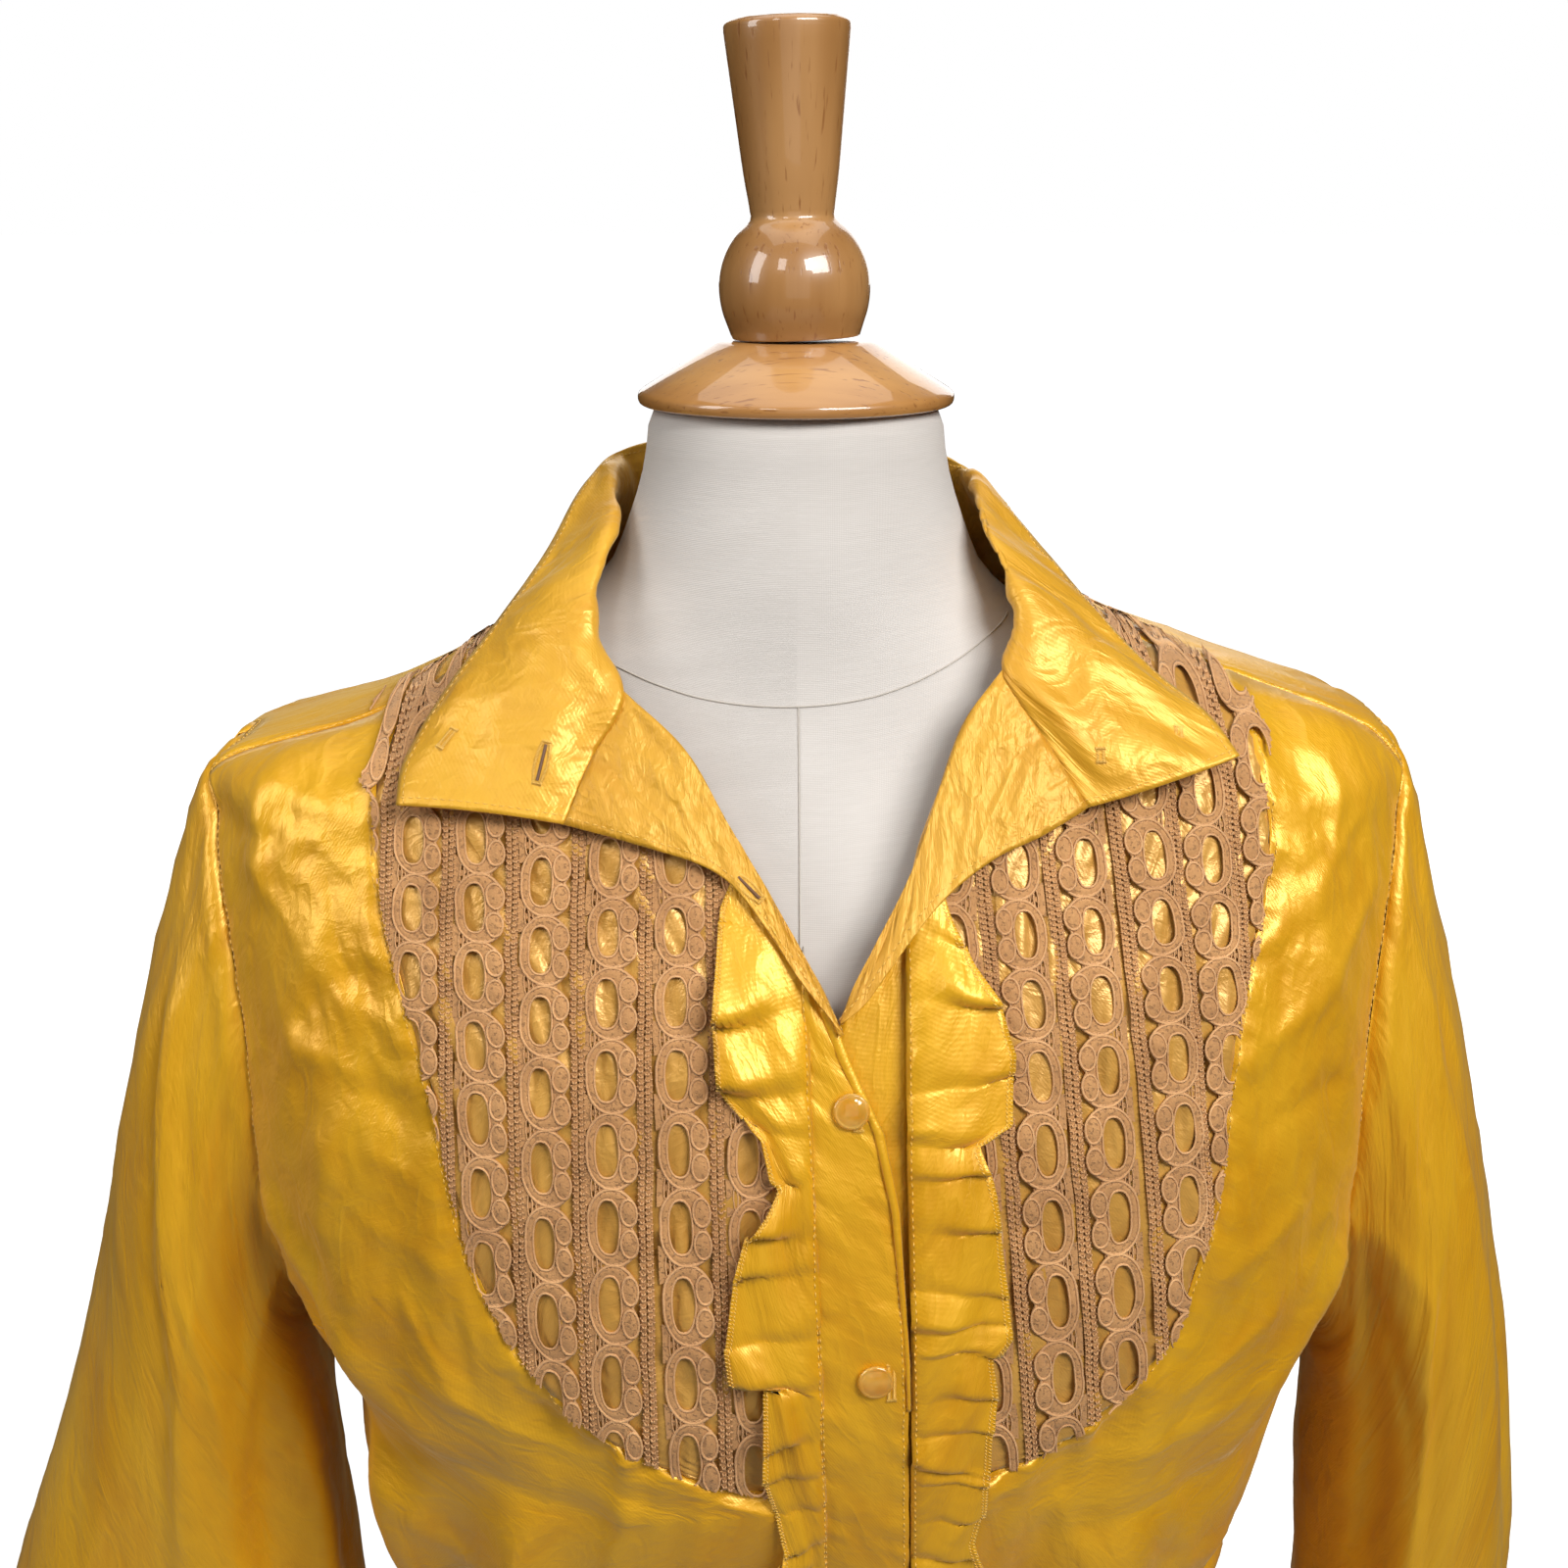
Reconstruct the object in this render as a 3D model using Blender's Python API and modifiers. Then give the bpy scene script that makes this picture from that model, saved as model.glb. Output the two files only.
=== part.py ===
"""Ruffled satin blouse with lace bibs, on a limbless linen dress form with a turned wooden cap and foot.

Metres, +Z up, and the front faces -Y. Right and left are the wearer's, so right is -X.
Heights on the garment are drops: distances below the top of the form's neck.
Places on the garment are an angle round the body (0 centre front, 90 wearer's left, 180 back) and a drop.
"""

import math
from collections import namedtuple

import bmesh
import bpy
import numpy as np
from mathutils import Matrix, Vector

# ---- driving dimensions -------------------------------------------------------------------------
NECK_TOP_Z = 0.900
HEM_DROP = 0.655
CLOTH = 0.0012
DOUBLE_CLOTH = 0.0018
LACE = 0.0010
CUFF_WALL = 0.0022
SEAM_HALF_GAP = 0.0004
TOUCH_GAP = 0.0003
RIGHT, LEFT = -1, 1

BODY_ROUNDNESS = 2.25
YOKE_SEAM_ANGLE = 75.0
BACK_YOKE_DROP = 0.165
SIDE_ANGLE = 90.0

LACE_OUT = 0.0019
PLACKET_OUT = 0.0020
PLACKET_UNDER_OUT = -0.0020
RUFFLE_OUT = 0.0034

Ring = namedtuple("Ring", "drop right left front back")

FORM_RINGS = (
    Ring(0.000, 0.0490, 0.0490, 0.0490, 0.0490),
    Ring(0.020, 0.0515, 0.0515, 0.0505, 0.0515),
    Ring(0.040, 0.0580, 0.0580, 0.0540, 0.0570),
    Ring(0.055, 0.0650, 0.0650, 0.0560, 0.0610),
    Ring(0.064, 0.0740, 0.0740, 0.0570, 0.0640),
    Ring(0.072, 0.0850, 0.0850, 0.0580, 0.0670),
    Ring(0.082, 0.1030, 0.1030, 0.0600, 0.0720),
    Ring(0.095, 0.1250, 0.1250, 0.0640, 0.0790),
    Ring(0.112, 0.1540, 0.1540, 0.0720, 0.0870),
    Ring(0.130, 0.1720, 0.1720, 0.0820, 0.0930),
    Ring(0.155, 0.1790, 0.1790, 0.0950, 0.0980),
    Ring(0.190, 0.1790, 0.1790, 0.1080, 0.1010),
    Ring(0.230, 0.1750, 0.1750, 0.1190, 0.1020),
    Ring(0.280, 0.1680, 0.1680, 0.1270, 0.1000),
    Ring(0.320, 0.1600, 0.1600, 0.1240, 0.0960),
    Ring(0.370, 0.1430, 0.1430, 0.1080, 0.0890),
    Ring(0.430, 0.1200, 0.1200, 0.0930, 0.0820),
    Ring(0.480, 0.1130, 0.1130, 0.0880, 0.0800),
    Ring(0.540, 0.1250, 0.1250, 0.0950, 0.0900),
    Ring(0.600, 0.1460, 0.1460, 0.1040, 0.1030),
    Ring(0.660, 0.1610, 0.1610, 0.1100, 0.1110),
    Ring(0.705, 0.1640, 0.1640, 0.1120, 0.1130),
    Ring(0.718, 0.1600, 0.1600, 0.1080, 0.1090),
)

BODY_RINGS = (
    Ring(0.050, 0.0730, 0.0745, 0.0600, 0.0700),
    Ring(0.058, 0.0800, 0.0830, 0.0640, 0.0735),
    Ring(0.066, 0.0900, 0.0970, 0.0670, 0.0765),
    Ring(0.075, 0.1010, 0.1160, 0.0700, 0.0800),
    Ring(0.083, 0.1130, 0.1400, 0.0735, 0.0835),
    Ring(0.093, 0.1300, 0.1690, 0.0775, 0.0875),
    Ring(0.103, 0.1540, 0.1970, 0.0820, 0.0915),
    Ring(0.114, 0.1960, 0.2110, 0.0880, 0.0955),
    Ring(0.135, 0.2070, 0.2150, 0.0985, 0.1005),
    Ring(0.165, 0.2080, 0.2150, 0.1140, 0.1050),
    Ring(0.200, 0.2060, 0.2130, 0.1260, 0.1080),
    Ring(0.250, 0.2030, 0.2110, 0.1350, 0.1090),
    Ring(0.295, 0.1930, 0.2040, 0.1385, 0.1080),
    Ring(0.325, 0.1800, 0.1940, 0.1370, 0.1060),
    Ring(0.345, 0.1670, 0.1860, 0.1345, 0.1045),
    Ring(0.380, 0.1660, 0.1800, 0.1290, 0.1030),
    Ring(0.405, 0.1610, 0.1720, 0.1250, 0.1020),
    Ring(0.430, 0.1460, 0.1660, 0.1210, 0.1000),
    Ring(0.455, 0.1360, 0.1680, 0.1180, 0.0990),
    Ring(0.480, 0.1320, 0.1660, 0.1170, 0.0990),
    Ring(0.530, 0.1430, 0.1640, 0.1220, 0.1060),
    Ring(0.590, 0.1640, 0.1760, 0.1290, 0.1180),
    Ring(0.660, 0.1820, 0.1890, 0.1340, 0.1280),
)

# Soft folds in the body cloth, each a ridge (or, below zero, a trough) from one place to another.
Fold = namedtuple("Fold", "angle drop end_angle end_drop width height")
BODY_FOLDS = (
    Fold(-64, 0.262, -38, 0.345, 0.011, 0.0040),
    Fold(-70, 0.300, -55, 0.400, 0.010, 0.0035),
    Fold(-32, 0.350, -36, 0.600, 0.014, 0.0060),
    Fold(-58, 0.370, -52, 0.640, 0.013, 0.0055),
    Fold(-96, 0.400, -62, 0.416, 0.010, 0.0050),
    Fold(-92, 0.450, -66, 0.458, 0.009, 0.0040),
    Fold(-78, 0.480, -80, 0.650, 0.015, 0.0065),
    Fold(66, 0.276, 48, 0.352, 0.011, 0.0040),
    Fold(72, 0.318, 60, 0.405, 0.010, 0.0035),
    Fold(34, 0.352, 38, 0.620, 0.015, 0.0060),
    Fold(56, 0.372, 58, 0.640, 0.013, 0.0050),
    Fold(98, 0.378, 64, 0.392, 0.011, 0.0045),
    Fold(90, 0.446, 68, 0.440, 0.009, 0.0040),
    Fold(80, 0.490, 82, 0.650, 0.015, 0.0060),
    Fold(-150, 0.200, -146, 0.380, 0.013, 0.0040),
    Fold(-128, 0.300, -134, 0.640, 0.015, 0.0065),
    Fold(-155, 0.410, -158, 0.650, 0.016, 0.0060),
    Fold(176, 0.390, 178, 0.650, 0.017, 0.0065),
    Fold(152, 0.210, 149, 0.390, 0.013, 0.0040),
    Fold(130, 0.310, 133, 0.640, 0.015, 0.0060),
    Fold(157, 0.420, 154, 0.650, 0.015, 0.0055),
)
FOLD_ARM = 0.165

Armhole = namedtuple("Armhole", "top bottom front_angle back_angle")
ARMHOLES = {
    RIGHT: Armhole(0.1135, 0.323, 26.0, 23.0),
    LEFT: Armhole(0.1085, 0.337, 25.0, 23.0),
}
ARMHOLE_FULLNESS = 0.65

Place = namedtuple("Place", "x drop")
# The seam round the outside of each lace bib, below its corner on the shoulder seam, down and in to
# the placket.
BIB_CORNER_DROP = {RIGHT: 0.0965, LEFT: 0.0860}
BIB_OUTLINES = {
    RIGHT: (
        Place(-0.1345, 0.1230), Place(-0.1156, 0.1960), Place(-0.0956, 0.2700),
        Place(-0.0686, 0.3060), Place(-0.0320, 0.3250), Place(0.0080, 0.3330),
    ),
    LEFT: (
        Place(0.1520, 0.1300), Place(0.1385, 0.1890), Place(0.1320, 0.2480),
        Place(0.1190, 0.2870), Place(0.0930, 0.3120), Place(0.0390, 0.3330),
    ),
}
# The inner edge of each bib below the shoulder seam: the neckline, the turned edge of the V, the placket.
NECK_CORNER_DROP = 0.0605
BIB_INNER = {
    RIGHT: (
        Place(-0.0735, 0.0680), Place(-0.0535, 0.0830), Place(-0.0360, 0.0970),
        Place(-0.0210, 0.1190), Place(-0.0085, 0.1380), Place(0.0006, 0.1560), Place(0.0025, 0.2000),
        Place(0.0062, 0.2800), Place(0.0080, 0.3310),
    ),
    LEFT: (
        Place(0.0780, 0.0660), Place(0.0640, 0.0775), Place(0.0540, 0.0880),
        Place(0.0436, 0.1100), Place(0.0355, 0.1320), Place(0.0348, 0.1480), Place(0.0348, 0.2000),
        Place(0.0372, 0.2800), Place(0.0390, 0.3310),
    ),
}
# The lines on which the placket and the ruffles are stitched, by drop.
STITCH_LINES = {
    RIGHT: (Place(0.0006, 0.140), Place(0.0025, 0.200), Place(0.0062, 0.280), Place(0.0085, 0.363),
            Place(0.0100, 0.480), Place(0.0105, 0.660)),
    LEFT: (Place(0.0348, 0.140), Place(0.0348, 0.200), Place(0.0372, 0.280), Place(0.0392, 0.363),
           Place(0.0405, 0.480), Place(0.0410, 0.660)),
}
PLACKET_EDGE = (Place(0.0098, 0.1690), Place(0.0150, 0.1830), Place(0.0256, 0.2050), Place(0.0305, 0.2290),
                Place(0.0342, 0.2790), Place(0.0368, 0.3630), Place(0.0380, 0.4800), Place(0.0385, 0.6600))
PLACKET_UNDER_EDGE = (Place(0.0300, 0.1420), Place(0.0135, 0.1710), Place(0.0110, 0.1900),
                      Place(0.0110, 0.2400), Place(0.0140, 0.3630), Place(0.0150, 0.6600))

# Each front is turned back over itself beside the V: its fold and its free edge, from the collar down.
LapelRow = namedtuple("LapelRow", "fold_x fold_drop edge_x edge_drop")
LAPELS = {
    RIGHT: (
        LapelRow(-0.0535, 0.0830, -0.0710, 0.1205), LapelRow(-0.0360, 0.0970, -0.0500, 0.1250),
        LapelRow(-0.0210, 0.1190, -0.0225, 0.1340), LapelRow(-0.0085, 0.1380, -0.0085, 0.1490),
        LapelRow(0.0035, 0.1570, 0.0020, 0.1630), LapelRow(0.0090, 0.1660, 0.0084, 0.1700),
    ),
    LEFT: (
        LapelRow(0.0640, 0.0775, 0.0890, 0.1165), LapelRow(0.0540, 0.0880, 0.0760, 0.1230),
        LapelRow(0.0436, 0.1100, 0.0600, 0.1295), LapelRow(0.0350, 0.1320, 0.0450, 0.1400),
        LapelRow(0.0230, 0.1530, 0.0285, 0.1580), LapelRow(0.0160, 0.1650, 0.0190, 0.1690),
    ),
}
LAPEL_FOLD_OUT = 0.0036
LAPEL_EDGE_OUT = 0.0062

# Sections of the collar from the front end to the back: each starts on its seam, is drawn towards the
# first point here, and ends at the free edge. The first three start on the top of the lapel, at these
# shares of its width, and the rest on the neckline.
CollarRow = namedtuple("CollarRow", "x y drop edge_x edge_y edge_drop")
LAPEL_SEAM = (1.0, 0.5, 0.0)
NeckPlace = namedtuple("NeckPlace", "angle drop out")
NECK_SEAM = (NeckPlace(49, 0.0650, 0.0010), NeckPlace(78, 0.0575, 0.0), NeckPlace(112, 0.0580, 0.0),
             NeckPlace(148, 0.0630, 0.0), NeckPlace(180, 0.0660, 0.0))
COLLAR_ROWS = {
    RIGHT: (
        CollarRow(0.0990, -0.0930, 0.1150, 0.1280, -0.0850, 0.1200),
        CollarRow(0.0900, -0.0820, 0.0930, 0.1235, -0.0720, 0.1030),
        CollarRow(0.0780, -0.0680, 0.0660, 0.1120, -0.0560, 0.0840),
        CollarRow(0.0520, -0.0560, 0.0400, 0.0960, -0.0400, 0.0640),
        CollarRow(0.0390, -0.0340, 0.0200, 0.0835, -0.0200, 0.0470),
        CollarRow(0.0500, 0.0140, 0.0100, 0.0715, 0.0090, 0.0270),
        CollarRow(0.0500, 0.0480, 0.0330, 0.0555, 0.0400, 0.0185),
        CollarRow(0.0000, 0.0710, 0.0400, 0.0000, 0.0690, 0.0150),
    ),
    LEFT: (
        CollarRow(0.1150, -0.0900, 0.1060, 0.1380, -0.0790, 0.1000),
        CollarRow(0.1030, -0.0790, 0.0840, 0.1300, -0.0660, 0.0900),
        CollarRow(0.0860, -0.0660, 0.0580, 0.1145, -0.0520, 0.0790),
        CollarRow(0.0550, -0.0560, 0.0360, 0.0975, -0.0380, 0.0625),
        CollarRow(0.0400, -0.0340, 0.0190, 0.0825, -0.0200, 0.0460),
        CollarRow(0.0500, 0.0140, 0.0120, 0.0675, 0.0090, 0.0310),
        CollarRow(0.0480, 0.0480, 0.0350, 0.0500, 0.0420, 0.0215),
        CollarRow(0.0000, 0.0710, 0.0400, 0.0000, 0.0690, 0.0150),
    ),
}

# Sections of each sleeve from the armhole down: its outer and inner points, its depth to the front
# and to the back, and how far its middle sits to the front.
SleeveRow = namedtuple("SleeveRow", "outer_x outer_drop inner_x inner_drop front back forward")
SLEEVE_ROWS = {
    RIGHT: (
        SleeveRow(0.2050, 0.1165, 0.1870, 0.3250, 0.058, 0.058, 0.000),
        SleeveRow(0.2185, 0.1370, 0.1880, 0.3290, 0.063, 0.061, 0.000),
        SleeveRow(0.2385, 0.2130, 0.1890, 0.3400, 0.063, 0.061, 0.000),
        SleeveRow(0.2550, 0.2750, 0.1880, 0.3540, 0.060, 0.058, 0.002),
        SleeveRow(0.2685, 0.3300, 0.1865, 0.3780, 0.056, 0.054, 0.004),
        SleeveRow(0.2930, 0.4030, 0.1835, 0.4220, 0.051, 0.050, 0.006),
        SleeveRow(0.3150, 0.4610, 0.1805, 0.4680, 0.048, 0.047, 0.008),
        SleeveRow(0.3210, 0.4940, 0.1815, 0.4960, 0.047, 0.046, 0.008),
        SleeveRow(0.3140, 0.5170, 0.1960, 0.5170, 0.044, 0.042, 0.008),
        SleeveRow(0.2960, 0.5290, 0.2140, 0.5290, 0.0375, 0.0375, 0.008),
    ),
    LEFT: (
        SleeveRow(0.2110, 0.1100, 0.1970, 0.3390, 0.058, 0.058, 0.000),
        SleeveRow(0.2220, 0.1340, 0.1980, 0.3430, 0.065, 0.063, 0.000),
        SleeveRow(0.2375, 0.2020, 0.1995, 0.3500, 0.067, 0.065, 0.000),
        SleeveRow(0.2550, 0.2650, 0.2020, 0.3600, 0.064, 0.062, 0.002),
        SleeveRow(0.2695, 0.3300, 0.2060, 0.3820, 0.061, 0.059, 0.004),
        SleeveRow(0.2815, 0.4110, 0.2075, 0.4240, 0.058, 0.056, 0.006),
        SleeveRow(0.2850, 0.4610, 0.2090, 0.4680, 0.056, 0.054, 0.008),
        SleeveRow(0.2860, 0.4940, 0.2100, 0.4960, 0.054, 0.052, 0.008),
        SleeveRow(0.2825, 0.5170, 0.2120, 0.5170, 0.049, 0.047, 0.008),
        SleeveRow(0.2780, 0.5290, 0.2140, 0.5290, 0.0430, 0.0430, 0.008),
    ),
}
SLEEVE_START_GAP = 0.0015
SLEEVE_BLEND = 0.30
SLEEVE_GATHERS = 8
SLEEVE_GATHER_DEPTH = 0.0034
# Pressed and hanging folds down a sleeve: turn is the way round from its outer side to the front.
SleeveFold = namedtuple("SleeveFold", "turn along end_turn end_along width height")
SLEEVE_FOLDS = {
    RIGHT: (
        SleeveFold(0.160, 0.30, 0.262, 0.86, 0.022, 0.0060),
        SleeveFold(0.330, 0.10, 0.390, 0.80, 0.030, -0.0045),
        SleeveFold(0.420, 0.30, 0.430, 0.80, 0.022, 0.0045),
        SleeveFold(0.640, 0.15, 0.700, 0.86, 0.026, 0.0055),
        SleeveFold(0.800, 0.25, 0.830, 0.80, 0.026, -0.0040),
    ),
    LEFT: (
        SleeveFold(0.215, 0.28, 0.240, 0.86, 0.022, 0.0060),
        SleeveFold(0.340, 0.12, 0.390, 0.80, 0.030, -0.0045),
        SleeveFold(0.110, 0.35, 0.100, 0.82, 0.022, -0.0035),
        SleeveFold(0.660, 0.18, 0.690, 0.86, 0.026, 0.0055),
        SleeveFold(0.830, 0.25, 0.860, 0.80, 0.026, -0.0040),
    ),
}
CUFF_HEIGHT = 0.040
CUFF_OVERLAP_GAP = 0.0012

RUFFLE_TOP = {RIGHT: 0.1560, LEFT: 0.1500}
RUFFLE_TOP_SLANT = {RIGHT: -0.0150, LEFT: -0.0080}
RUFFLE_BOTTOM = 0.650
RUFFLE_WAVES = 23
RUFFLE_WIDTH = 0.0245
RUFFLE_WIDTH_CHANGE = 0.0045
RUFFLE_LIFT = 0.0052
RUFFLE_WAVE_HEIGHT = 0.0046
RUFFLE_SWAY = 0.0034

# Lace bands run down each bib. A band leans by so much for each metre of drop, and its medallions start
# so many rows higher than those of the first band.
Band = namedtuple("Band", "x lean rows_up")
BANDS = {
    RIGHT: (Band(-0.0155, 0.02, 0.0), Band(-0.0367, 0.02, 0.1), Band(-0.0574, 0.00, 0.0),
            Band(-0.0785, 0.01, -0.1), Band(-0.1020, 0.03, 0.4)),
    LEFT: (Band(0.0470, 0.09, 0.0), Band(0.0684, 0.10, 0.0), Band(0.0898, 0.10, 0.0),
           Band(0.1137, 0.10, 0.2), Band(0.1350, 0.08, 0.0)),
}
BAND_DROP = 0.1480
MEDALLION_ROWS = (-1, 8)
MEDALLION_PITCH = 0.0178
MEDALLION_PITCH_GROWTH = 0.0006
MEDALLION_HOLE = (0.0042, 0.0058)
MEDALLION_MARGIN = 0.0088

BUTTON_RADIUS = 0.0057
BUTTON_THICKNESS = 0.0030
BUTTON_DROPS = (0.198, 0.2865, 0.375, 0.4635, 0.552)
BUTTON_OUT = PLACKET_OUT + DOUBLE_CLOTH / 2 + TOUCH_GAP

CAP_RADIUS = 0.053
BASE_RADIUS = 0.150
BASE_THICKNESS = 0.024
TURNED_STEPS = 28
Point = namedtuple("Point", "radius z")
CAP_PROFILE = (
    Point(0.0000, 0.0205), Point(0.0255, 0.0205), Point(0.0270, 0.0198), Point(0.0515, 0.0050),
    Point(0.0530, 0.0036), Point(0.0530, 0.0012), Point(0.0520, 0.0000), Point(0.0000, 0.0000),
)
FINIAL_PROFILE = (
    Point(0.0000, 0.0980), Point(0.0185, 0.0980), Point(0.0203, 0.0966), Point(0.0205, 0.0945),
    Point(0.0178, 0.0700), Point(0.0155, 0.0500), Point(0.0140, 0.0400), Point(0.0138, 0.0380),
    Point(0.0152, 0.0364), Point(0.0185, 0.0335), Point(0.0225, 0.0275), Point(0.0248, 0.0200),
    Point(0.0250, 0.0160), Point(0.0242, 0.0090), Point(0.0224, 0.0035), Point(0.0212, 0.0000),
    Point(0.0000, 0.0000),
)
FINIAL_LEAN = math.radians(-1.8)
FINIAL_GAP = 0.0010
COLUMN_PROFILE_SHARES = (
    (0.0340, 1.00), (0.0340, 0.96), (0.0250, 0.90), (0.0195, 0.78), (0.0180, 0.50), (0.0195, 0.24),
    (0.0265, 0.15), (0.0300, 0.10), (0.0265, 0.05), (0.0360, 0.00),
)
BASE_PROFILE = (
    Point(0.0000, 0.0240), Point(0.0400, 0.0240), Point(0.0600, 0.0225), Point(0.1250, 0.0175),
    Point(0.1400, 0.0150), Point(0.1490, 0.0105), Point(0.1500, 0.0060), Point(0.1485, 0.0015),
    Point(0.1460, 0.0000), Point(0.0000, 0.0000),
)

Finish = namedtuple("Finish", "colour roughness metallic")
SATIN = Finish((0.73, 0.42, 0.045, 1.0), 0.32, 0.15)
LACE_THREAD = Finish((0.36, 0.19, 0.085, 1.0), 0.85, 0.0)
LINEN = Finish((0.76, 0.72, 0.67, 1.0), 0.90, 0.0)
WOOD = Finish((0.50, 0.24, 0.075, 1.0), 0.22, 0.0)
AMBER = Finish((0.75, 0.40, 0.03, 1.0), 0.12, 0.0)


# ---- curves and surfaces ------------------------------------------------------------------------
def smooth_at(keys, values, at):
    """The value at a key, on a smooth curve through the values at the keys."""
    keys = np.asarray(keys, float)
    values = np.asarray(values, float)
    slopes = np.gradient(values, keys, axis=0)
    at = np.clip(at, keys[0], keys[-1])
    i = np.clip(np.searchsorted(keys, at) - 1, 0, len(keys) - 2)
    span = keys[i + 1] - keys[i]
    t = (at - keys[i]) / span
    ends = (2 * t**3 - 3 * t**2 + 1) * values[i] + (3 * t**2 - 2 * t**3) * values[i + 1]
    turns = (t**3 - 2 * t**2 + t) * slopes[i] + (t**3 - t**2) * slopes[i + 1]
    return ends + span * turns


def along(points, share):
    """The place at this share of the length of a smooth line through the points."""
    points = np.asarray(points, float)
    steps = np.linalg.norm(np.diff(points, axis=0), axis=1)
    reach = np.concatenate([[0.0], np.cumsum(steps)])
    return smooth_at(reach / reach[-1], points, share)


def line_x(places, drop):
    """The x of a line down the garment at a drop."""
    rows = sorted(places, key=lambda place: place.drop)
    return float(np.interp(drop, [row.drop for row in rows], [row.x for row in rows]))


def ease(share):
    """A smooth step from 0 to 1."""
    share = min(max(share, 0.0), 1.0)
    return share * share * (3 - 2 * share)


def mix(a, b, share):
    return a + (b - a) * share


class RingSurface:
    """A body of rounded rings: each point has an angle round it and a drop."""

    SAMPLES = 500

    def __init__(self, rings, roundness, folds=()):
        self.power = 2.0 / roundness
        self.folds = folds
        self.drops = np.linspace(rings[0].drop, rings[-1].drop, self.SAMPLES)
        keys = [ring.drop for ring in rings]
        self.columns = [
            [smooth_at(keys, [ring[k] for ring in rings], drop) for drop in self.drops] for k in (1, 2, 3, 4)
        ]

    def sizes(self, drop):
        return [float(np.interp(drop, self.drops, column)) for column in self.columns]

    def fold_height(self, angle, drop):
        height = 0.0
        for fold in self.folds:
            turn = (angle - fold.angle + 180.0) % 360.0 - 180.0
            ahead = np.array([math.radians(turn) * FOLD_ARM, drop - fold.drop])
            run = np.array([math.radians(fold.end_angle - fold.angle) * FOLD_ARM, fold.end_drop - fold.drop])
            share = float(ahead @ run / (run @ run))
            if -0.15 < share < 1.15:
                near = ahead - run * min(max(share, 0.0), 1.0)
                fade = ease((share + 0.15) / 0.35) * ease((1.15 - share) / 0.35)
                height += fold.height * fade * math.exp(-float(near @ near) / fold.width**2)
        return height

    def plain_point(self, angle, drop):
        right, left, front, back = self.sizes(drop)
        angle = (angle + 180.0) % 360.0 - 180.0
        turn = math.radians(abs(angle))
        x = (left if angle > 0 else -right) * abs(math.sin(turn)) ** self.power
        depth = abs(math.cos(turn)) ** self.power
        y = -front * depth if abs(angle) < 90.0 else back * depth
        return Vector((x, y, NECK_TOP_Z - drop))

    def outward(self, angle, drop):
        across = self.plain_point(angle + 1.0, drop) - self.plain_point(angle - 1.0, drop)
        down = self.plain_point(angle, drop + 0.002) - self.plain_point(angle, drop - 0.002)
        return down.cross(across).normalized()

    def point(self, angle, drop, out=0.0):
        out += self.fold_height(angle, drop)
        return self.plain_point(angle, drop) + self.outward(angle, drop) * out

    def angle_at(self, x, drop):
        right, left, _, _ = self.sizes(drop)
        share = min(abs(x) / (left if x > 0 else right), 1.0)
        return math.copysign(math.degrees(math.asin(share ** (1.0 / self.power))), x)

    def front_point(self, x, drop, out=0.0):
        return self.point(self.angle_at(x, drop), drop, out)


FORM = RingSurface(FORM_RINGS, 2.15)
BODY = RingSurface(BODY_RINGS, BODY_ROUNDNESS, BODY_FOLDS)


def armhole_place(side, turn):
    """Angle and drop on the armhole seam: turn 0 at the shoulder, 0.25 in front, 0.5 under the arm."""
    hole = ARMHOLES[side]
    swing = math.sin(2 * math.pi * turn)
    reach = math.copysign(abs(swing) ** ARMHOLE_FULLNESS, swing)
    bulge = hole.front_angle if swing > 0 else hole.back_angle
    middle, half = (hole.top + hole.bottom) / 2, (hole.bottom - hole.top) / 2
    return side * (SIDE_ANGLE - bulge * reach), middle - half * math.cos(2 * math.pi * turn)


def armhole_turn(side, angle, upper=True):
    """The turn at which the armhole seam has this angle, counted from the centre front."""
    hole = ARMHOLES[side]
    ahead = SIDE_ANGLE - angle
    bulge = hole.front_angle if ahead > 0 else hole.back_angle
    quarter = math.asin(min(abs(ahead) / bulge, 1.0) ** (1.0 / ARMHOLE_FULLNESS)) / (2 * math.pi)
    turn = quarter if upper else 0.5 - quarter
    return turn if ahead > 0 else 1.0 - turn


def back_armhole_angle(side, drop):
    """The angle of the back edge at a drop: the armhole seam, and below it the side seam."""
    hole = ARMHOLES[side]
    if drop >= hole.bottom:
        return SIDE_ANGLE
    middle, half = (hole.top + hole.bottom) / 2, (hole.bottom - hole.top) / 2
    level = min(max((middle - drop) / half, -1.0), 1.0)
    return SIDE_ANGLE + hole.back_angle * math.sqrt(1 - level**2) ** ARMHOLE_FULLNESS


# ---- making cloth -------------------------------------------------------------------------------
def material(name, finish):
    made = bpy.data.materials.new(name)
    made.use_nodes = True
    shader = made.node_tree.nodes["Principled BSDF"]
    shader.inputs["Base Color"].default_value = finish.colour
    shader.inputs["Roughness"].default_value = finish.roughness
    shader.inputs["Metallic"].default_value = finish.metallic
    return made


def add_object(name, mesh, finish, collection):
    mesh.name = name
    obj = bpy.data.objects.new(name, mesh)
    obj.data.materials.append(material(name, finish))
    collection.objects.link(obj)
    return obj


def grid_points(columns, rows, place):
    """Points of a panel, rows by columns, where place gives one from its shares across and down."""
    return [[place(c / columns, r / rows) for c in range(columns + 1)] for r in range(rows + 1)]


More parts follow.
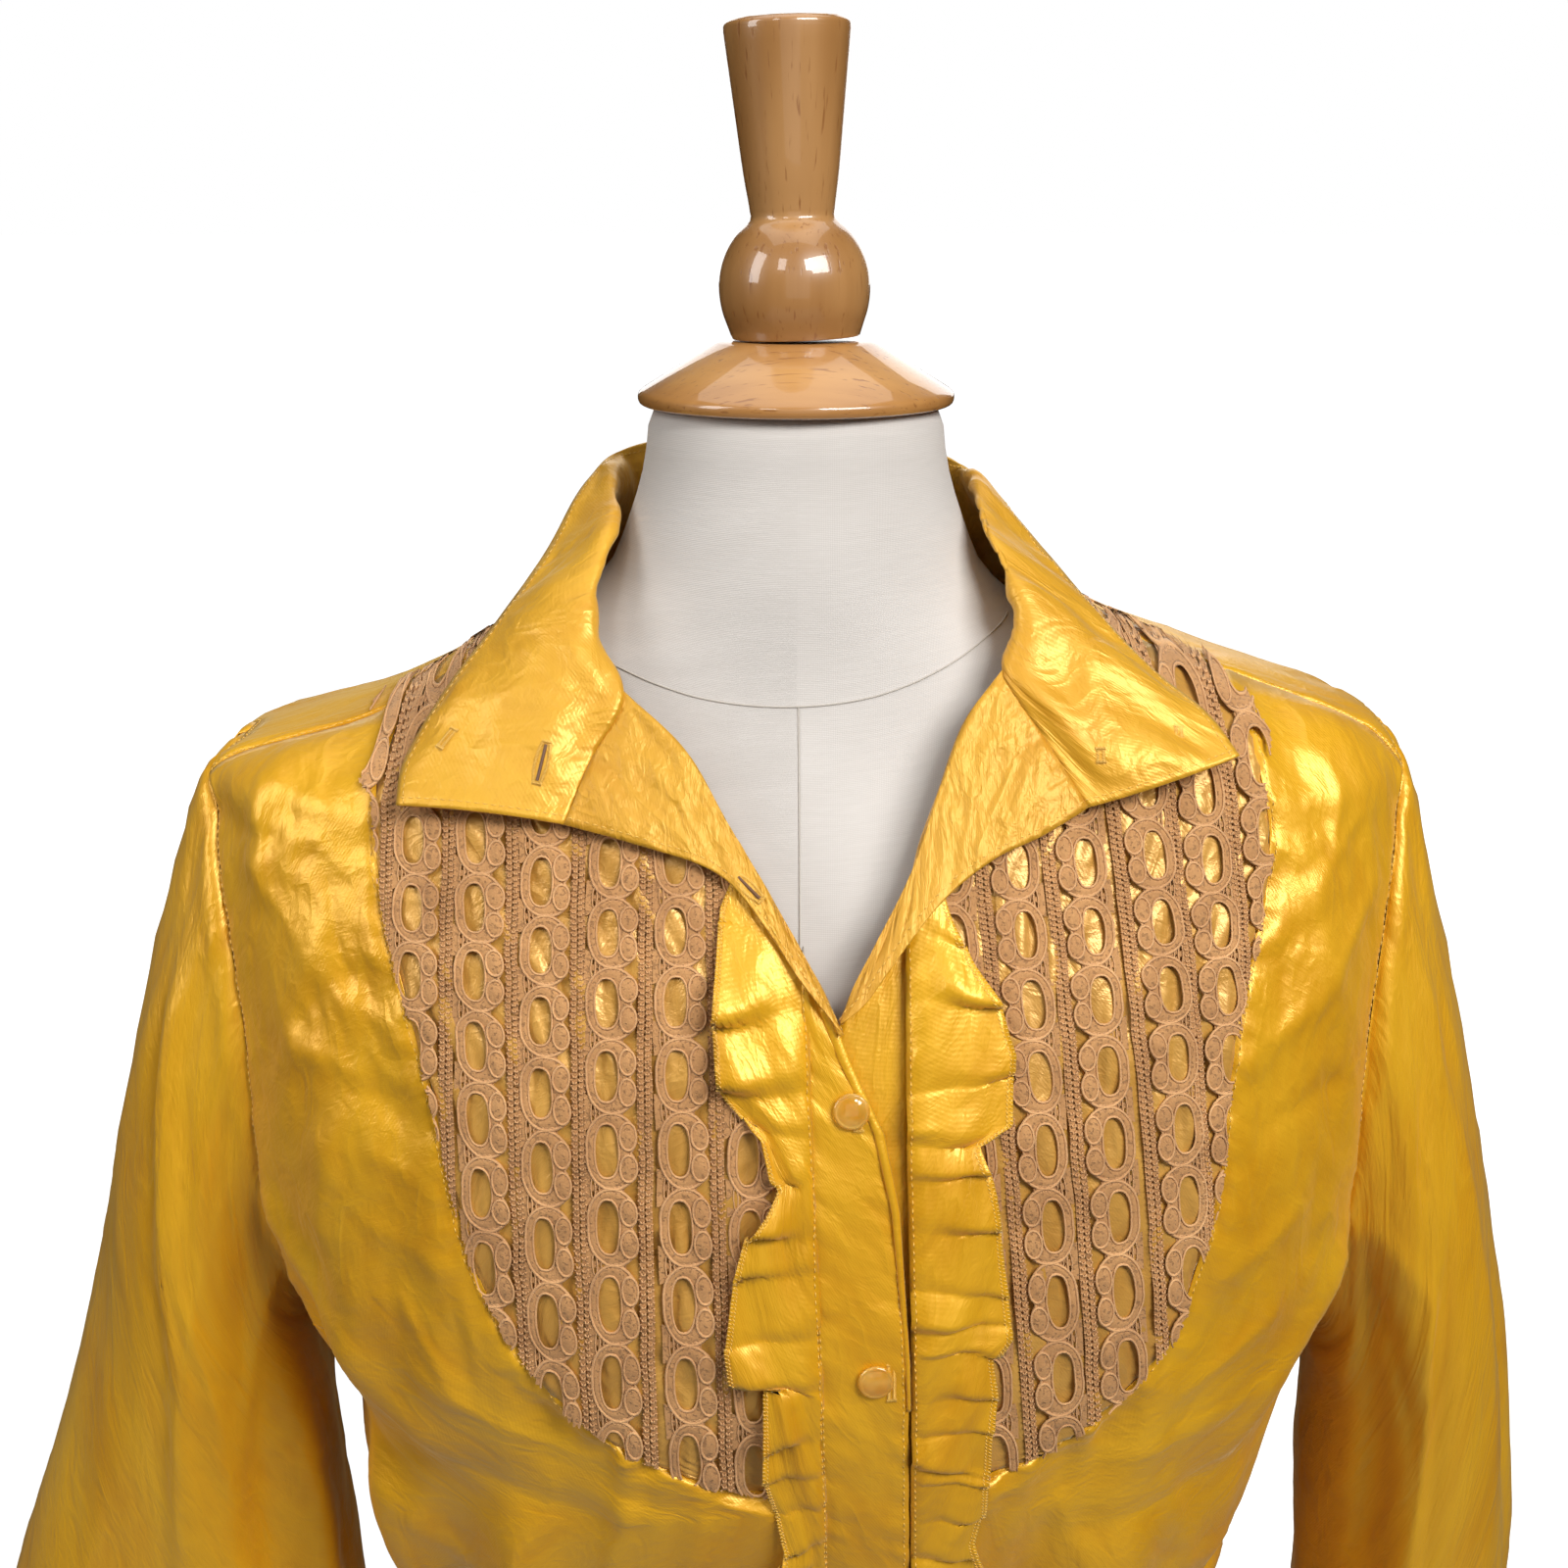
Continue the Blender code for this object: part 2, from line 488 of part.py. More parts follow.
def inset(points, distance, sides="lrtb"):
    """Each named edge of a panel moved in, to leave a seam gap: left, right, top and bottom."""
    def pull(edge, inner):
        return [a + (b - a).normalized() * distance for a, b in zip(edge, inner)]

    if "t" in sides:
        points[0] = pull(points[0], points[1])
    if "b" in sides:
        points[-1] = pull(points[-1], points[-2])
    first, last = "l" in sides, "r" in sides
    for row in points:
        if first:
            row[0] = row[0] + (row[1] - row[0]).normalized() * distance
        if last:
            row[-1] = row[-1] + (row[-2] - row[-1]).normalized() * distance
    return points


def sheet_mesh(points, wrapped=False):
    """A grid bent to the points; wrapped joins its first column to its last."""
    rows, columns = len(points) - 1, len(points[0]) - 1
    bm = bmesh.new()
    bmesh.ops.create_grid(bm, x_segments=columns, y_segments=rows, size=1.0)
    for vert in bm.verts:
        column = round((vert.co.x + 1) / 2 * columns)
        row = round((vert.co.y + 1) / 2 * rows)
        vert.co = points[row][column]
    if wrapped:
        bmesh.ops.remove_doubles(bm, verts=bm.verts, dist=1e-6)
    mesh = bpy.data.meshes.new("sheet")
    bm.to_mesh(mesh)
    bm.free()
    mesh.shade_smooth()
    return mesh


def add_cloth(name, points, finish, collection, wall=CLOTH, wrapped=False):
    """A cloth piece: the sheet through the points, with a wall."""
    obj = add_object(name, sheet_mesh(points, wrapped), finish, collection)
    solidify = obj.modifiers.new("wall", "SOLIDIFY")
    solidify.thickness = wall
    solidify.offset = 0.0
    solidify.use_even_offset = False
    return obj


# ---- the blouse ---------------------------------------------------------------------------------
FRONT_ROWS = 28
FRONT_COLUMNS = 5
INNER_SWITCH = 16 / FRONT_ROWS
OUTER_SWITCH = 12 / FRONT_ROWS
BIB_ROWS = 14
BIB_COLUMNS = 6


def shoulder_seam_place(side, drop):
    return Place(BODY.plain_point(side * YOKE_SEAM_ANGLE, drop).x, drop)


def bib_outline(side):
    return (shoulder_seam_place(side, BIB_CORNER_DROP[side]), *BIB_OUTLINES[side])


def bib_inner(side):
    return (shoulder_seam_place(side, NECK_CORNER_DROP), *BIB_INNER[side])


def front_inner(side, share):
    """Angle and drop on a front's inner seam: round the bib, then down the placket."""
    if share <= INNER_SWITCH:
        x, drop = along(bib_outline(side), share / INNER_SWITCH)
    else:
        start = BIB_OUTLINES[side][-1].drop
        drop = mix(start, HEM_DROP, (share - INNER_SWITCH) / (1 - INNER_SWITCH))
        x = line_x(STITCH_LINES[side], drop)
    return BODY.angle_at(x, drop), drop


def front_outer(side, share):
    """Angle and drop on a front's outer seam: the armhole, then the side seam."""
    start = armhole_turn(side, YOKE_SEAM_ANGLE)
    if share <= OUTER_SWITCH:
        return armhole_place(side, mix(start, 0.5, share / OUTER_SWITCH))
    down = (share - OUTER_SWITCH) / (1 - OUTER_SWITCH)
    return side * SIDE_ANGLE, mix(ARMHOLES[side].bottom, HEM_DROP, down)


def make_front(side, name, collection):
    def place(across, down):
        angle_in, drop_in = front_inner(side, down)
        angle_out, drop_out = front_outer(side, down)
        return BODY.point(mix(angle_in, angle_out, across), mix(drop_in, drop_out, across))

    points = inset(grid_points(FRONT_COLUMNS, FRONT_ROWS, place), SEAM_HALF_GAP)
    return add_cloth(name, inset(points, SEAM_HALF_GAP, "t"), SATIN, collection)


def bib_point(side, across, down, out=0.0):
    """A place on a bib: across from its inner edge to its outer seam, down from the shoulder."""
    end = BIB_ROWS / (FRONT_ROWS * INNER_SWITCH)
    x_in, drop_in = along(bib_inner(side), down)
    x_out, drop_out = along(bib_outline(side), down * end)
    angle_in, angle_out = BODY.angle_at(x_in, drop_in), BODY.angle_at(x_out, drop_out)
    return BODY.point(mix(angle_in, angle_out, across), mix(drop_in, drop_out, across), out)


def make_bib(side, name, collection):
    points = grid_points(BIB_COLUMNS, BIB_ROWS, lambda across, down: bib_point(side, across, down))
    return add_cloth(name, inset(points, 2 * SEAM_HALF_GAP), SATIN, collection)


def medallion_places(side):
    """The middles of the lace medallions that lie wholly on a bib."""
    outline = [Place(*along(bib_outline(side), k / 60)) for k in range(61)]
    inner = [Place(*along(bib_inner(side), k / 60)) for k in range(61)]
    for band in BANDS[side]:
        for row in range(*MEDALLION_ROWS):
            down = row - band.rows_up
            drop = BAND_DROP + MEDALLION_PITCH * down + MEDALLION_PITCH_GROWTH * down * down
            x = band.x + band.lean * (drop - BAND_DROP)
            outer_gap = min(math.hypot(x - p.x, drop - p.drop) for p in outline)
            inner_gap = min(math.hypot(x - p.x, drop - p.drop) for p in inner)
            beyond = side * (x - line_x(outline[:56], drop)) > 0 or side * (line_x(inner, drop) - x) > 0
            if min(outer_gap, inner_gap) > MEDALLION_MARGIN and not beyond:
                yield x, drop


def make_lace(side, name, collection, cutters):
    """The lace of a bib: its panel moved out, with the opening of each medallion cut through."""
    points = grid_points(BIB_COLUMNS, BIB_ROWS, lambda u, v: bib_point(side, u, v, LACE_OUT))
    lace = add_cloth(name, inset(points, 3 * SEAM_HALF_GAP), LACE_THREAD, collection, LACE)
    bm = bmesh.new()
    for x, drop in medallion_places(side):
        angle = BODY.angle_at(x, drop)
        out = BODY.outward(angle, drop)
        turn = out.to_track_quat("Z", "Y").to_matrix().to_4x4()
        place = Matrix.Translation(BODY.point(angle, drop, LACE_OUT)) @ turn
        size = Matrix.Diagonal((MEDALLION_HOLE[0], MEDALLION_HOLE[1], 1.0, 1.0))
        bmesh.ops.create_cone(
            bm, cap_ends=True, segments=6, radius1=1.0, radius2=1.0, depth=0.008, matrix=place @ size
        )
    mesh = bpy.data.meshes.new(name + "_openings")
    bm.to_mesh(mesh)
    bm.free()
    cutter = bpy.data.objects.new(name + "_openings", mesh)
    cutter.hide_render = True
    cutter.display_type = "WIRE"
    cutters.objects.link(cutter)
    opening = lace.modifiers.new("openings", "BOOLEAN")
    opening.operation = "DIFFERENCE"
    opening.object = cutter
    return lace


def neck_drop(angle):
    """The drop of the neck seam at an angle from the centre front, from one shoulder seam to the other."""
    return smooth_at((0, 75, 90, 130, 180), (0.0605, 0.0605, 0.0605, 0.0655, 0.0690), abs(angle))


def yoke_bottom(side, angle):
    """The drop of the yoke's lower edge at an angle: the armhole, then the seam across the back."""
    if angle < back_armhole_angle(side, BACK_YOKE_DROP):
        return armhole_place(side, armhole_turn(side, angle))[1]
    return BACK_YOKE_DROP


YOKE_SHOULDER_COLUMNS = 4
YOKE_BACK_COLUMNS = 7
YOKE_ROWS = 5


def make_yoke(collection):
    """The back yoke, which comes over each shoulder to the seam in front."""
    half = YOKE_SHOULDER_COLUMNS + YOKE_BACK_COLUMNS

    def place(across, down):
        column = round(across * 2 * half) - half
        side = RIGHT if column < 0 else LEFT
        steps = half - abs(column)
        corner = back_armhole_angle(side, BACK_YOKE_DROP)
        if steps <= YOKE_SHOULDER_COLUMNS:
            angle = mix(YOKE_SEAM_ANGLE, corner, steps / YOKE_SHOULDER_COLUMNS)
        else:
            angle = mix(corner, 180.0, (steps - YOKE_SHOULDER_COLUMNS) / YOKE_BACK_COLUMNS)
        bottom = BACK_YOKE_DROP if steps >= YOKE_SHOULDER_COLUMNS else yoke_bottom(side, angle)
        return BODY.point(side * angle, mix(neck_drop(angle), bottom, down))

    points = inset(grid_points(2 * half, YOKE_ROWS, place), SEAM_HALF_GAP)
    return add_cloth("yoke", points, SATIN, collection)


BACK_ROWS = 16
BACK_COLUMNS = 12


def make_back(collection):
    def place(across, down):
        drop = mix(BACK_YOKE_DROP, HEM_DROP, down)
        start = back_armhole_angle(LEFT, drop)
        end = 360.0 - back_armhole_angle(RIGHT, drop)
        return BODY.point(mix(start, end, across), drop)

    points = inset(grid_points(BACK_COLUMNS, BACK_ROWS, place), SEAM_HALF_GAP)
    return add_cloth("back", points, SATIN, collection)


def sleeve_section(side, share):
    rows = np.array(SLEEVE_ROWS[side])
    return SleeveRow(*smooth_at(np.linspace(0, 1, len(rows)), rows, share))


def sleeve_point(side, turn, share, out=0.0):
    """A place on a sleeve: turn 0 at its outer side and 0.25 in front, share from armhole to cuff."""
    row = sleeve_section(side, share)
    outer = Vector((side * row.outer_x, 0.0, NECK_TOP_Z - row.outer_drop))
    inner = Vector((side * row.inner_x, 0.0, NECK_TOP_Z - row.inner_drop))
    swing = math.sin(2 * math.pi * turn)
    depth = row.front if swing > 0 else row.back
    height = out + sleeve_fold_height(side, turn, share)
    height += SLEEVE_GATHER_DEPTH * math.cos(2 * math.pi * SLEEVE_GATHERS * turn) * gather_share(share)
    reach = 1.0 + height / 0.052
    middle = (outer + inner) / 2
    loose = middle + (outer - inner) / 2 * math.cos(2 * math.pi * turn) * reach
    loose += Vector((0.0, -depth * swing * reach - row.forward, 0.0))
    seam = BODY.plain_point(*armhole_place(side, turn)) + Vector((side * SLEEVE_START_GAP, 0.0, 0.0))
    return seam.lerp(loose, ease(share / SLEEVE_BLEND))


def gather_share(share):
    """How full the gathers above the cuff are: none at mid-sleeve, most just above the cuff."""
    return ease((share - 0.72) / 0.2)


def sleeve_fold_height(side, turn, share):
    height = 0.0
    for fold in SLEEVE_FOLDS[side]:
        if fold.along - 0.08 < share < fold.end_along + 0.08:
            down = (share - fold.along) / (fold.end_along - fold.along)
            line = mix(fold.turn, fold.end_turn, min(max(down, 0.0), 1.0))
            fade = ease((share - fold.along + 0.08) / 0.2) * ease((fold.end_along + 0.08 - share) / 0.2)
            height += fold.height * fade * math.exp(-(((turn - line) / fold.width) ** 2))
    return height


SLEEVE_COLUMNS = 24
SLEEVE_ROWS_DOWN = 12


def make_sleeve(side, name, collection):
    points = grid_points(SLEEVE_COLUMNS, SLEEVE_ROWS_DOWN, lambda u, v: sleeve_point(side, side * u % 1.0, v))
    for row in points:
        row[-1] = row[0]
    return add_cloth(name, points, SATIN, collection, wrapped=True)


def make_cuff(side, name, collection):
    """A buttoned band below the gathers, closed all round."""
    last = SLEEVE_ROWS[side][-1]
    middle_x = side * (last.outer_x + last.inner_x) / 2
    half_x = (last.outer_x - last.inner_x) / 2

    def place(around, down):
        turn = 2 * math.pi * around * side
        drop = last.outer_drop + CUFF_OVERLAP_GAP + CUFF_HEIGHT * down
        reach = 1.0 - 0.03 * math.sin(math.pi * down)
        x = middle_x + side * half_x * reach * math.cos(turn)
        return Vector((x, -last.forward - last.front * reach * math.sin(turn), NECK_TOP_Z - drop))

    points = grid_points(18, 2, place)
    for row in points:
        row[-1] = row[0]
    return add_cloth(name, points, SATIN, collection, CUFF_WALL, wrapped=True)


COLLAR_STEPS = 15
COLLAR_ROWS_UP = 6


def collar_point(side, share, up):
    """A place on the collar: share from its front end to the back, up from the seam to the free edge."""
    rows = COLLAR_ROWS[side]
    seams = [lapel_point(side, across, 0.0) for across in LAPEL_SEAM]
    seams += [BODY.point(side * place.angle, place.drop, place.out) for place in NECK_SEAM]
    seams = np.array(seams)
    turns = np.array([(side * row.x, row.y, NECK_TOP_Z - row.drop) for row in rows])
    edges = np.array([(side * row.edge_x, row.edge_y, NECK_TOP_Z - row.edge_drop) for row in rows])
    keys = np.linspace(0, 1, len(rows))
    seam, turn, edge = (smooth_at(keys, part, share) for part in (seams, turns, edges))
    return Vector((1 - up) ** 2 * seam + 2 * up * (1 - up) * turn + up**2 * edge)


def make_collar(collection):
    def place(around, up):
        side = RIGHT if around < 0.5 else LEFT
        share = 2 * around if around < 0.5 else 2 - 2 * around
        return collar_point(side, share, up)

    points = grid_points(2 * COLLAR_STEPS, COLLAR_ROWS_UP, place)
    points = inset(points, 4 * SEAM_HALF_GAP, "t")
    return add_cloth("collar", points, SATIN, collection, DOUBLE_CLOTH)


def lapel_point(side, across, down):
    """A place on a lapel: across from its fold to its free edge, down from the collar to the V's foot."""
    row = LapelRow(*along(LAPELS[side], down))
    x, drop = mix(row.fold_x, row.edge_x, across), mix(row.fold_drop, row.edge_drop, across)
    return BODY.front_point(x, drop, mix(LAPEL_FOLD_OUT, LAPEL_EDGE_OUT, ease(across)))


def make_lapel(side, name, collection):
    """The turned-back edge of a front beside the V."""
    points = grid_points(4, 12, lambda across, down: lapel_point(side, across, down))
    points = inset(points, SEAM_HALF_GAP, "t")
    return add_cloth(name, points, SATIN, collection)


def make_placket(collection):
    """The buttoned strip on the right front, which laps over the left."""
    def place(across, down):
        top = mix(STITCH_LINES[RIGHT][0].drop + 0.0170, PLACKET_EDGE[0].drop + 0.0050, across)
        drop = mix(top, HEM_DROP, down**1.25)
        x = mix(line_x(STITCH_LINES[RIGHT], drop), line_x(PLACKET_EDGE, drop), across)
        return BODY.front_point(x, drop, PLACKET_OUT)

    return add_cloth("placket", grid_points(2, 22, place), SATIN, collection, DOUBLE_CLOTH)


def make_placket_under(collection):
    """The button stand of the left front, below the placket."""
    def place(across, down):
        top = mix(PLACKET_UNDER_EDGE[1].drop + 0.0020, STITCH_LINES[LEFT][0].drop, across)
        drop = mix(top, HEM_DROP, down**1.25)
        x = mix(line_x(PLACKET_UNDER_EDGE, drop), line_x(STITCH_LINES[LEFT], drop), across)
        return BODY.front_point(x, drop, PLACKET_UNDER_OUT)

    return add_cloth("placket_under", grid_points(2, 18, place), SATIN, collection)


def ruffle_point(side, across, down, out=0.0):
    """A place on a ruffle: across from its stitching to its free edge, down from the V to the hem."""
    phase = 2 * math.pi * (RUFFLE_WAVES * down + 0.42 * math.sin(17 * down + side) + 0.3 * math.sin(41 * down))
    full = 1.0 + 0.45 * math.sin(29 * down + 2 * side) * math.cos(13 * down)
    top = RUFFLE_TOP[side] + RUFFLE_TOP_SLANT[side] * across
    drop = mix(top, RUFFLE_BOTTOM, down) + RUFFLE_SWAY * across * math.cos(phase)
    width = RUFFLE_WIDTH + RUFFLE_WIDTH_CHANGE * math.sin(23 * down + 3 * side) * math.cos(9 * down)
    x = line_x(STITCH_LINES[side], drop) + side * (0.0012 + width * across)
    lift = RUFFLE_LIFT * across + RUFFLE_WAVE_HEIGHT * full * across**0.8 * math.sin(phase)
    return BODY.front_point(x, min(drop, HEM_DROP), RUFFLE_OUT + max(lift, 0.0) + out)


def make_ruffle(side, name, collection):
    points = grid_points(2, RUFFLE_WAVES * 4, lambda across, down: ruffle_point(side, across, down))
    return add_cloth(name, points, SATIN, collection, 0.0010)


# ---- turned pieces and buttons ------------------------------------------------------------------
def turned_mesh(profile):
    """A profile from the top down its outer side, to be turned about the Z axis."""
    mesh = bpy.data.meshes.new("profile")
    edges = [(i, i + 1) for i in range(len(profile) - 1)]
    mesh.from_pydata([(point[0], 0.0, point[1]) for point in profile], edges, [])
    return mesh


def add_turned(name, profile, finish, collection, steps=TURNED_STEPS):
    obj = add_object(name, turned_mesh(profile), finish, collection)
    screw = obj.modifiers.new("turn", "SCREW")
    screw.steps = screw.render_steps = steps
    screw.use_merge_vertices = True
    screw.merge_threshold = 1e-5
    screw.use_smooth_shade = True
    return obj


def make_buttons(collection):
    for number, drop in enumerate(BUTTON_DROPS, 1):
        x = (line_x(STITCH_LINES[RIGHT], drop) + line_x(PLACKET_EDGE, drop)) / 2 + 0.0010
        angle = BODY.angle_at(x, drop)
        out = BODY.outward(angle, drop)
        add_button(f"button_{number}", BODY.front_point(x, drop, BUTTON_OUT), out, collection)
    for side, name in ((RIGHT, "cuff_button_right"), (LEFT, "cuff_button_left")):
        last = SLEEVE_ROWS[side][-1]
        reach = last.outer_x + CUFF_WALL / 2 + TOUCH_GAP
        middle = Vector((side * reach, -last.forward, NECK_TOP_Z - last.outer_drop - CUFF_HEIGHT / 2))
        add_button(name, middle, Vector((side, 0.0, 0.0)), collection)


def add_button(name, place, outward, collection):
    half = BUTTON_RADIUS
    turns = [k * math.pi / 6 for k in range(4)]
    profile = [Point(half * math.sin(turn), BUTTON_THICKNESS * (0.55 + 0.45 * math.cos(turn))) for turn in turns]
    profile += [Point(half * 0.9, 0.0), Point(0.0, 0.0)]
    button = add_turned(name, profile, AMBER, collection, 12)
    button.location = place
    button.rotation_euler = outward.to_track_quat("Z", "Y").to_euler()
    return button


FORM_COLUMNS = 20


def make_form(collection):
    """The linen form: rounded rings from the neck to the hip, closed above and below."""
    points = [[FORM.plain_point(360.0 * c / FORM_COLUMNS, ring.drop) for c in range(FORM_COLUMNS)]
              for ring in FORM_RINGS]
    for row in points:
        row.append(row[0])
    mesh = sheet_mesh(points, wrapped=True)
    bm = bmesh.new()
    bm.from_mesh(mesh)
    bmesh.ops.holes_fill(bm, edges=[edge for edge in bm.edges if edge.is_boundary], sides=0)
    bmesh.ops.recalc_face_normals(bm, faces=bm.faces)
    bm.to_mesh(mesh)
    bm.free()
    return add_object("form_torso", mesh, LINEN, collection)


def make_woodwork(collection):
    cap = add_turned("neck_cap", CAP_PROFILE, WOOD, collection)
    cap.location = (0.0, 0.0, NECK_TOP_Z + TOUCH_GAP)
    finial = add_turned("finial", FINIAL_PROFILE, WOOD, collection, 18)
    finial.location = (0.0, 0.0, NECK_TOP_Z + TOUCH_GAP + CAP_PROFILE[0].z + FINIAL_GAP)
    finial.rotation_euler = (0.0, FINIAL_LEAN, 0.0)
    low, high = BASE_THICKNESS + TOUCH_GAP, NECK_TOP_Z - FORM_RINGS[-1].drop - TOUCH_GAP
    column = [Point(0.0, high)]
    column += [Point(radius, mix(low, high, share)) for radius, share in COLUMN_PROFILE_SHARES]
    column += [Point(0.0, low)]
    add_turned("pedestal_column", column, WOOD, collection, 20)
    add_turned("base_disc", BASE_PROFILE, WOOD, collection, 28)


def main():
    for obj in list(bpy.data.objects):
        bpy.data.objects.remove(obj, do_unlink=True)
    parts = bpy.data.collections.new("blouse_on_dress_form")
    cutters = bpy.data.collections.new("cutters")
    for collection in (parts, cutters):
        bpy.context.scene.collection.children.link(collection)
    make_form(parts)
    make_woodwork(parts)
    for side, word in ((RIGHT, "right"), (LEFT, "left")):
        make_front(side, f"front_{word}", parts)
        make_bib(side, f"bib_{word}", parts)
        make_lace(side, f"lace_{word}", parts, cutters)
        make_lapel(side, f"lapel_{word}", parts)
        make_ruffle(side, f"ruffle_{word}", parts)
        make_sleeve(side, f"sleeve_{word}", parts)
        make_cuff(side, f"cuff_{word}", parts)
    make_yoke(parts)
    make_back(parts)
    make_collar(parts)
    make_placket(parts)
    make_placket_under(parts)
    make_buttons(parts)


if __name__ == "__main__":
    main()
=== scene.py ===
"""Looks of the gold satin blouse with lace bibs, worn by a linen dress form on a turned wooden foot.

Metres, +Z up, and the front faces -Y. Right and left are the wearer's, so right is -X.
Heights on the garment are drops below the top of the form's neck, as in the part's source, and a place
on the body is an angle round it (0 centre front, 90 wearer's left, 180 back) and a drop.
"""

import sys

import logging
import math
from dataclasses import dataclass, field
from enum import Enum
from functools import partial
from typing import Any, Callable, Iterable, NamedTuple, NewType, Sequence

import bpy
import numpy as np
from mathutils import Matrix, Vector


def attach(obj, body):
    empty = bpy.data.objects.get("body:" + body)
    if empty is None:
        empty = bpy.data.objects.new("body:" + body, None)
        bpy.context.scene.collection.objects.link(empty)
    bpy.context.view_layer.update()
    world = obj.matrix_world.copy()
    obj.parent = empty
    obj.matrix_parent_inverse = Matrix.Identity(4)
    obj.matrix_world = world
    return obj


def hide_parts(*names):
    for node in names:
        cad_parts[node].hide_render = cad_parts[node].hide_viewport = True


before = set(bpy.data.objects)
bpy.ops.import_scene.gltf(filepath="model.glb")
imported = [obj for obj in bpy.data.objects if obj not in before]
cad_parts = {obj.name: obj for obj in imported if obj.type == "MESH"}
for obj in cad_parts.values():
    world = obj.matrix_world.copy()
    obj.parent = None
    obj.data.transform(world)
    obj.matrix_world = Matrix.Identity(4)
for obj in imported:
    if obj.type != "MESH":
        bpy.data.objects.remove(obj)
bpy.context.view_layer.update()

log = logging.getLogger("blouse")
Array = np.ndarray
Piece, Material = bpy.types.Object, bpy.types.Material
Triple = tuple[float, float, float]
Shape = tuple[Array, list[tuple[int, ...]]]
Metres = NewType("Metres", float)

MM = 0.001
TURN = 2 * math.pi
NECK_TOP_Z = 0.900
HEM_DROP = 0.655
YOKE_SEAM_ANGLE = 75.0
BACK_YOKE_DROP = 0.165
SIDE_ANGLE = 90.0
FOLD_ARM = 0.165
CREASE_SOFTNESS = 0.35
BODY_MIDDLE = (0.0, 0.02, 0.55)
CLOTH = 0.6 * MM
DOUBLE_CLOTH = 1.2 * MM


class Side(Enum):
    """A side of the wearer; its value is the sign of X."""

    RIGHT = -1
    LEFT = 1

    @property
    def word(self) -> str:
        """The side's name in piece names."""
        return self.name.lower()


# ---- shapes shared with the part's source --------------------------------------------------------
class Ring(NamedTuple):
    """A rounded ring of the body: its reach to the right, left, front and back at a drop."""

    drop: Metres
    right: Metres
    left: Metres
    front: Metres
    back: Metres


class Fold(NamedTuple):
    """A ridge (or, below zero, a trough) in the body cloth from one place to another."""

    angle: float
    drop: Metres
    end_angle: float
    end_drop: Metres
    width: Metres
    height: Metres


class Place(NamedTuple):
    """A place on the front by its x and drop."""

    x: Metres
    drop: Metres


class Armhole(NamedTuple):
    """An armhole seam: its highest and lowest drop, and its reach to the front and back."""

    top: Metres
    bottom: Metres
    front_angle: float
    back_angle: float

    @property
    def middle(self) -> float:
        """The drop halfway down."""
        return (self.top + self.bottom) / 2

    @property
    def half(self) -> float:
        """Half its height."""
        return (self.bottom - self.top) / 2


class LapelRow(NamedTuple):
    """A line across a lapel from its fold to its free edge."""

    fold_x: Metres
    fold_drop: Metres
    edge_x: Metres
    edge_drop: Metres


class NeckPlace(NamedTuple):
    """A place on the seam between collar and neckline."""

    angle: float
    drop: Metres
    out: Metres


class CollarRow(NamedTuple):
    """A collar section: the point it is drawn towards, and its free edge."""

    x: Metres
    y: Metres
    drop: Metres
    edge_x: Metres
    edge_y: Metres
    edge_drop: Metres


class SleeveRow(NamedTuple):
    """A sleeve section: its outer and inner points, its depths, and how far it sits to the front."""

    outer_x: Metres
    outer_drop: Metres
    inner_x: Metres
    inner_drop: Metres
    front: Metres
    back: Metres
    forward: Metres


class SleeveFold(NamedTuple):
    """A fold down a sleeve; turn goes round from its outer side to the front."""

    turn: float
    along: float
    end_turn: float
    end_along: float
    width: float
    height: Metres


class Turning(NamedTuple):
    """A turned piece's radius at a height."""

    radius: Metres
    height: Metres


class Band(NamedTuple):
    """A band of lace: its x, its lean for each metre of drop, and its medallions' start in rows."""

    x: Metres
    lean: float
    rows_up: float


def rows(kind: type, table: Iterable[Sequence[float]]) -> tuple:
    """A table's rows as records of one kind; the table gives its lengths in millimetres."""
    lengths = [hint is Metres for hint in kind.__annotations__.values()]
    return tuple(kind(*(value / 1000 if length else value for value, length in zip(row, lengths))) for row in table)


FORM_RINGS = rows(Ring, ((drop, wide, wide, front, back) for drop, wide, front, back in (
    (0, 49, 49, 49), (20, 51.5, 50.5, 51.5), (40, 58, 54, 57), (55, 65, 56, 61), (64, 74, 57, 64), (72, 85, 58, 67),
    (82, 103, 60, 72), (95, 125, 64, 79), (112, 154, 72, 87), (130, 172, 82, 93), (155, 179, 95, 98),
    (190, 179, 108, 101), (230, 175, 119, 102), (280, 168, 127, 100), (320, 160, 124, 96), (370, 143, 108, 89),
    (430, 120, 93, 82), (480, 113, 88, 80), (540, 125, 95, 90), (600, 146, 104, 103), (660, 161, 110, 111),
    (705, 164, 112, 113), (718, 160, 108, 109),
)))
BODY_RINGS = rows(Ring, (
    (50, 73, 74.5, 60, 70), (58, 80, 83, 64, 73.5), (66, 90, 97, 67, 76.5), (75, 101, 116, 70, 80),
    (83, 113, 140, 73.5, 83.5), (93, 130, 169, 77.5, 87.5), (103, 154, 197, 82, 91.5), (114, 196, 211, 88, 95.5),
    (135, 207, 215, 98.5, 100.5), (165, 208, 215, 114, 105), (200, 206, 213, 126, 108), (250, 203, 211, 135, 109),
    (295, 193, 204, 138.5, 108), (325, 180, 194, 137, 106), (345, 167, 186, 134.5, 104.5),
    (380, 166, 180, 129, 103), (405, 161, 172, 125, 102), (430, 146, 166, 121, 100), (455, 136, 168, 118, 99),
    (480, 132, 166, 117, 99), (530, 143, 164, 122, 106), (590, 164, 176, 129, 118), (660, 182, 189, 134, 128),
))
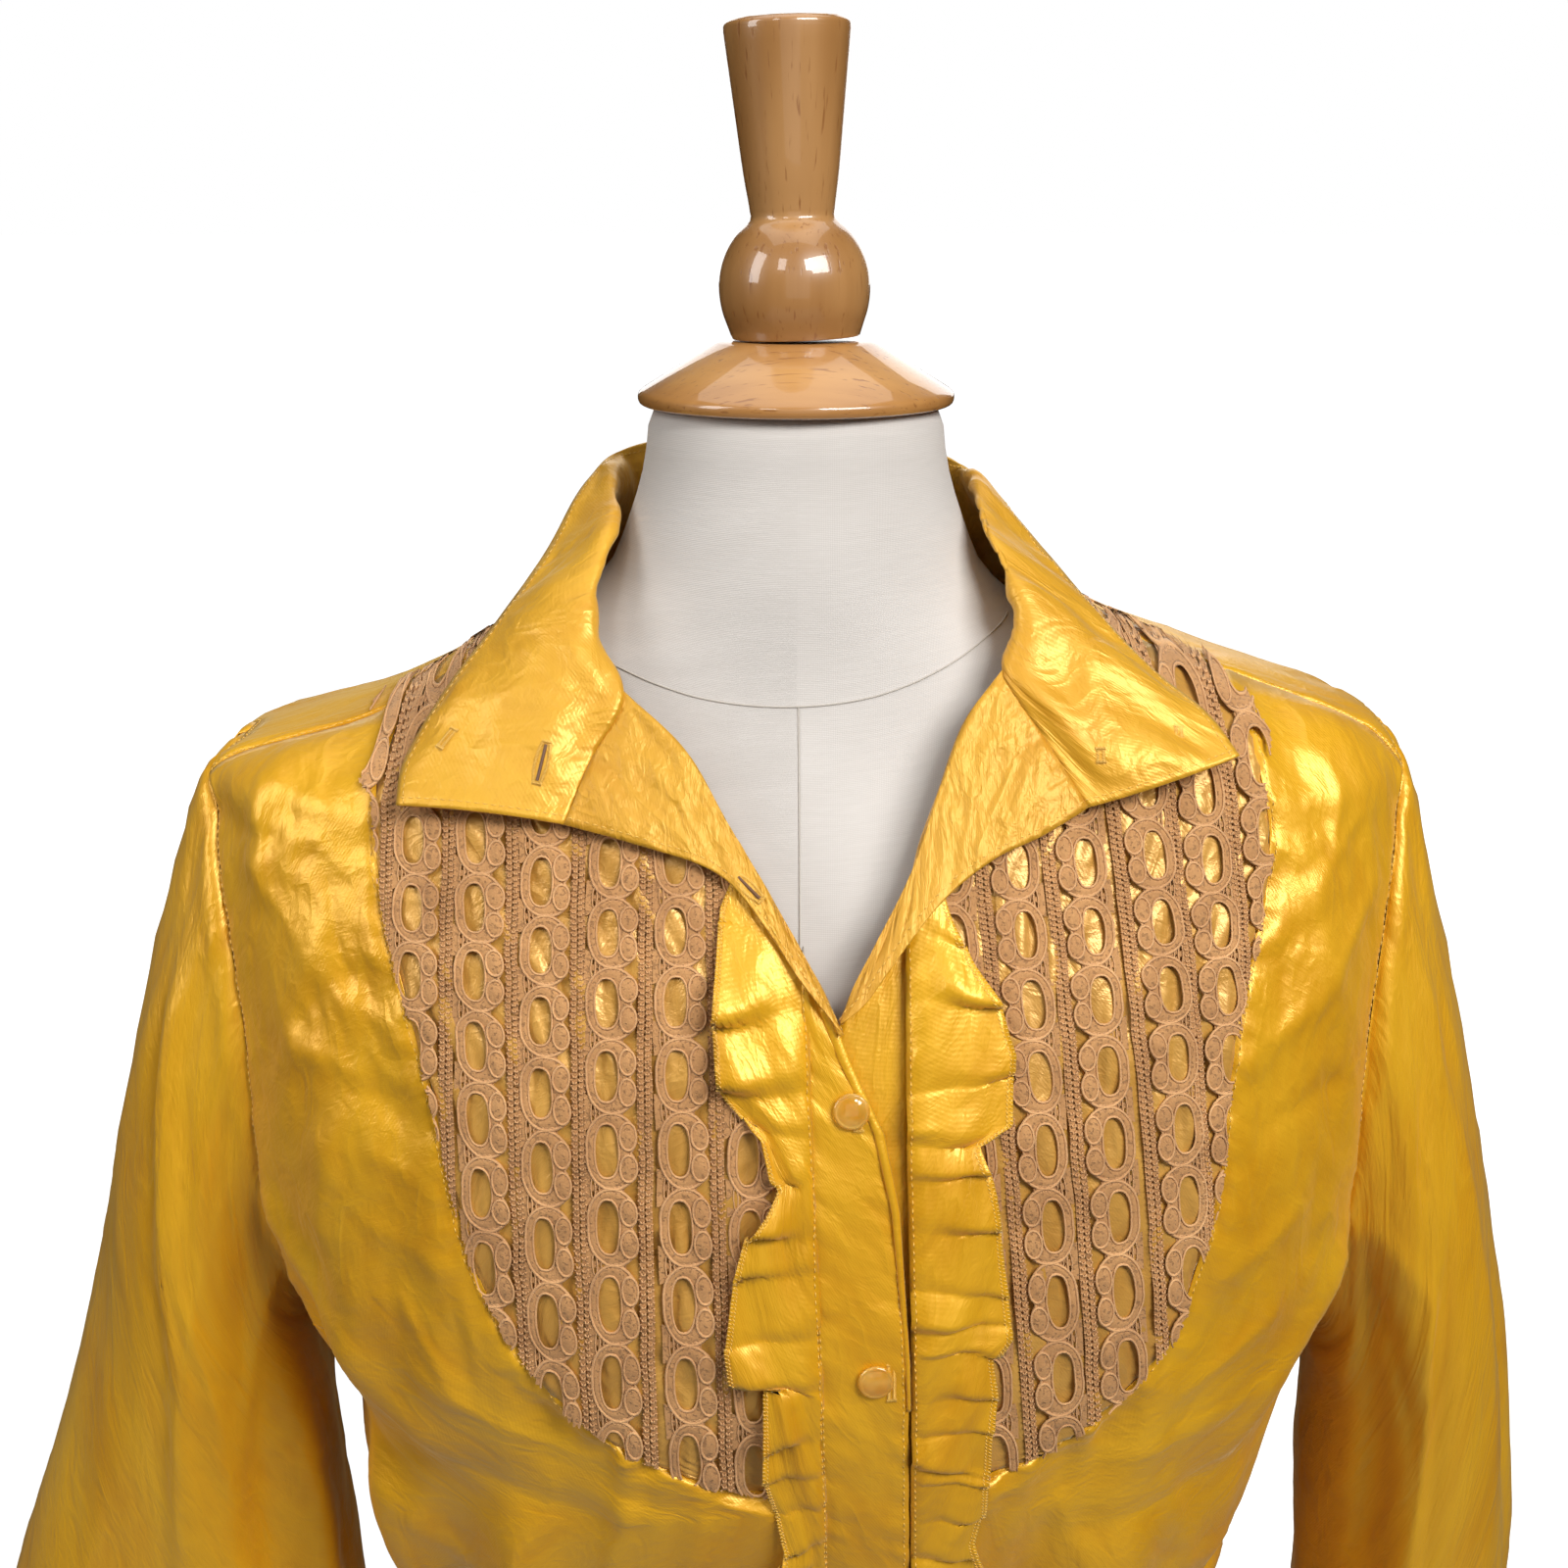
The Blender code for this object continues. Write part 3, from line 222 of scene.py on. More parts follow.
# The soft folds of the part's source.
BODY_FOLDS = rows(Fold, (
    (-64, 262, -38, 345, 11, 4), (-70, 300, -55, 400, 10, 3.5), (-32, 350, -36, 600, 14, 6),
    (-58, 370, -52, 640, 13, 5.5), (-96, 400, -62, 416, 10, 5), (-92, 450, -66, 458, 9, 4),
    (-78, 480, -80, 650, 15, 6.5), (66, 276, 48, 352, 11, 4), (72, 318, 60, 405, 10, 3.5),
    (34, 352, 38, 620, 15, 6), (56, 372, 58, 640, 13, 5), (98, 378, 64, 392, 11, 4.5), (90, 446, 68, 440, 9, 4),
    (80, 490, 82, 650, 15, 6), (-150, 200, -146, 380, 13, 4), (-128, 300, -134, 640, 15, 6.5),
    (-155, 410, -158, 650, 16, 6), (176, 390, 178, 650, 17, 6.5), (152, 210, 149, 390, 13, 4),
    (130, 310, 133, 640, 15, 6), (157, 420, 154, 650, 15, 5.5),
))
# The crisp creases that the photo shows on each front, and like ones behind.
BODY_CREASES = rows(Fold, (
    (-55, 112, -55, 152, 4.2, 1.6), (-44, 140, -41, 176, 5, -1.4), (-54, 108, -49, 127, 3.6, -1.2),
    (-58, 145, -48, 133, 4, 1.2), (-52, 194, -39, 202, 4.5, 1.8), (-46, 199, -31, 214, 5, -1.5),
    (-40, 223, -31, 232, 4, 1.2), (-43, 214, -50, 270, 6, 1.8), (-44, 174, -33, 186, 4, 1.2),
    (-38, 272, -32, 310, 5, 1.7), (-39, 300, -22, 323, 5, 1.6), (-44, 338, -18, 352, 5.8, -1.7),
    (-25, 333, -33, 386, 4.8, 1.9), (-16, 337, -20, 376, 4.4, 1.8), (-8, 333, -10, 372, 3.8, 1.4),
    (-58, 370, -41, 394, 6, 2.2), (-39, 166, -51, 190, 4, -1.2), (-60, 128, -44, 131, 3.6, 1),
    (-41, 250, -30, 258, 4.4, 1.2), (55, 102, 52, 137, 4.4, 1.5), (44, 136, 41, 160, 4.4, -1.3),
    (58, 127, 48, 148, 4.2, 1.4), (53, 178, 38, 196, 4.8, 1.8), (57, 211, 42, 219, 4.5, -1.5),
    (52, 252, 38, 268, 5.2, 1.7), (52, 226, 55, 277, 5.6, -1.7), (50, 286, 36, 310, 5, 1.9),
    (55, 319, 28, 331, 5.5, 1.7), (54, 352, 25, 358, 6, -1.8), (24, 337, 31, 383, 4.6, 1.8),
    (39, 346, 52, 410, 5.2, 1.9), (65, 398, 43, 395, 5, 1.8), (63, 151, 51, 177, 4.6, 1.3),
    (77, 91, 63, 108, 4, 1.2), (50, 157, 35, 171, 4.2, -1.2), (-30, 430, -40, 560, 7, 2.4),
    (-48, 470, -44, 600, 6, -2), (26, 440, 30, 580, 7, 2.2), (46, 450, 50, 590, 6, -2),
    (-112, 230, -140, 262, 5.5, 1.8), (-108, 300, -150, 332, 6, 2), (-165, 190, -172, 300, 5.8, 1.6),
    (172, 230, 165, 345, 6, -1.6), (112, 240, 141, 276, 5.5, 1.9), (106, 322, 146, 350, 6, -1.8),
    (-172, 430, -168, 600, 7, 2.4), (143, 400, 140, 560, 6.5, -2.2), (-141, 430, -145, 610, 6.5, -2.2),
    (120, 410, 160, 398, 6, 2), (-118, 420, -162, 404, 6, 1.9),
))
ARMHOLES = {Side.RIGHT: Armhole(0.1135, 0.323, 26.0, 23.0), Side.LEFT: Armhole(0.1085, 0.337, 25.0, 23.0)}
ARMHOLE_FULLNESS = 0.65
BIB_CORNER_DROP = {Side.RIGHT: 0.0965, Side.LEFT: 0.0860}
BIB_OUTLINES = {
    Side.RIGHT: rows(Place, ((-134.5, 123), (-115.6, 196), (-95.6, 270), (-68.6, 306), (-32, 325), (8, 333))),
    Side.LEFT: rows(Place, ((152, 130), (138.5, 189), (132, 248), (119, 287), (93, 312), (39, 333))),
}
NECK_CORNER_DROP = 0.0605
BIB_INNER = {
    Side.RIGHT: rows(Place, (
        (-73.5, 68), (-53.5, 83), (-36, 97), (-21, 119), (-8.5, 138), (0.6, 156), (2.5, 200), (6.2, 280), (8, 331),
    )),
    Side.LEFT: rows(Place, (
        (78, 66), (64, 77.5), (54, 88), (43.6, 110), (35.5, 132), (34.8, 148), (34.8, 200), (37.2, 280), (39, 331),
    )),
}
STITCH_LINES = {
    Side.RIGHT: rows(Place, ((0.6, 140), (2.5, 200), (6.2, 280), (8.5, 363), (10, 480), (10.5, 660))),
    Side.LEFT: rows(Place, ((34.8, 140), (34.8, 200), (37.2, 280), (39.2, 363), (40.5, 480), (41, 660))),
}
PLACKET_EDGE = rows(Place, (
    (9.8, 169), (15, 183), (25.6, 205), (30.5, 229), (34.2, 279), (36.8, 363), (38, 480), (38.5, 660),
))
PLACKET_UNDER_EDGE = rows(Place, (
    (30, 142), (13.5, 171), (11, 190), (11, 240), (14, 363), (15, 660),
))
LAPELS = {
    Side.RIGHT: rows(LapelRow, (
        (-53.5, 83, -71, 120.5), (-36, 97, -50, 125), (-21, 119, -22.5, 134), (-8.5, 138, -8.5, 149),
        (3.5, 157, 2, 163), (9, 166, 8.4, 170), (13.2, 176, 13.4, 176.3),
    )),
    Side.LEFT: rows(LapelRow, (
        (64, 77.5, 89, 116.5), (54, 88, 76, 123), (43.6, 110, 60, 129.5), (35, 132, 45, 140), (23, 153, 28.5, 158),
        (16, 165, 19, 169), (13, 172.5, 13.2, 173),
    )),
}
LAPEL_FOLD_OUT = 0.0036
LAPEL_EDGE_OUT = 0.0062
LAPEL_SEAM = (1.0, 0.5, 0.0)
NECK_SEAM = rows(NeckPlace, (
    (49, 65, 1), (78, 57.5, 0), (112, 58, 0), (148, 63, 0), (180, 66, 0),
))
COLLAR_ROWS = {
    Side.RIGHT: rows(CollarRow, (
        (98, -93, 112.5, 124.6, -85, 114.2), (90, -82, 93, 123.5, -72, 103), (78, -68, 66, 112, -56, 84),
        (52, -56, 40, 96, -40, 64), (39, -34, 20, 83.5, -20, 47), (50, 14, 10, 71.5, 9, 27),
        (50, 48, 33, 55.5, 40, 18.5), (0, 71, 40, 0, 69, 15),
    )),
    Side.LEFT: rows(CollarRow, (
        (115, -90, 106, 138, -79, 100), (103, -79, 84, 130, -66, 90), (86, -66, 58, 114.5, -52, 79),
        (55, -56, 36, 97.5, -38, 62.5), (40, -34, 19, 82.5, -20, 46), (50, 14, 12, 67.5, 9, 31),
        (48, 48, 35, 50, 42, 21.5), (0, 71, 40, 0, 69, 15),
    )),
}
SLEEVE_ROWS = {
    Side.RIGHT: rows(SleeveRow, (
        (205, 116.5, 187, 325, 58, 58, 0), (218.5, 137, 188, 329, 63, 61, 0), (238.5, 213, 189, 340, 63, 61, 0),
        (255, 275, 188, 354, 60, 58, 2), (268.5, 330, 186.5, 378, 56, 54, 4), (293, 403, 183.5, 422, 51, 50, 6),
        (315, 461, 180.5, 468, 48, 47, 8), (321, 494, 181.5, 496, 47, 46, 8), (314, 517, 196, 517, 44, 42, 8),
        (296, 529, 214, 529, 37.5, 37.5, 8),
    )),
    Side.LEFT: rows(SleeveRow, (
        (211, 110, 197, 339, 58, 58, 0), (222, 134, 198, 343, 65, 63, 0), (237.5, 202, 199.5, 350, 67, 65, 0),
        (255, 265, 202, 360, 64, 62, 2), (269.5, 330, 206, 382, 61, 59, 4), (281.5, 411, 207.5, 424, 58, 56, 6),
        (285, 461, 209, 468, 56, 54, 8), (286, 494, 210, 496, 54, 52, 8), (282.5, 517, 212, 517, 49, 47, 8),
        (278, 529, 214, 529, 43, 43, 8),
    )),
}
SLEEVE_BLEND = 0.30
SLEEVE_RADIUS = 0.052
SLEEVE_CREASE_ROUNDING = 0.12
SLEEVE_GATHERS = 8
SLEEVE_GATHER_START = 0.72
SLEEVE_GATHER_DEPTH = 0.0034
SLEEVE_FOLDS = {
    Side.RIGHT: rows(SleeveFold, (
        (0.33, 0.1, 0.39, 0.8, 0.03, -4.5), (0.42, 0.3, 0.43, 0.8, 0.022, 4.5), (0.64, 0.15, 0.7, 0.86, 0.026, 5.5),
        (0.8, 0.25, 0.83, 0.8, 0.026, -4),
    )),
    Side.LEFT: rows(SleeveFold, (
        (0.34, 0.12, 0.39, 0.8, 0.03, -4.5), (0.11, 0.35, 0.1, 0.82, 0.022, -3.5),
        (0.66, 0.18, 0.69, 0.86, 0.026, 5.5), (0.83, 0.25, 0.86, 0.8, 0.026, -4),
    )),
}
# The long folds whose upper layer laps over the outer side: shares down the sleeve, turns round it, height.
SLEEVE_LEDGES = {
    Side.RIGHT: (
        ((0.13, 0.20, 0.26, 0.35, 0.49, 0.60, 0.90), (0.120, 0.150, 0.210, 0.250, 0.270, 0.280, 0.275), 0.0050),
        ((0.16, 0.34, 0.55, 0.88), (0.660, 0.690, 0.700, 0.730), 0.0046),
    ),
    Side.LEFT: (
        ((0.25, 0.30, 0.37, 0.50, 0.60, 0.90), (0.248, 0.262, 0.280, 0.305, 0.315, 0.300), 0.0042),
        ((0.18, 0.36, 0.60, 0.88), (0.690, 0.675, 0.700, 0.720), 0.0046),
    ),
}
LEDGE_EDGE = 0.0130
LEDGE_SLOPE = 0.120
# The smaller creases of each sleeve that the photo shows, and like ones behind.
SLEEVE_CREASES = {
    Side.RIGHT: rows(SleeveFold, (
        (0.02, 0.14, 0.12, 0.23, 0.012, 2.2), (0.11, 0.22, 0.035, 0.46, 0.011, 2.6),
        (0.215, 0.03, 0.28, 0.23, 0.01, -2.2), (0.285, 0.2, 0.262, 0.52, 0.011, 2.6),
        (0.08, 0.3, 0.05, 0.44, 0.008, -1.8), (0.4, 0.04, 0.34, 0.5, 0.01, 2.4),
        (0.285, 0.31, 0.322, 0.5, 0.008, 1.8), (0.24, 0.47, 0.44, 0.5, 0.009, 1.6),
        (0.98, 0.2, 0.87, 0.22, 0.01, 1.6), (0.56, 0.1, 0.54, 0.6, 0.012, 2.6), (0.73, 0.24, 0.64, 0.44, 0.01, -2),
        (0.9, 0.4, 0.93, 0.74, 0.011, 2.4),
    )),
    Side.LEFT: rows(SleeveFold, (
        (0.96, 0.18, 0.945, 0.28, 0.012, 1.8), (0.948, 0.26, 0.92, 0.46, 0.012, 2.2),
        (0.29, 0.04, 0.41, 0.36, 0.01, 2.4), (0.06, 0.27, 0.01, 0.46, 0.01, 2.2),
        (0.33, 0.2, 0.31, 0.49, 0.01, -2.2), (0.365, 0.03, 0.255, 0.31, 0.009, 1.8),
        (0.47, 0.36, 0.34, 0.42, 0.008, 1.5), (0.15, 0.2, 0.165, 0.5, 0.01, 1.8),
        (0.56, 0.12, 0.55, 0.62, 0.012, 2.6), (0.74, 0.22, 0.65, 0.42, 0.01, -2),
        (0.89, 0.42, 0.91, 0.74, 0.011, 2.2),
    )),
}
CUFF_HEIGHT = 0.040
CUFF_OVERLAP_GAP = 0.0012

RUFFLE_TOP = 0.131
RUFFLE_INNER_TOP = {Side.RIGHT: 0.1575, Side.LEFT: 0.1440}
RUFFLE_BOTTOM = 0.650
RUFFLE_UNDER = 0.0018
RUFFLE_TUCK = 0.0014
RUFFLE_OUT = 0.0031
RUFFLE_EDGES = {
    Side.RIGHT: (
        (134, 21), (142, 24), (170, 27), (194, 26), (207, 18), (215.6, 11.7), (218.5, 8.5), (228, 13), (237, 19),
        (245, 23.5), (255.6, 25.5), (270.6, 28), (286.5, 27), (289.5, 16.5), (319, 18), (345, 11.5), (362, 14),
        (385, 23), (405, 26), (430, 25), (433.5, 17), (470, 22), (500, 26), (504, 17), (545, 22), (580, 25),
        (610, 18), (650, 22),
    ),
    Side.LEFT: (
        (134, 9), (142, 12), (154, 18.6), (164, 25.7), (185.6, 31), (205.5, 30), (208.7, 19.5), (226.6, 24),
        (248, 27.7), (273.5, 29), (276.5, 23), (293, 25), (315, 22), (337.6, 21.5), (350, 18), (375, 24), (400, 27),
        (403.5, 19), (440, 25), (470, 22), (500, 27), (530, 24), (560, 19), (600, 25), (650, 22),
    ),
}
RUFFLE_CREASES = {
    Side.RIGHT: (
        120, 148, 171.5, 193.5, 206, 218.5, 237.5, 248, 270, 289, 306, 320, 333, 348, 359, 378, 395, 408, 433.5,
        447, 464, 476, 499, 513, 532, 543, 564, 579, 596, 609, 629, 660,
    ),
    Side.LEFT: (
        120, 150, 167.5, 194, 209, 220, 236.5, 254.5, 269, 276.5, 293, 306, 318, 324.5, 341, 357, 370, 391, 403.5,
        420, 433, 454, 468, 483, 503, 516, 535, 553, 566, 586, 601, 621, 633, 660,
    ),
}

BANDS = {
    Side.RIGHT: rows(Band, (
        (-14.3, 0.02, 0), (-35.3, 0.02, 0.1), (-56, 0, 0.05), (-77, 0.01, -0.25), (-97.8, 0.02, 0.3),
        (-118.5, 0, 0.2), (-139, 0, 0.3),
    )),
    Side.LEFT: rows(Band, (
        (47, 0.09, 0), (68.4, 0.1, 0), (89.8, 0.1, 0), (112.2, 0.11, 0.05), (130.8, 0.1, -0.1), (150, 0.08, 0.2),
    )),
}
FORM_SEAMS = (
    (Place(-52.0, 0.0745), Place(-32.8, 0.0795), Place(-22.5, 0.0835), Place(-13.8, 0.0868), Place(0.0, 0.0888),
     Place(11.0, 0.0862), Place(18.0, 0.0830), Place(26.2, 0.0790), Place(45.0, 0.0715), Place(66.0, 0.0662)),
    (Place(0.2, 0.0890), Place(0.2, 0.1115), Place(0.2, 0.1390), Place(0.5, 0.1580), Place(0.8, 0.2000)),
)
LACE_CORNERS = {
    Side.RIGHT: rows(Place, ((-138, 96), (-145.5, 100), (-142, 105.5), (-139.5, 113), (-134.5, 117))),
    Side.LEFT: rows(Place, ((142, 85), (149, 90), (153, 100), (152, 106), (149, 110))),
}
BAND_DROP = 0.1505
MEDALLION_PITCH = 0.0184
MEDALLION_PITCH_GROWTH = 0.0008

BUTTON_DROPS = (0.198, 0.2840, 0.375, 0.4635, 0.552)
BUTTON_ASIDE = 0.0040


# ---- curves and surfaces -------------------------------------------------------------------------
def smooth_at(keys: Sequence[float], values: Any, at: Any) -> Array:
    """Reads a smooth curve through values at keys.

    Args:
        keys: rising places along the curve.
        values: a number or a row of numbers for each key.
        at: where to read, a number or an array.

    Returns:
        The values there, with at's shape and one more axis where values are rows.
    """
    keys, values = np.asarray(keys, float), np.asarray(values, float)
    slopes = np.gradient(values, keys, axis=0)
    at = np.clip(np.asarray(at, float), keys[0], keys[-1])
    i = np.clip(np.searchsorted(keys, at) - 1, 0, len(keys) - 2)
    span = keys[i + 1] - keys[i]
    t = (at - keys[i]) / span
    if values.ndim > 1:
        t, span = t[..., None], span[..., None]
    ends = (2 * t**3 - 3 * t**2 + 1) * values[i] + (3 * t**2 - 2 * t**3) * values[i + 1]
    turns = (t**3 - 2 * t**2 + t) * slopes[i] + (t**3 - t**2) * slopes[i + 1]
    return ends + span * turns


def along(points: Sequence[Sequence[float]], share: Any) -> Array:
    """The places at these shares of the length of a smooth line through the points.

    Args:
        points: the places the line runs through.
        share: 0 at its start to 1 at its end.

    Returns:
        places, one row per share.
    """
    points = np.asarray(points, float)
    steps = np.linalg.norm(np.diff(points, axis=0), axis=1)
    reach = np.concatenate([[0.0], np.cumsum(steps)])
    return smooth_at(reach / reach[-1], points, share)


def read_rows(at: Any, keys: Array, table: Array) -> Array:
    """Each column of a table with rising keys, read straight between its rows."""
    return np.stack([np.interp(at, keys, column) for column in table.T], axis=-1)


def line_x(places: Iterable[Place], drop: Any) -> Array:
    """The x of a line down the garment at each drop."""
    x, drops = np.array(sorted(places, key=lambda place: place.drop)).T
    return np.interp(drop, drops, x)


def ease(share: Any) -> Array:
    """A smooth step from 0 to 1."""
    share = np.clip(share, 0.0, 1.0)
    return share * share * (3 - 2 * share)


def mix(a: Any, b: Any, share: Any) -> Any:
    """The value this share of the way from a to b."""
    return a + (b - a) * share


def unit(vectors: Array) -> Array:
    """The vectors at length 1."""
    return vectors / np.maximum(np.linalg.norm(vectors, axis=-1, keepdims=True), 1e-12)


class Noise:
    """Smooth seeded noise from -1 to 1 over a plane."""

    SIZE = 256

    def __init__(self, seed: int) -> None:
        """Args: seed: the same seed gives the same noise."""
        self.table = np.random.RandomState(seed).uniform(-1, 1, (self.SIZE, self.SIZE))

    def at(self, x: Array, y: Array) -> Array:
        """The noise at each place; its cells are 1 across."""
        x, y = np.broadcast_arrays(np.asarray(x, float), np.asarray(y, float))
        i, j = np.floor(x).astype(int), np.floor(y).astype(int)
        s, t = ease(x - i), ease(y - j)
        pair = (mix(*(self.table[(i + p) % self.SIZE, (j + q) % self.SIZE] for p in (0, 1)), s) for q in (0, 1))
        return mix(*pair, t)

    def crumple(self, across: Array, down: Array, size: float) -> Array:
        """Crisp facets like crushed taffeta.

        Args:
            across: metres across the cloth.
            down: metres down the cloth.
            size: metres from one ridge to the next.

        Returns:
            Heights from -1 to about 1, with sharp ridges.
        """
        x, y = across / size, down / size
        x = x + 0.6 * self.at(0.7 * x + 31.7, 0.7 * y + 4.1)
        y = y + 0.6 * self.at(0.7 * x + 7.3, 0.7 * y + 57.9)
        height = 0.0
        for turn, scale, share in ((0.5, 1.0, 0.55), (1.7, 1.9, 0.3), (2.6, 3.3, 0.15)):
            u = (x * math.cos(turn) - y * math.sin(turn)) * scale
            v = (x * math.sin(turn) + y * math.cos(turn)) * scale * 0.55
            height = height + share * (1 - 2.6 * np.abs(self.at(u + 13 * turn, v)))
        return height


def ridge(away: Array, crisp: bool, rounding: float = CREASE_SOFTNESS**2) -> Array:
    """The height of a fold or a crisp crease at the square of its distance in widths."""
    return np.exp(CREASE_SOFTNESS - np.sqrt(away + rounding)) if crisp else np.exp(-away)


class RingSurface:
    """A body of rounded rings: each place has an angle round it and a drop."""

    SAMPLES = 500

    def __init__(self, rings: Sequence[Ring], roundness: float, folds: Sequence[Fold] = (),
                 creases: Sequence[Fold] = ()) -> None:
        """Args: rings: from the top down; roundness: 2 for ellipses; folds: soft; creases: crisp."""
        self.power = 2.0 / roundness
        self.folds, self.creases = folds, creases
        self.drops = np.linspace(rings[0].drop, rings[-1].drop, self.SAMPLES)
        keys = [ring.drop for ring in rings]
        self.columns = [smooth_at(keys, [ring[k] for ring in rings], self.drops) for k in (1, 2, 3, 4)]

    def sizes(self, drop: Array) -> list[Array]:
        """The reaches to the right, left, front and back at each drop."""
        return [np.interp(drop, self.drops, column) for column in self.columns]

    def fold_height(self, angle: Array, drop: Array) -> Array:
        """How far the folds and creases raise the cloth at each place."""
        height = np.zeros(np.broadcast(angle, drop).shape)
        for fold in (*self.folds, *self.creases):
            turn = (angle - fold.angle + 180.0) % 360.0 - 180.0
            across, down = np.radians(turn) * FOLD_ARM, drop - fold.drop
            run_x = math.radians(fold.end_angle - fold.angle) * FOLD_ARM
            run_y = fold.end_drop - fold.drop
            share = (across * run_x + down * run_y) / (run_x**2 + run_y**2)
            held = np.clip(share, 0.0, 1.0)
            away = (across - run_x * held) ** 2 + (down - run_y * held) ** 2
            fade = ease((share + 0.15) / 0.35) * ease((1.15 - share) / 0.35)
            height += fold.height * fade * ridge(away / fold.width**2, fold in self.creases)
        return height

    def plain_point(self, angle: Array, drop: Array) -> Array:
        """The points of the unfolded body."""
        right, left, front, back = self.sizes(drop)
        angle = (np.asarray(angle, float) + 180.0) % 360.0 - 180.0
        turn = np.radians(np.abs(angle))
        x = np.where(angle > 0, left, -right) * np.abs(np.sin(turn)) ** self.power
        depth = np.abs(np.cos(turn)) ** self.power
        y = np.where(np.abs(angle) < 90.0, -front * depth, back * depth)
        return np.stack(np.broadcast_arrays(x, y, NECK_TOP_Z - drop), axis=-1)

    def outward(self, angle: Array, drop: Array) -> Array:
        """The outward direction of the unfolded body."""
        across = self.plain_point(angle + 1.0, drop) - self.plain_point(angle - 1.0, drop)
        down = self.plain_point(angle, drop + 0.002) - self.plain_point(angle, drop - 0.002)
        return unit(np.cross(down, across))

    def point(self, angle: Array, drop: Array, out: Any = 0.0) -> Array:
        """The points of the folded body, moved out so far."""
        out = out + self.fold_height(angle, drop)
        return self.plain_point(angle, drop) + self.outward(angle, drop) * out[..., None]

    def angle_at(self, x: Array, drop: Array) -> Array:
        """The angle at which the front has this x."""
        right, left, _, _ = self.sizes(drop)
        share = np.minimum(np.abs(x) / np.where(np.asarray(x) > 0, left, right), 1.0)
        return np.copysign(np.degrees(np.arcsin(share ** (1.0 / self.power))), x)

    def front_point(self, x: Array, drop: Array, out: Any = 0.0) -> Array:
        """The points of the front at this x and drop, moved out so far."""
        return self.point(self.angle_at(x, drop), np.asarray(drop, float), out)


FORM = RingSurface(FORM_RINGS, 2.15)
BODY = RingSurface(BODY_RINGS, 2.25, BODY_FOLDS, BODY_CREASES)


def armhole_place(side: Side, turn: Array) -> tuple[Array, Array]:
    """Angle and drop on the armhole seam: turn 0 at the shoulder, 0.25 in front, 0.5 under the arm.

    Args:
        side: which armhole.
        turn: share of the way round.

    Returns:
        the angle in radians and the drop in metres.
    """
    hole = ARMHOLES[side]
    swing, level = np.sin(TURN * np.asarray(turn)), np.cos(TURN * np.asarray(turn))
    reach = np.copysign(np.abs(swing) ** ARMHOLE_FULLNESS, swing)
    bulge = np.where(swing > 0, hole.front_angle, hole.back_angle)
    return side.value * (SIDE_ANGLE - bulge * reach), hole.middle - hole.half * level


def armhole_turn(side: Side, angle: Array) -> Array:
    """The turn at which the upper armhole seam has this angle, counted from the centre front.

    Args:
        side: which armhole.
        angle: angle round the body.

    Returns:
        share of the way round the seam.
    """
    hole = ARMHOLES[side]
    ahead = SIDE_ANGLE - np.asarray(angle, float)
    bulge = np.where(ahead > 0, hole.front_angle, hole.back_angle)
    quarter = np.arcsin(np.minimum(np.abs(ahead) / bulge, 1.0) ** (1.0 / ARMHOLE_FULLNESS)) / TURN
    return np.where(ahead > 0, quarter, 1.0 - quarter)


def back_armhole_angle(side: Side, drop: Array) -> Array:
    """The angle of the back edge at a drop: the armhole seam, and below it the side seam.

    Args:
        side: which armhole.
        drop: distance below the neck's top.

    Returns:
        angles round the body.
    """
    hole = ARMHOLES[side]
    level = np.clip((hole.middle - np.asarray(drop)) / hole.half, -1.0, 1.0)
    curved = SIDE_ANGLE + hole.back_angle * np.sqrt(1 - level**2) ** ARMHOLE_FULLNESS
    return np.where(np.asarray(drop) >= hole.bottom, SIDE_ANGLE, curved)


def neck_drop(angle: Array) -> Array:
    """The drop of the neck seam at an angle from the centre front."""
    return smooth_at((0, 75, 90, 130, 180), (0.0605, 0.0605, 0.0605, 0.0655, 0.0690), angle)


def shoulder_seam_place(side: Side, drop: float) -> Place:
    """The place on the seam between front and yoke at a drop."""
    return Place(float(BODY.plain_point(side.value * YOKE_SEAM_ANGLE, np.array(drop))[0]), drop)


def bib_outline(side: Side) -> tuple[Place, ...]:
    """The outer seam of a bib from the shoulder round to the placket."""
    return (shoulder_seam_place(side, BIB_CORNER_DROP[side]), *BIB_OUTLINES[side])


def bib_inner(side: Side) -> tuple[Place, ...]:
    """The inner edge of a bib from the neck down to the placket's end of the outer seam."""
    return (shoulder_seam_place(side, NECK_CORNER_DROP), *BIB_INNER[side])


def lapel_places(side: Side, across: Array, down: Array) -> Array:
    """Points of a lapel: across from its fold to its free edge, down from the collar.

    Args:
        side: which lapel.
        across: 0 at the fold to 1 at the free edge.
        down: 0 at the collar to 1 at the point.

    Returns:
        points of one shape with the shares, in metres.
    """
    row = along(LAPELS[side], down)
    x, drop = mix(row[..., 0], row[..., 2], across), mix(row[..., 1], row[..., 3], across)
    return BODY.front_point(x, drop, mix(LAPEL_FOLD_OUT, LAPEL_EDGE_OUT, ease(across)))


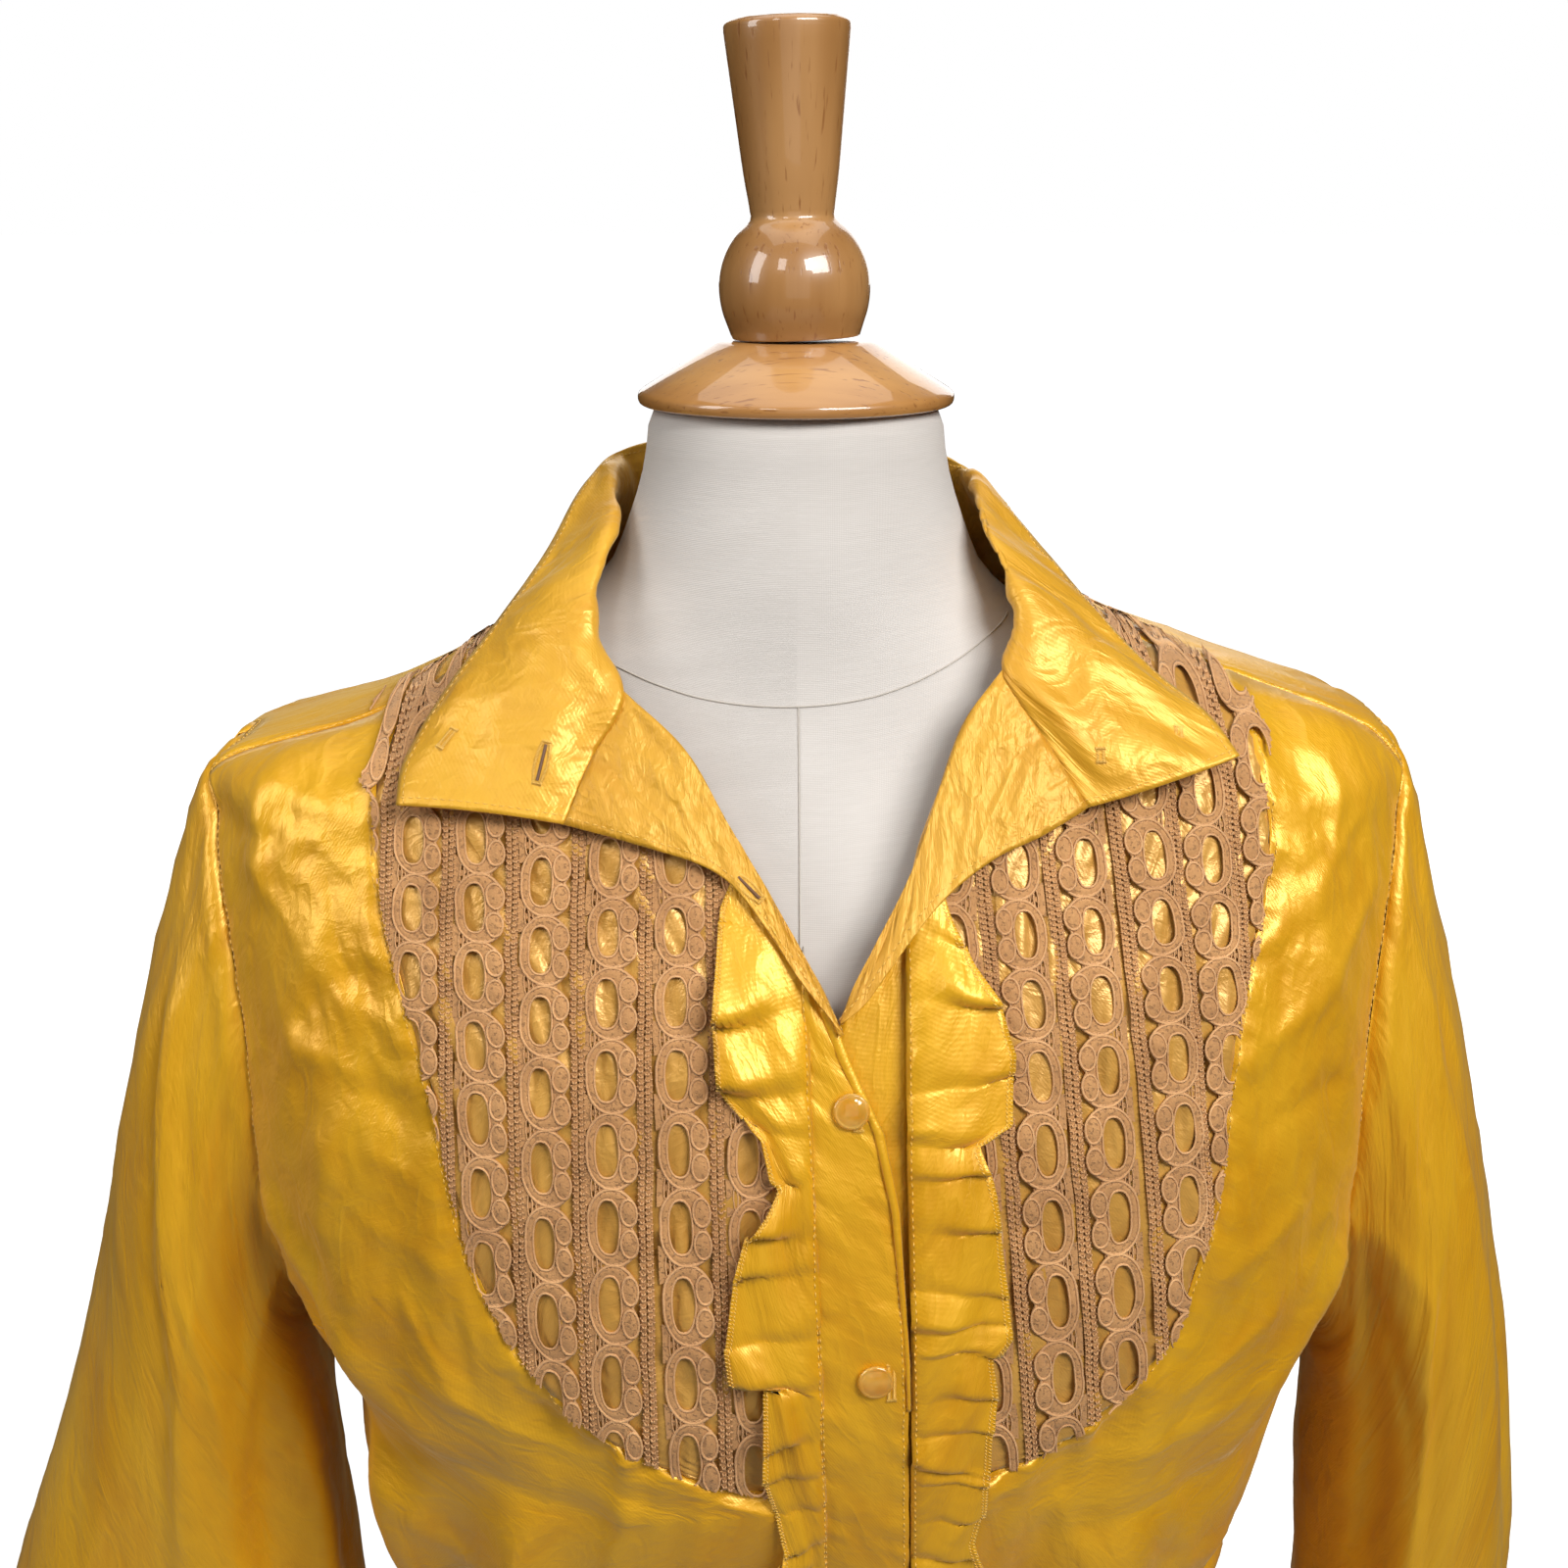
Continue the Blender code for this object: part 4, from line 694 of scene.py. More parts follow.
def collar_places(side: Side, share: Array, up: Array) -> Array:
    """Points of the collar: share from its front end to the back, up from its seam to its free edge.

    Args:
        side: which half.
        share: 0 at the front end to 1 at the back.
        up: 0 at the seam to 1 at the free edge.

    Returns:
        points of one shape with the shares, in metres.
    """
    sections = COLLAR_ROWS[side]
    seams = [lapel_places(side, np.array(across), np.array(0.0)) for across in LAPEL_SEAM]
    seams += [BODY.point(np.array(side.value * place.angle), np.array(place.drop), place.out) for place in NECK_SEAM]
    turns = [(side.value * row.x, row.y, NECK_TOP_Z - row.drop) for row in sections]
    edges = [(side.value * row.edge_x, row.edge_y, NECK_TOP_Z - row.edge_drop) for row in sections]
    keys = np.linspace(0, 1, len(sections))
    seam, turn, edge = (smooth_at(keys, part, share) for part in (seams, turns, edges))
    up = up[..., None]
    return (1 - up) ** 2 * seam + 2 * up * (1 - up) * turn + up**2 * edge


def sleeve_places(side: Side, turn: Array, share: Array) -> Array:
    """Points of a sleeve: turn 0 at its outer side and 0.25 in front, share from armhole to cuff.

    Args:
        side: which sleeve.
        turn: share of the way round.
        share: 0 at the armhole to 1 at the cuff.

    Returns:
        points of one shape with the shares, in metres.
    """
    sections = SLEEVE_ROWS[side]
    row = SleeveRow(*np.moveaxis(smooth_at(np.linspace(0, 1, len(sections)), sections, share), -1, 0))
    zero = np.zeros_like(row.front)
    outer, inner = (np.stack((side.value * x, zero, NECK_TOP_Z - drop), axis=-1) for x, drop in (
        (row.outer_x, row.outer_drop), (row.inner_x, row.inner_drop)))
    swing, level = np.sin(TURN * turn), np.cos(TURN * turn)
    gathers = SLEEVE_GATHER_DEPTH * np.cos(TURN * SLEEVE_GATHERS * turn) * ease((share - SLEEVE_GATHER_START) / 0.2)
    reach = 1.0 + (sleeve_fold_height(side, turn, share) + gathers) / SLEEVE_RADIUS
    loose = (outer + inner) / 2 + (outer - inner) / 2 * (level * reach)[..., None]
    loose[..., 1] -= np.where(swing > 0, row.front, row.back) * swing * reach + row.forward
    seam = BODY.plain_point(*armhole_place(side, turn))
    return mix(seam, loose, ease(share / SLEEVE_BLEND)[..., None])


def sleeve_fold_height(side: Side, turn: Array, share: Array) -> Array:
    """How far the folds and creases of a sleeve raise it.

    Args:
        side: which sleeve.
        turn: share of the way round.
        share: 0 at the armhole to 1 at the cuff.

    Returns:
        heights in metres.
    """
    height = np.zeros(np.broadcast(turn, share).shape)
    for fold in (*SLEEVE_FOLDS[side], *SLEEVE_CREASES[side]):
        down = np.clip((share - fold.along) / (fold.end_along - fold.along), 0.0, 1.0)
        line = mix(fold.turn, fold.end_turn, down)
        away = np.abs((turn - line + 0.5) % 1.0 - 0.5) / fold.width
        low, high = min(fold.along, fold.end_along), max(fold.along, fold.end_along)
        fade = ease((share - low + 0.08) / 0.2) * ease((high + 0.08 - share) / 0.2)
        height += fold.height * fade * ridge(away**2, fold in SLEEVE_CREASES[side], SLEEVE_CREASE_ROUNDING)
    for shares, turns, rise in SLEEVE_LEDGES[side]:
        past = (turn - np.interp(share, shares, turns) + 0.5) % 1.0 - 0.5
        fade = ease((share - shares[0]) / 0.10) * ease((shares[-1] - share) / 0.14)
        shape = np.where(past > 0, np.exp(-np.abs(past) / LEDGE_SLOPE), np.exp(-((past / LEDGE_EDGE) ** 2)))
        height += rise * fade * shape
    return height


def ruffle_places(side: Side, across: Array, down: Array) -> Array:
    """Points of a ruffle: across from under the placket to its free edge, down from the V to the hem.

    Args:
        side: which ruffle.
        across: 0 under the placket to 1 at the free edge.
        down: 0 at the V to 1 at the hem.

    Returns:
        points of one shape with the shares, in metres.
    """
    sign = side.value
    drop = mix(mix(RUFFLE_INNER_TOP[side], RUFFLE_TOP, across), RUFFLE_BOTTOM, down)
    creases = np.array(RUFFLE_CREASES[side]) * MM
    # Each crease slants a little in its own way towards the free edge.
    number = np.arange(len(creases))
    slope = np.interp(drop, creases, 0.0046 * np.sin(2.4 * number + sign) + 0.0026 * np.sin(5.1 * number))
    at = drop + slope * across**1.5 + 0.0011 * np.sin(6.5 * across + 37 * drop) * across
    i = np.clip(np.searchsorted(creases, at) - 1, 0, len(creases) - 2)
    span = creases[i + 1] - creases[i]
    share = np.clip((at - creases[i]) / span, 0.0, 1.0)
    # A pleat is as tall as its span allows; one in four fades towards the seam and one towards the free edge.
    tall = np.minimum(0.30 * span, 0.0060) * (0.80 + 0.45 * np.sin(1.7 * i + sign))
    to_edge, to_seam = ease((across - 0.20) / 0.50), ease((0.90 - across) / 0.6)
    reach = np.select([i % 4 == 1, i % 4 == 3], [mix(0.08, 1.0, to_edge), mix(0.20, 1.0, to_seam)],
                      mix(0.25, 1.0, across**0.7))
    pleat = tall * reach * ease((1 - share) / mix(0.42, 0.10, across)) * (0.04 + share) ** 0.8
    swell = np.sin(95 * at + 7 * across + 2 * sign) * np.sin(33 * drop + 3 * across + sign)
    pleat = (pleat + 0.0018 * mix(0.3, 1.0, across) * (0.6 + swell)) * ease((drop - 0.140) / 0.030)
    base = mix(RUFFLE_TUCK, RUFFLE_OUT, ease(across / 0.15))
    # The free edge steps in and out with the pleats, and hangs a little below each crease.
    width = np.interp(at, *np.array(RUFFLE_EDGES[side]).T * MM)
    x = line_x(STITCH_LINES[side], drop) + sign * ((width + RUFFLE_UNDER) * across - RUFFLE_UNDER)
    lower = 0.10 * span * np.exp(-share / 0.12) * across
    return BODY.front_point(x, np.minimum(drop - lower, HEM_DROP), base + np.maximum(pleat, 0.0))


# ---- making meshes -------------------------------------------------------------------------------
def deselect() -> None:
    """Leaves nothing selected, so that an operator acts on the new piece alone."""
    bpy.ops.object.select_all(action="DESELECT")


def select_only(obj: Piece) -> None:
    """Makes this the one selected and active object."""
    deselect()
    obj.select_set(True)
    bpy.context.view_layer.objects.active = obj


def added(name: str, add: Callable[..., Any], **settings: Any) -> Piece:
    """A new primitive with this name."""
    deselect()
    add(**settings)
    obj = bpy.context.active_object
    obj.name = obj.data.name = name
    return obj


def edit(obj: Piece, *steps: Callable[[], Any]) -> None:
    """Runs mesh operators on all of a piece in edit mode."""
    select_only(obj)
    bpy.ops.object.mode_set(mode="EDIT")
    bpy.ops.mesh.select_all(action="SELECT")
    for step in steps:
        step()
    bpy.ops.object.mode_set(mode="OBJECT")


def weld() -> None:
    """Joins the selected points that lie on each other."""
    bpy.ops.mesh.remove_doubles(threshold=0.01 * MM)


def apply_modifier(obj: Piece, kind: str, **settings: Any) -> None:
    """Adds a modifier with these settings and applies it."""
    select_only(obj)
    modifier = obj.modifiers.new(kind.lower(), kind)
    for key, value in settings.items():
        setattr(modifier, key, value)
    bpy.ops.object.modifier_apply(modifier=modifier.name)


def arrays_of(obj: Piece) -> Shape:
    """A piece's points and the corners of its faces."""
    points = np.empty(len(obj.data.vertices) * 3)
    obj.data.vertices.foreach_get("co", points)
    return points.reshape(-1, 3), [tuple(face.vertices) for face in obj.data.polygons]


def joined(name: str, points: Array, faces: Sequence[Sequence[int]]) -> Piece:
    """One piece made of many copies, from all their points and faces."""
    mesh = bpy.data.meshes.new(name)
    mesh.from_pydata(points.tolist(), [], faces)
    mesh.shade_smooth()
    obj = bpy.data.objects.new(name, mesh)
    bpy.context.collection.objects.link(obj)
    return obj


def template(add: Callable[..., Any], **settings: Any) -> Shape:
    """The points and faces of a primitive that leaves the scene once it is read."""
    obj = added("template", add, **settings)
    shape = arrays_of(obj)
    bpy.data.objects.remove(obj, do_unlink=True)
    return shape


def merged(*patterns: Shape) -> Shape:
    """Several patterns as one."""
    points, faces, size = [], [], 0
    for some_points, some_faces in patterns:
        points.append(some_points)
        faces += [tuple(corner + size for corner in face) for face in some_faces]
        size += len(some_points)
    return np.concatenate(points), faces


@dataclass
class Panel:
    """A piece of cloth as a grid of points, rows down by columns across, with its own noise for wrinkles."""

    points: Array
    middle: Array
    noise: Noise | None = None
    wrapped: bool = False
    wall: float = field(default=CLOTH, init=False)
    facing: int = field(default=1, init=False)
    across: Array = field(init=False)
    down: Array = field(init=False)

    def __post_init__(self) -> None:
        """Measures the cloth across and down, and turns it to face away from its middle."""
        self.facing = -1 if (self.normals() * (self.points - self.middle)).sum() < 0 else 1
        self.across, self.down = (
            np.insert(np.cumsum(np.linalg.norm(np.diff(self.points, axis=axis), axis=-1), axis=axis), 0, 0.0, axis)
            for axis in (1, 0))

    @classmethod
    def of(cls, faces: tuple[int, int], place: Callable[[Array, Array], Array], noise: Noise | None = None,
           middle: Sequence[float] = BODY_MIDDLE, wrapped: bool = False) -> "Panel":
        """Makes a panel from a function of the shares across and down.

        Args:
            faces: how many across and down.
            place: gives the points from the two shares.
            noise: gives its wrinkles their places.
            middle: a point that the panel faces away from.
            wrapped: the last column meets the first.

        Returns:
            The panel.
        """
        shares = np.meshgrid(*(np.linspace(0, 1, count + 1) for count in faces))
        return cls(place(*shares), np.array(middle, float), noise, wrapped)

    def normals(self) -> Array:
        """The direction that the cloth faces at each point."""
        points = self.points
        if self.wrapped:
            points = np.concatenate([points[:, -2:-1], points, points[:, 1:2]], axis=1)
        by_row, by_column = np.gradient(points, axis=0), np.gradient(points, axis=1)
        normals = unit(np.cross(by_row, by_column))
        if self.wrapped:
            normals = normals[:, 1:-1]
        return normals * self.facing

    def raise_by(self, height: Array) -> "Panel":
        """Moves each point out along its normal."""
        self.points = self.points + self.normals() * height[..., None]
        return self

    def edge_distance(self, edge: str) -> tuple[Array, Array]:
        """The metres from an edge (l, r, t or b) and the metres along it."""
        return {"l": (self.across, self.down), "r": (self.across[:, -1:] - self.across, self.down),
                "t": (self.down, self.across), "b": (self.down[-1:] - self.down, self.across)}[edge]

    def seam(self, edges: str, dip: float = 1.0, pucker: float = 0.6, reach: float = 9.0) -> "Panel":
        """Rolls edges into their seams, one after another, and gathers small puckers beside them.

        Args:
            edges: letters of l, r, t and b.
            dip: how deep the cloth turns in at the seam, in millimetres as all here.
            pucker: how high the puckers are.
            reach: how far they run into the cloth.

        Returns:
            The same panel.
        """
        for edge in edges:
            distance, length = (part / MM for part in self.edge_distance(edge))
            drawn = self.noise.at(length / 4.2, distance / 16 + 9.5)
            drawn += 0.6 * self.noise.at(length / 2.1 + 40, distance / 9)
            height = pucker * drawn * np.exp(-distance / reach) * ease(distance / 1.5)
            self.raise_by((height - dip * np.exp(-((distance / 1.5) ** 2))) * MM)
        return self

    def inwards(self, reach: float) -> Array:
        """0 at the panel's edges and 1 this many millimetres inside them, so that pieces still meet at seams."""
        return ease(np.minimum.reduce([self.edge_distance(edge)[0] for edge in "lrtb"]) / (reach * MM))

    def crumpled(self, height: Any, size: float, reach: float = 7.0) -> "Panel":
        """Adds crisp facets of a size and height, in millimetres, inside the panel's edges."""
        return self.raise_by(height * MM * self.noise.crumple(self.across, self.down, size * MM) * self.inwards(reach))

    def swollen(self, height: Any, wide: float, long: float, reach: float = 22.0, hanging: bool = False) -> "Panel":
        """Adds broad soft waves.

        Args:
            height: how high they are, in millimetres as all here.
            wide: from wave to wave across the cloth.
            long: how far one runs.
            reach: how far in from the panel's edges they fade.
            hanging: they hang straight down instead of following the panel.

        Returns:
            The same panel.
        """
        side, along_it = self.across, self.down
        if hanging:
            x, y, z = np.moveaxis(self.points, -1, 0)
            side, along_it = np.arctan2(x, -y) * 0.11 + 0.010 * np.sin(z * 17.0), -z
        side, along_it = side / (wide * MM), along_it / (long * MM)
        wave = self.noise.at(side + 3.3, along_it + 8.1)
        wave += 0.5 * self.noise.at(side * 2.1 + 60.5, along_it * 1.7 + 2.4)
        return self.raise_by(height * MM * wave * self.inwards(reach))

    def gathered(self, edge: str, height: Any, wide: float, reach: float) -> "Panel":
        """Adds small pleats, all in millimetres, that hang from an edge and fade at a reach below it."""
        distance, _ = self.edge_distance(edge)
        x, _, z = np.moveaxis(self.points, -1, 0)
        wave = self.noise.at(x / (wide * MM) + 0.6 * np.sin(z * 40.0), z / (150 * MM) + 5.5)
        return self.raise_by(height * MM * wave * np.exp(-distance / (reach * MM)) * ease(distance / (4 * MM)))

    def line(self, edge: str, inset: float) -> tuple[Array, Array]:
        """A line of places a little inside an edge, and the cloth's normals along it.

        Args:
            edge: one of l, r, t and b.
            inset: distance from the edge, in millimetres.

        Returns:
            the places and the normals.
        """
        distance, _ = self.edge_distance(edge)
        normals = self.normals()
        stacked = np.concatenate([self.points, normals], axis=-1)
        if edge in "tb":
            stacked, distance = np.moveaxis(stacked, 0, 1), distance.T
        orders = np.argsort(distance)
        lines = np.array([read_rows(inset, reach[order], row[order])
                          for row, reach, order in zip(stacked, distance, orders)])
        return lines[:, :3], unit(lines[:, 3:])

    def build(self, name: str, wall: float = CLOTH) -> Piece:
        """Makes the panel a mesh with a wall and a UV map in metres.

        Args:
            name: the piece's name.
            wall: how thick it is.

        Returns:
            The new object.
        """
        size = np.array(self.points.shape[1::-1]) - 1
        obj = added(name, bpy.ops.mesh.primitive_grid_add, x_subdivisions=size[0], y_subdivisions=size[1], size=2,
                    calc_uvs=True)
        self.wall = wall
        mesh = obj.data
        flat, _ = arrays_of(obj)
        column, row = np.rint((flat[:, :2] + 1) / 2 * size).astype(int).T
        mesh.vertices.foreach_set("co", self.points[row, column].ravel())
        corners = np.empty(len(mesh.loops), np.int32)
        mesh.loops.foreach_get("vertex_index", corners)
        uv = np.stack((self.across[row, column], -self.down[row, column]), axis=-1)[corners]
        mesh.uv_layers[0].data.foreach_set("uv", uv.astype(np.float32).ravel())
        mesh.update()
        if self.wrapped:
            edit(obj, weld)
        if self.facing > 0:
            edit(obj, bpy.ops.mesh.flip_normals)
        if wall:
            apply_modifier(obj, "SOLIDIFY", thickness=wall, offset=0.0, use_even_offset=False)
        mesh.shade_smooth()
        return obj


class StitchKind(Enum):
    """How a stitch lies: its length, width and height, and the step to the next."""

    TOPSTITCH = (2.1 * MM, 0.42 * MM, 0.30 * MM, 2.7 * MM)
    OVERLOCK = (1.5 * MM, 0.36 * MM, 0.30 * MM, 1.25 * MM)
    BUTTONHOLE = (1.5 * MM, 0.34 * MM, 0.34 * MM, 0.42 * MM)


class Needle:
    """Sews rows of raised stitches, which become one joined mesh."""

    def __init__(self) -> None:
        """Makes the one bead that every stitch copies."""
        self.bead, self.faces = template(bpy.ops.mesh.primitive_uv_sphere_add, segments=3, ring_count=3, radius=0.60)
        self.points: list[Array] = []

    def sew(self, path: Array, normals: Array, kind: StitchKind, slant: float, raised: float) -> None:
        """Lays stitches along a path.

        Args:
            path: points on the cloth.
            normals: the cloth's normals there.
            kind: the stitch's size and step.
            slant: radians that each stitch turns from the path.
            raised: how far its middle lies above the path.
        """
        length, width, height, step = kind.value
        steps = np.linalg.norm(np.diff(path, axis=0), axis=1)
        reach = np.concatenate([[0.0], np.cumsum(steps)])
        at = np.arange(step / 2, reach[-1], step)
        normal = unit(read_rows(at, reach, normals))
        forward = unit(read_rows(at + length / 2, reach, path) - read_rows(at - length / 2, reach, path))
        beside = unit(np.cross(normal, forward))
        turned = forward * math.cos(slant) + beside * math.sin(slant)
        beside = np.cross(normal, turned)
        bead = self.bead * (length, width, height)
        for middle, x, y, z in zip(read_rows(at, reach, path) + normal * raised, turned, beside, normal):
            self.points.append(middle + bead[:, :1] * x + bead[:, 1:2] * y + bead[:, 2:] * z)

    def finish(self, name: str) -> Piece:
        """Joins every stitch sewn so far into one piece."""
        return joined(name, *merged(*((points, self.faces) for points in self.points)))


def cord_mesh(name: str, paths: Sequence[Array], radius: float) -> Piece:
    """Makes one mesh of round cords of this radius, each along the points of its path.

    Args:
        name: names the piece.
        paths: the points of each cord, in metres.
        radius: half a cord's thickness.

    Returns:
        the new piece.
    """
    curve = bpy.data.curves.new(name, "CURVE")
    curve.dimensions = "3D"
    curve.bevel_depth, curve.bevel_resolution, curve.use_fill_caps = radius, 1, True
    for path in paths:
        spline = curve.splines.new("POLY")
        spline.points.add(len(path) - 1)
        spline.points.foreach_set("co", np.column_stack([path, np.ones(len(path))]).ravel())
    obj = bpy.data.objects.new(name, curve)
    bpy.context.collection.objects.link(obj)
    select_only(obj)
    bpy.ops.object.convert(target="MESH")
    obj = bpy.context.active_object
    obj.data.shade_smooth()
    return obj


# ---- shader maths and finishes -------------------------------------------------------------------
def maths(operation: str) -> Callable[..., "Value"]:
    """A Python operator that adds a Math node on a value and the others."""
    def apply(value: "Value", *others: Any) -> "Value":
        """The node's result."""
        return value.shader.node("ShaderNodeMath", dict(enumerate((value, *others))), operation=operation)
    return apply


class Value:
    """A shader socket that takes part in Python arithmetic."""

    __add__ = __radd__ = maths("ADD")
    __mul__ = __rmul__ = maths("MULTIPLY")
    __sub__, __abs__ = maths("SUBTRACT"), maths("ABSOLUTE")

    def __init__(self, shader: "Shader", socket: bpy.types.NodeSocket) -> None:
        """Args: shader: the material it belongs to; socket: the output that it wraps."""
        self.shader, self.socket = shader, socket

    def __rsub__(self, other: float) -> "Value":
        """Difference from a number."""
        return self.shader.node("ShaderNodeMath", {0: other, 1: self}, operation="SUBTRACT")

    def between(self, low: float, high: float) -> "Value":
        """A smooth step from 0 at low to 1 at high."""
        inputs = {"Value": self, "From Min": low, "From Max": high}
        return self.shader.node("ShaderNodeMapRange", inputs, interpolation_type="SMOOTHSTEP")

    def ridge(self) -> "Value":
        """1 where noise passes its middle, less to each side: the crest of a crease."""
        return 1.0 - abs(self * 2.0 - 1.0)


class Shader:
    """One material's nodes under construction."""

    def __init__(self, name: str, constants: dict[str, Any]) -> None:
        """Args: name: the material's name; constants: the shader's own socket values."""
        self.material = bpy.data.materials.new(name)
        self.material.use_nodes = True
        self.tree = self.material.node_tree
        self.surface = self.tree.nodes["Principled BSDF"]
        for key, value in constants.items():
            self.surface.inputs[key].default_value = value

    def node(self, kind: str, inputs: dict[Any, Any] | None = None, output: Any = 0,
             stops: Sequence[tuple[float, tuple]] = (), **settings: Any) -> Value:
        """Adds a node.

        Args:
            kind: the node's type.
            inputs: values or links for its sockets, by name or number.
            output: which of its outputs is wanted.
            stops: a colour ramp's places and colours.
            settings: the node's own settings, set first.

        Returns:
            The output.
        """
        made = self.tree.nodes.new(kind)
        for key, value in settings.items():
            setattr(made, key, value)
        if stops:
            ramp = made.color_ramp.elements
            ramp[0].position, ramp[0].color = stops[0][0], (*stops[0][1], 1.0)
            ramp[1].position, ramp[1].color = stops[-1][0], (*stops[-1][1], 1.0)
            for position, colour in stops[1:-1]:
                ramp.new(position).color = (*colour, 1.0)
        for key, value in (inputs or {}).items():
            if isinstance(value, Value):
                self.tree.links.new(value.socket, made.inputs[key])
            else:
                made.inputs[key].default_value = value
        return Value(self, made.outputs[output])

    def coordinate(self, kind: str, scale: Triple = (1.0, 1.0, 1.0),
                   turn: Triple = (0.0, 0.0, 0.0)) -> Value:
        """The UV or Object place, scaled and turned."""
        place = self.node("ShaderNodeTexCoord", output=kind)
        return self.node("ShaderNodeMapping", {"Vector": place, "Scale": scale, "Rotation": turn})

    def noise(self, place: Value, scale: float, detail: float = 2.0, distortion: float = 0.0) -> Value:
        """Noise from 0 to 1."""
        inputs = {"Vector": place, "Scale": scale, "Detail": detail, "Distortion": distortion}
        return self.node("ShaderNodeTexNoise", inputs)

    def wave(self, place: Value, scale: float, direction: str, distortion: float = 0.0) -> Value:
        """Parallel threads from 0 to 1."""
        inputs = {"Vector": place, "Scale": scale, "Distortion": distortion}
        return self.node("ShaderNodeTexWave", inputs, output="Fac", bands_direction=direction)

    def blend(self, share: Any, a: Any, b: Any, kind: str = "MIX") -> Value:
        """A colour this share of the way from a to b."""
        a, b = (c if isinstance(c, Value) else (*c, 1.0) for c in (a, b))
        inputs = {0: share, 6: a, 7: b}
        return self.node("ShaderNodeMix", inputs, output=2, data_type="RGBA", blend_type=kind)

    def finish(self, colour: Value | None = None, height: Value | None = None, depth: float = 0.0,
               **links: Value) -> Material:
        """Links the colour, a bump of this depth in metres, and any other sockets."""
        if colour is not None:
            self.tree.links.new(colour.socket, self.surface.inputs["Base Color"])
        for key, value in links.items():
            self.tree.links.new(value.socket, self.surface.inputs[key])
        if height is not None:
            bump = self.node("ShaderNodeBump", {"Height": height, "Distance": depth, "Strength": 1.0}, output="Normal")
            self.tree.links.new(bump.socket, self.surface.inputs["Normal"])
        return self.material


@dataclass(frozen=True)
class Satin:
    """Crisp gold satin with crushed crinkles and fine slubs."""

    name: str = "gold_satin"
    deep: Triple = (0.640, 0.265, 0.003)
    bright: Triple = (0.800, 0.420, 0.012)
    crinkle: float = 1.0
    smooth: float = 0.24

    def material(self) -> Material:
        """Builds the nodes."""
        s = Shader(self.name, {"Roughness": 0.40, "Metallic": 0.20, "Specular IOR Level": 0.90,
                               "Specular Tint": (1.0, 0.93, 0.66, 1.0), "Sheen Weight": 0.25, "Sheen Roughness": 0.4,
                               "Sheen Tint": (1.0, 0.90, 0.60, 1.0)})
        place = s.coordinate("UV")
        patch = s.noise(place, 14.0, 3.0)
        crush = s.noise(s.coordinate("UV", (1.0, 0.62, 1.0)), 62.0, 2.0, 0.8).ridge()
        small = s.noise(s.coordinate("UV", (0.8, 1.0, 1.0)), 170.0, 3.0, 0.5).ridge()
        slub = s.noise(s.coordinate("UV", (90.0, 1900.0, 1.0)), 1.0, 2.0)
        weave = s.wave(place, 420.0, "DIAGONAL")
        # The colour follows the crush crinkles as the bump does: their crests are painted paler and their hollows
        # darker, a painted highlight and painted shade; the patches and slubs are the satin's own uneven tone.
        share = (patch * 0.75 + crush * 0.25 + slub * 0.2).between(0.30, 0.95)
        colour = s.blend(share, self.deep, self.bright)
        height = (crush * 0.62 + small * 0.26) * self.crinkle + slub * 0.05 + weave * 0.02
        rough = patch * 0.12 + slub * 0.12 + self.smooth
        return s.finish(colour, height, 0.9 * MM, Roughness=rough)


@dataclass(frozen=True)
class LaceThread:
    """Dull tan cotton cords, fuzzy, with their raised twist painted paler as a painted highlight and dark dots painted
    as shadowed holes.
    """

    name: str = "tan_lace_thread"
    shade: Triple = (0.420, 0.200, 0.075)
    face: Triple = (0.760, 0.430, 0.185)
    gaps: float = 0.80

    def material(self) -> Material:
        """Builds the nodes."""
        s = Shader(self.name, {"Roughness": 0.85, "Sheen Weight": 0.25, "Sheen Roughness": 0.6,
                               "Sheen Tint": (0.95, 0.72, 0.52, 1.0)})
        place = s.coordinate("Object")
        twist = s.noise(place, 1400.0, 2.0)
        dye = s.noise(place, 60.0, 3.0)
        # The raised twist, which also makes the bump, is painted paler: a painted highlight; the dye noise is the
        # thread's own uneven colour.
        colour = s.blend((dye * 0.7 + twist * 0.5).between(0.25, 0.95), self.shade, self.face)
        # Dark dots are painted where openwork holes would lie in shade: painted shadow.
        gap = s.noise(place, 820.0, 1.0).between(self.gaps, self.gaps + 0.10)
        colour = s.blend(gap * 0.55, colour, (0.200, 0.090, 0.028))
        return s.finish(colour, twist * 0.6 - gap * 0.5, 0.30 * MM)


@dataclass(frozen=True)
class Linen:
    """Off-white linen stretched over the form, in a plain weave with slubs."""

    name: str = "white_linen"
    shade: Triple = (0.530, 0.490, 0.450)
    face: Triple = (0.640, 0.600, 0.560)

    def material(self) -> Material:
        """Builds the nodes."""
        s = Shader(self.name, {"Roughness": 0.92, "Sheen Weight": 0.10})
        place = s.coordinate("UV")
        warp, weft = s.wave(place, 560.0, "X", 0.6), s.wave(place, 560.0, "Y", 0.6)
        slub = s.noise(s.coordinate("UV", (90.0, 900.0, 1.0)), 1.0, 3.0)
        soil = s.noise(place, 22.0, 4.0)
        # The raised weave crossings and slubs, which also make the bump, are painted paler: a painted highlight on the
        # threads' crests, with painted shade between; the soil noise varies the tone at random.
        colour = s.blend((warp * weft * 0.5 + slub * 0.35 + soil * 0.4).between(0.20, 0.95), self.shade, self.face)
        return s.finish(colour, warp * 0.2 + weft * 0.3 + slub * 0.5, 0.08 * MM)


class Grain(Enum):
    """Which way the wood's grain runs through a turned piece."""

    UPRIGHT = ((1.0, 1.0, 0.045), (0.0, 0.0, 0.0))
    FLAT = ((0.045, 1.0, 1.0), (0.0, 0.0, 0.20))


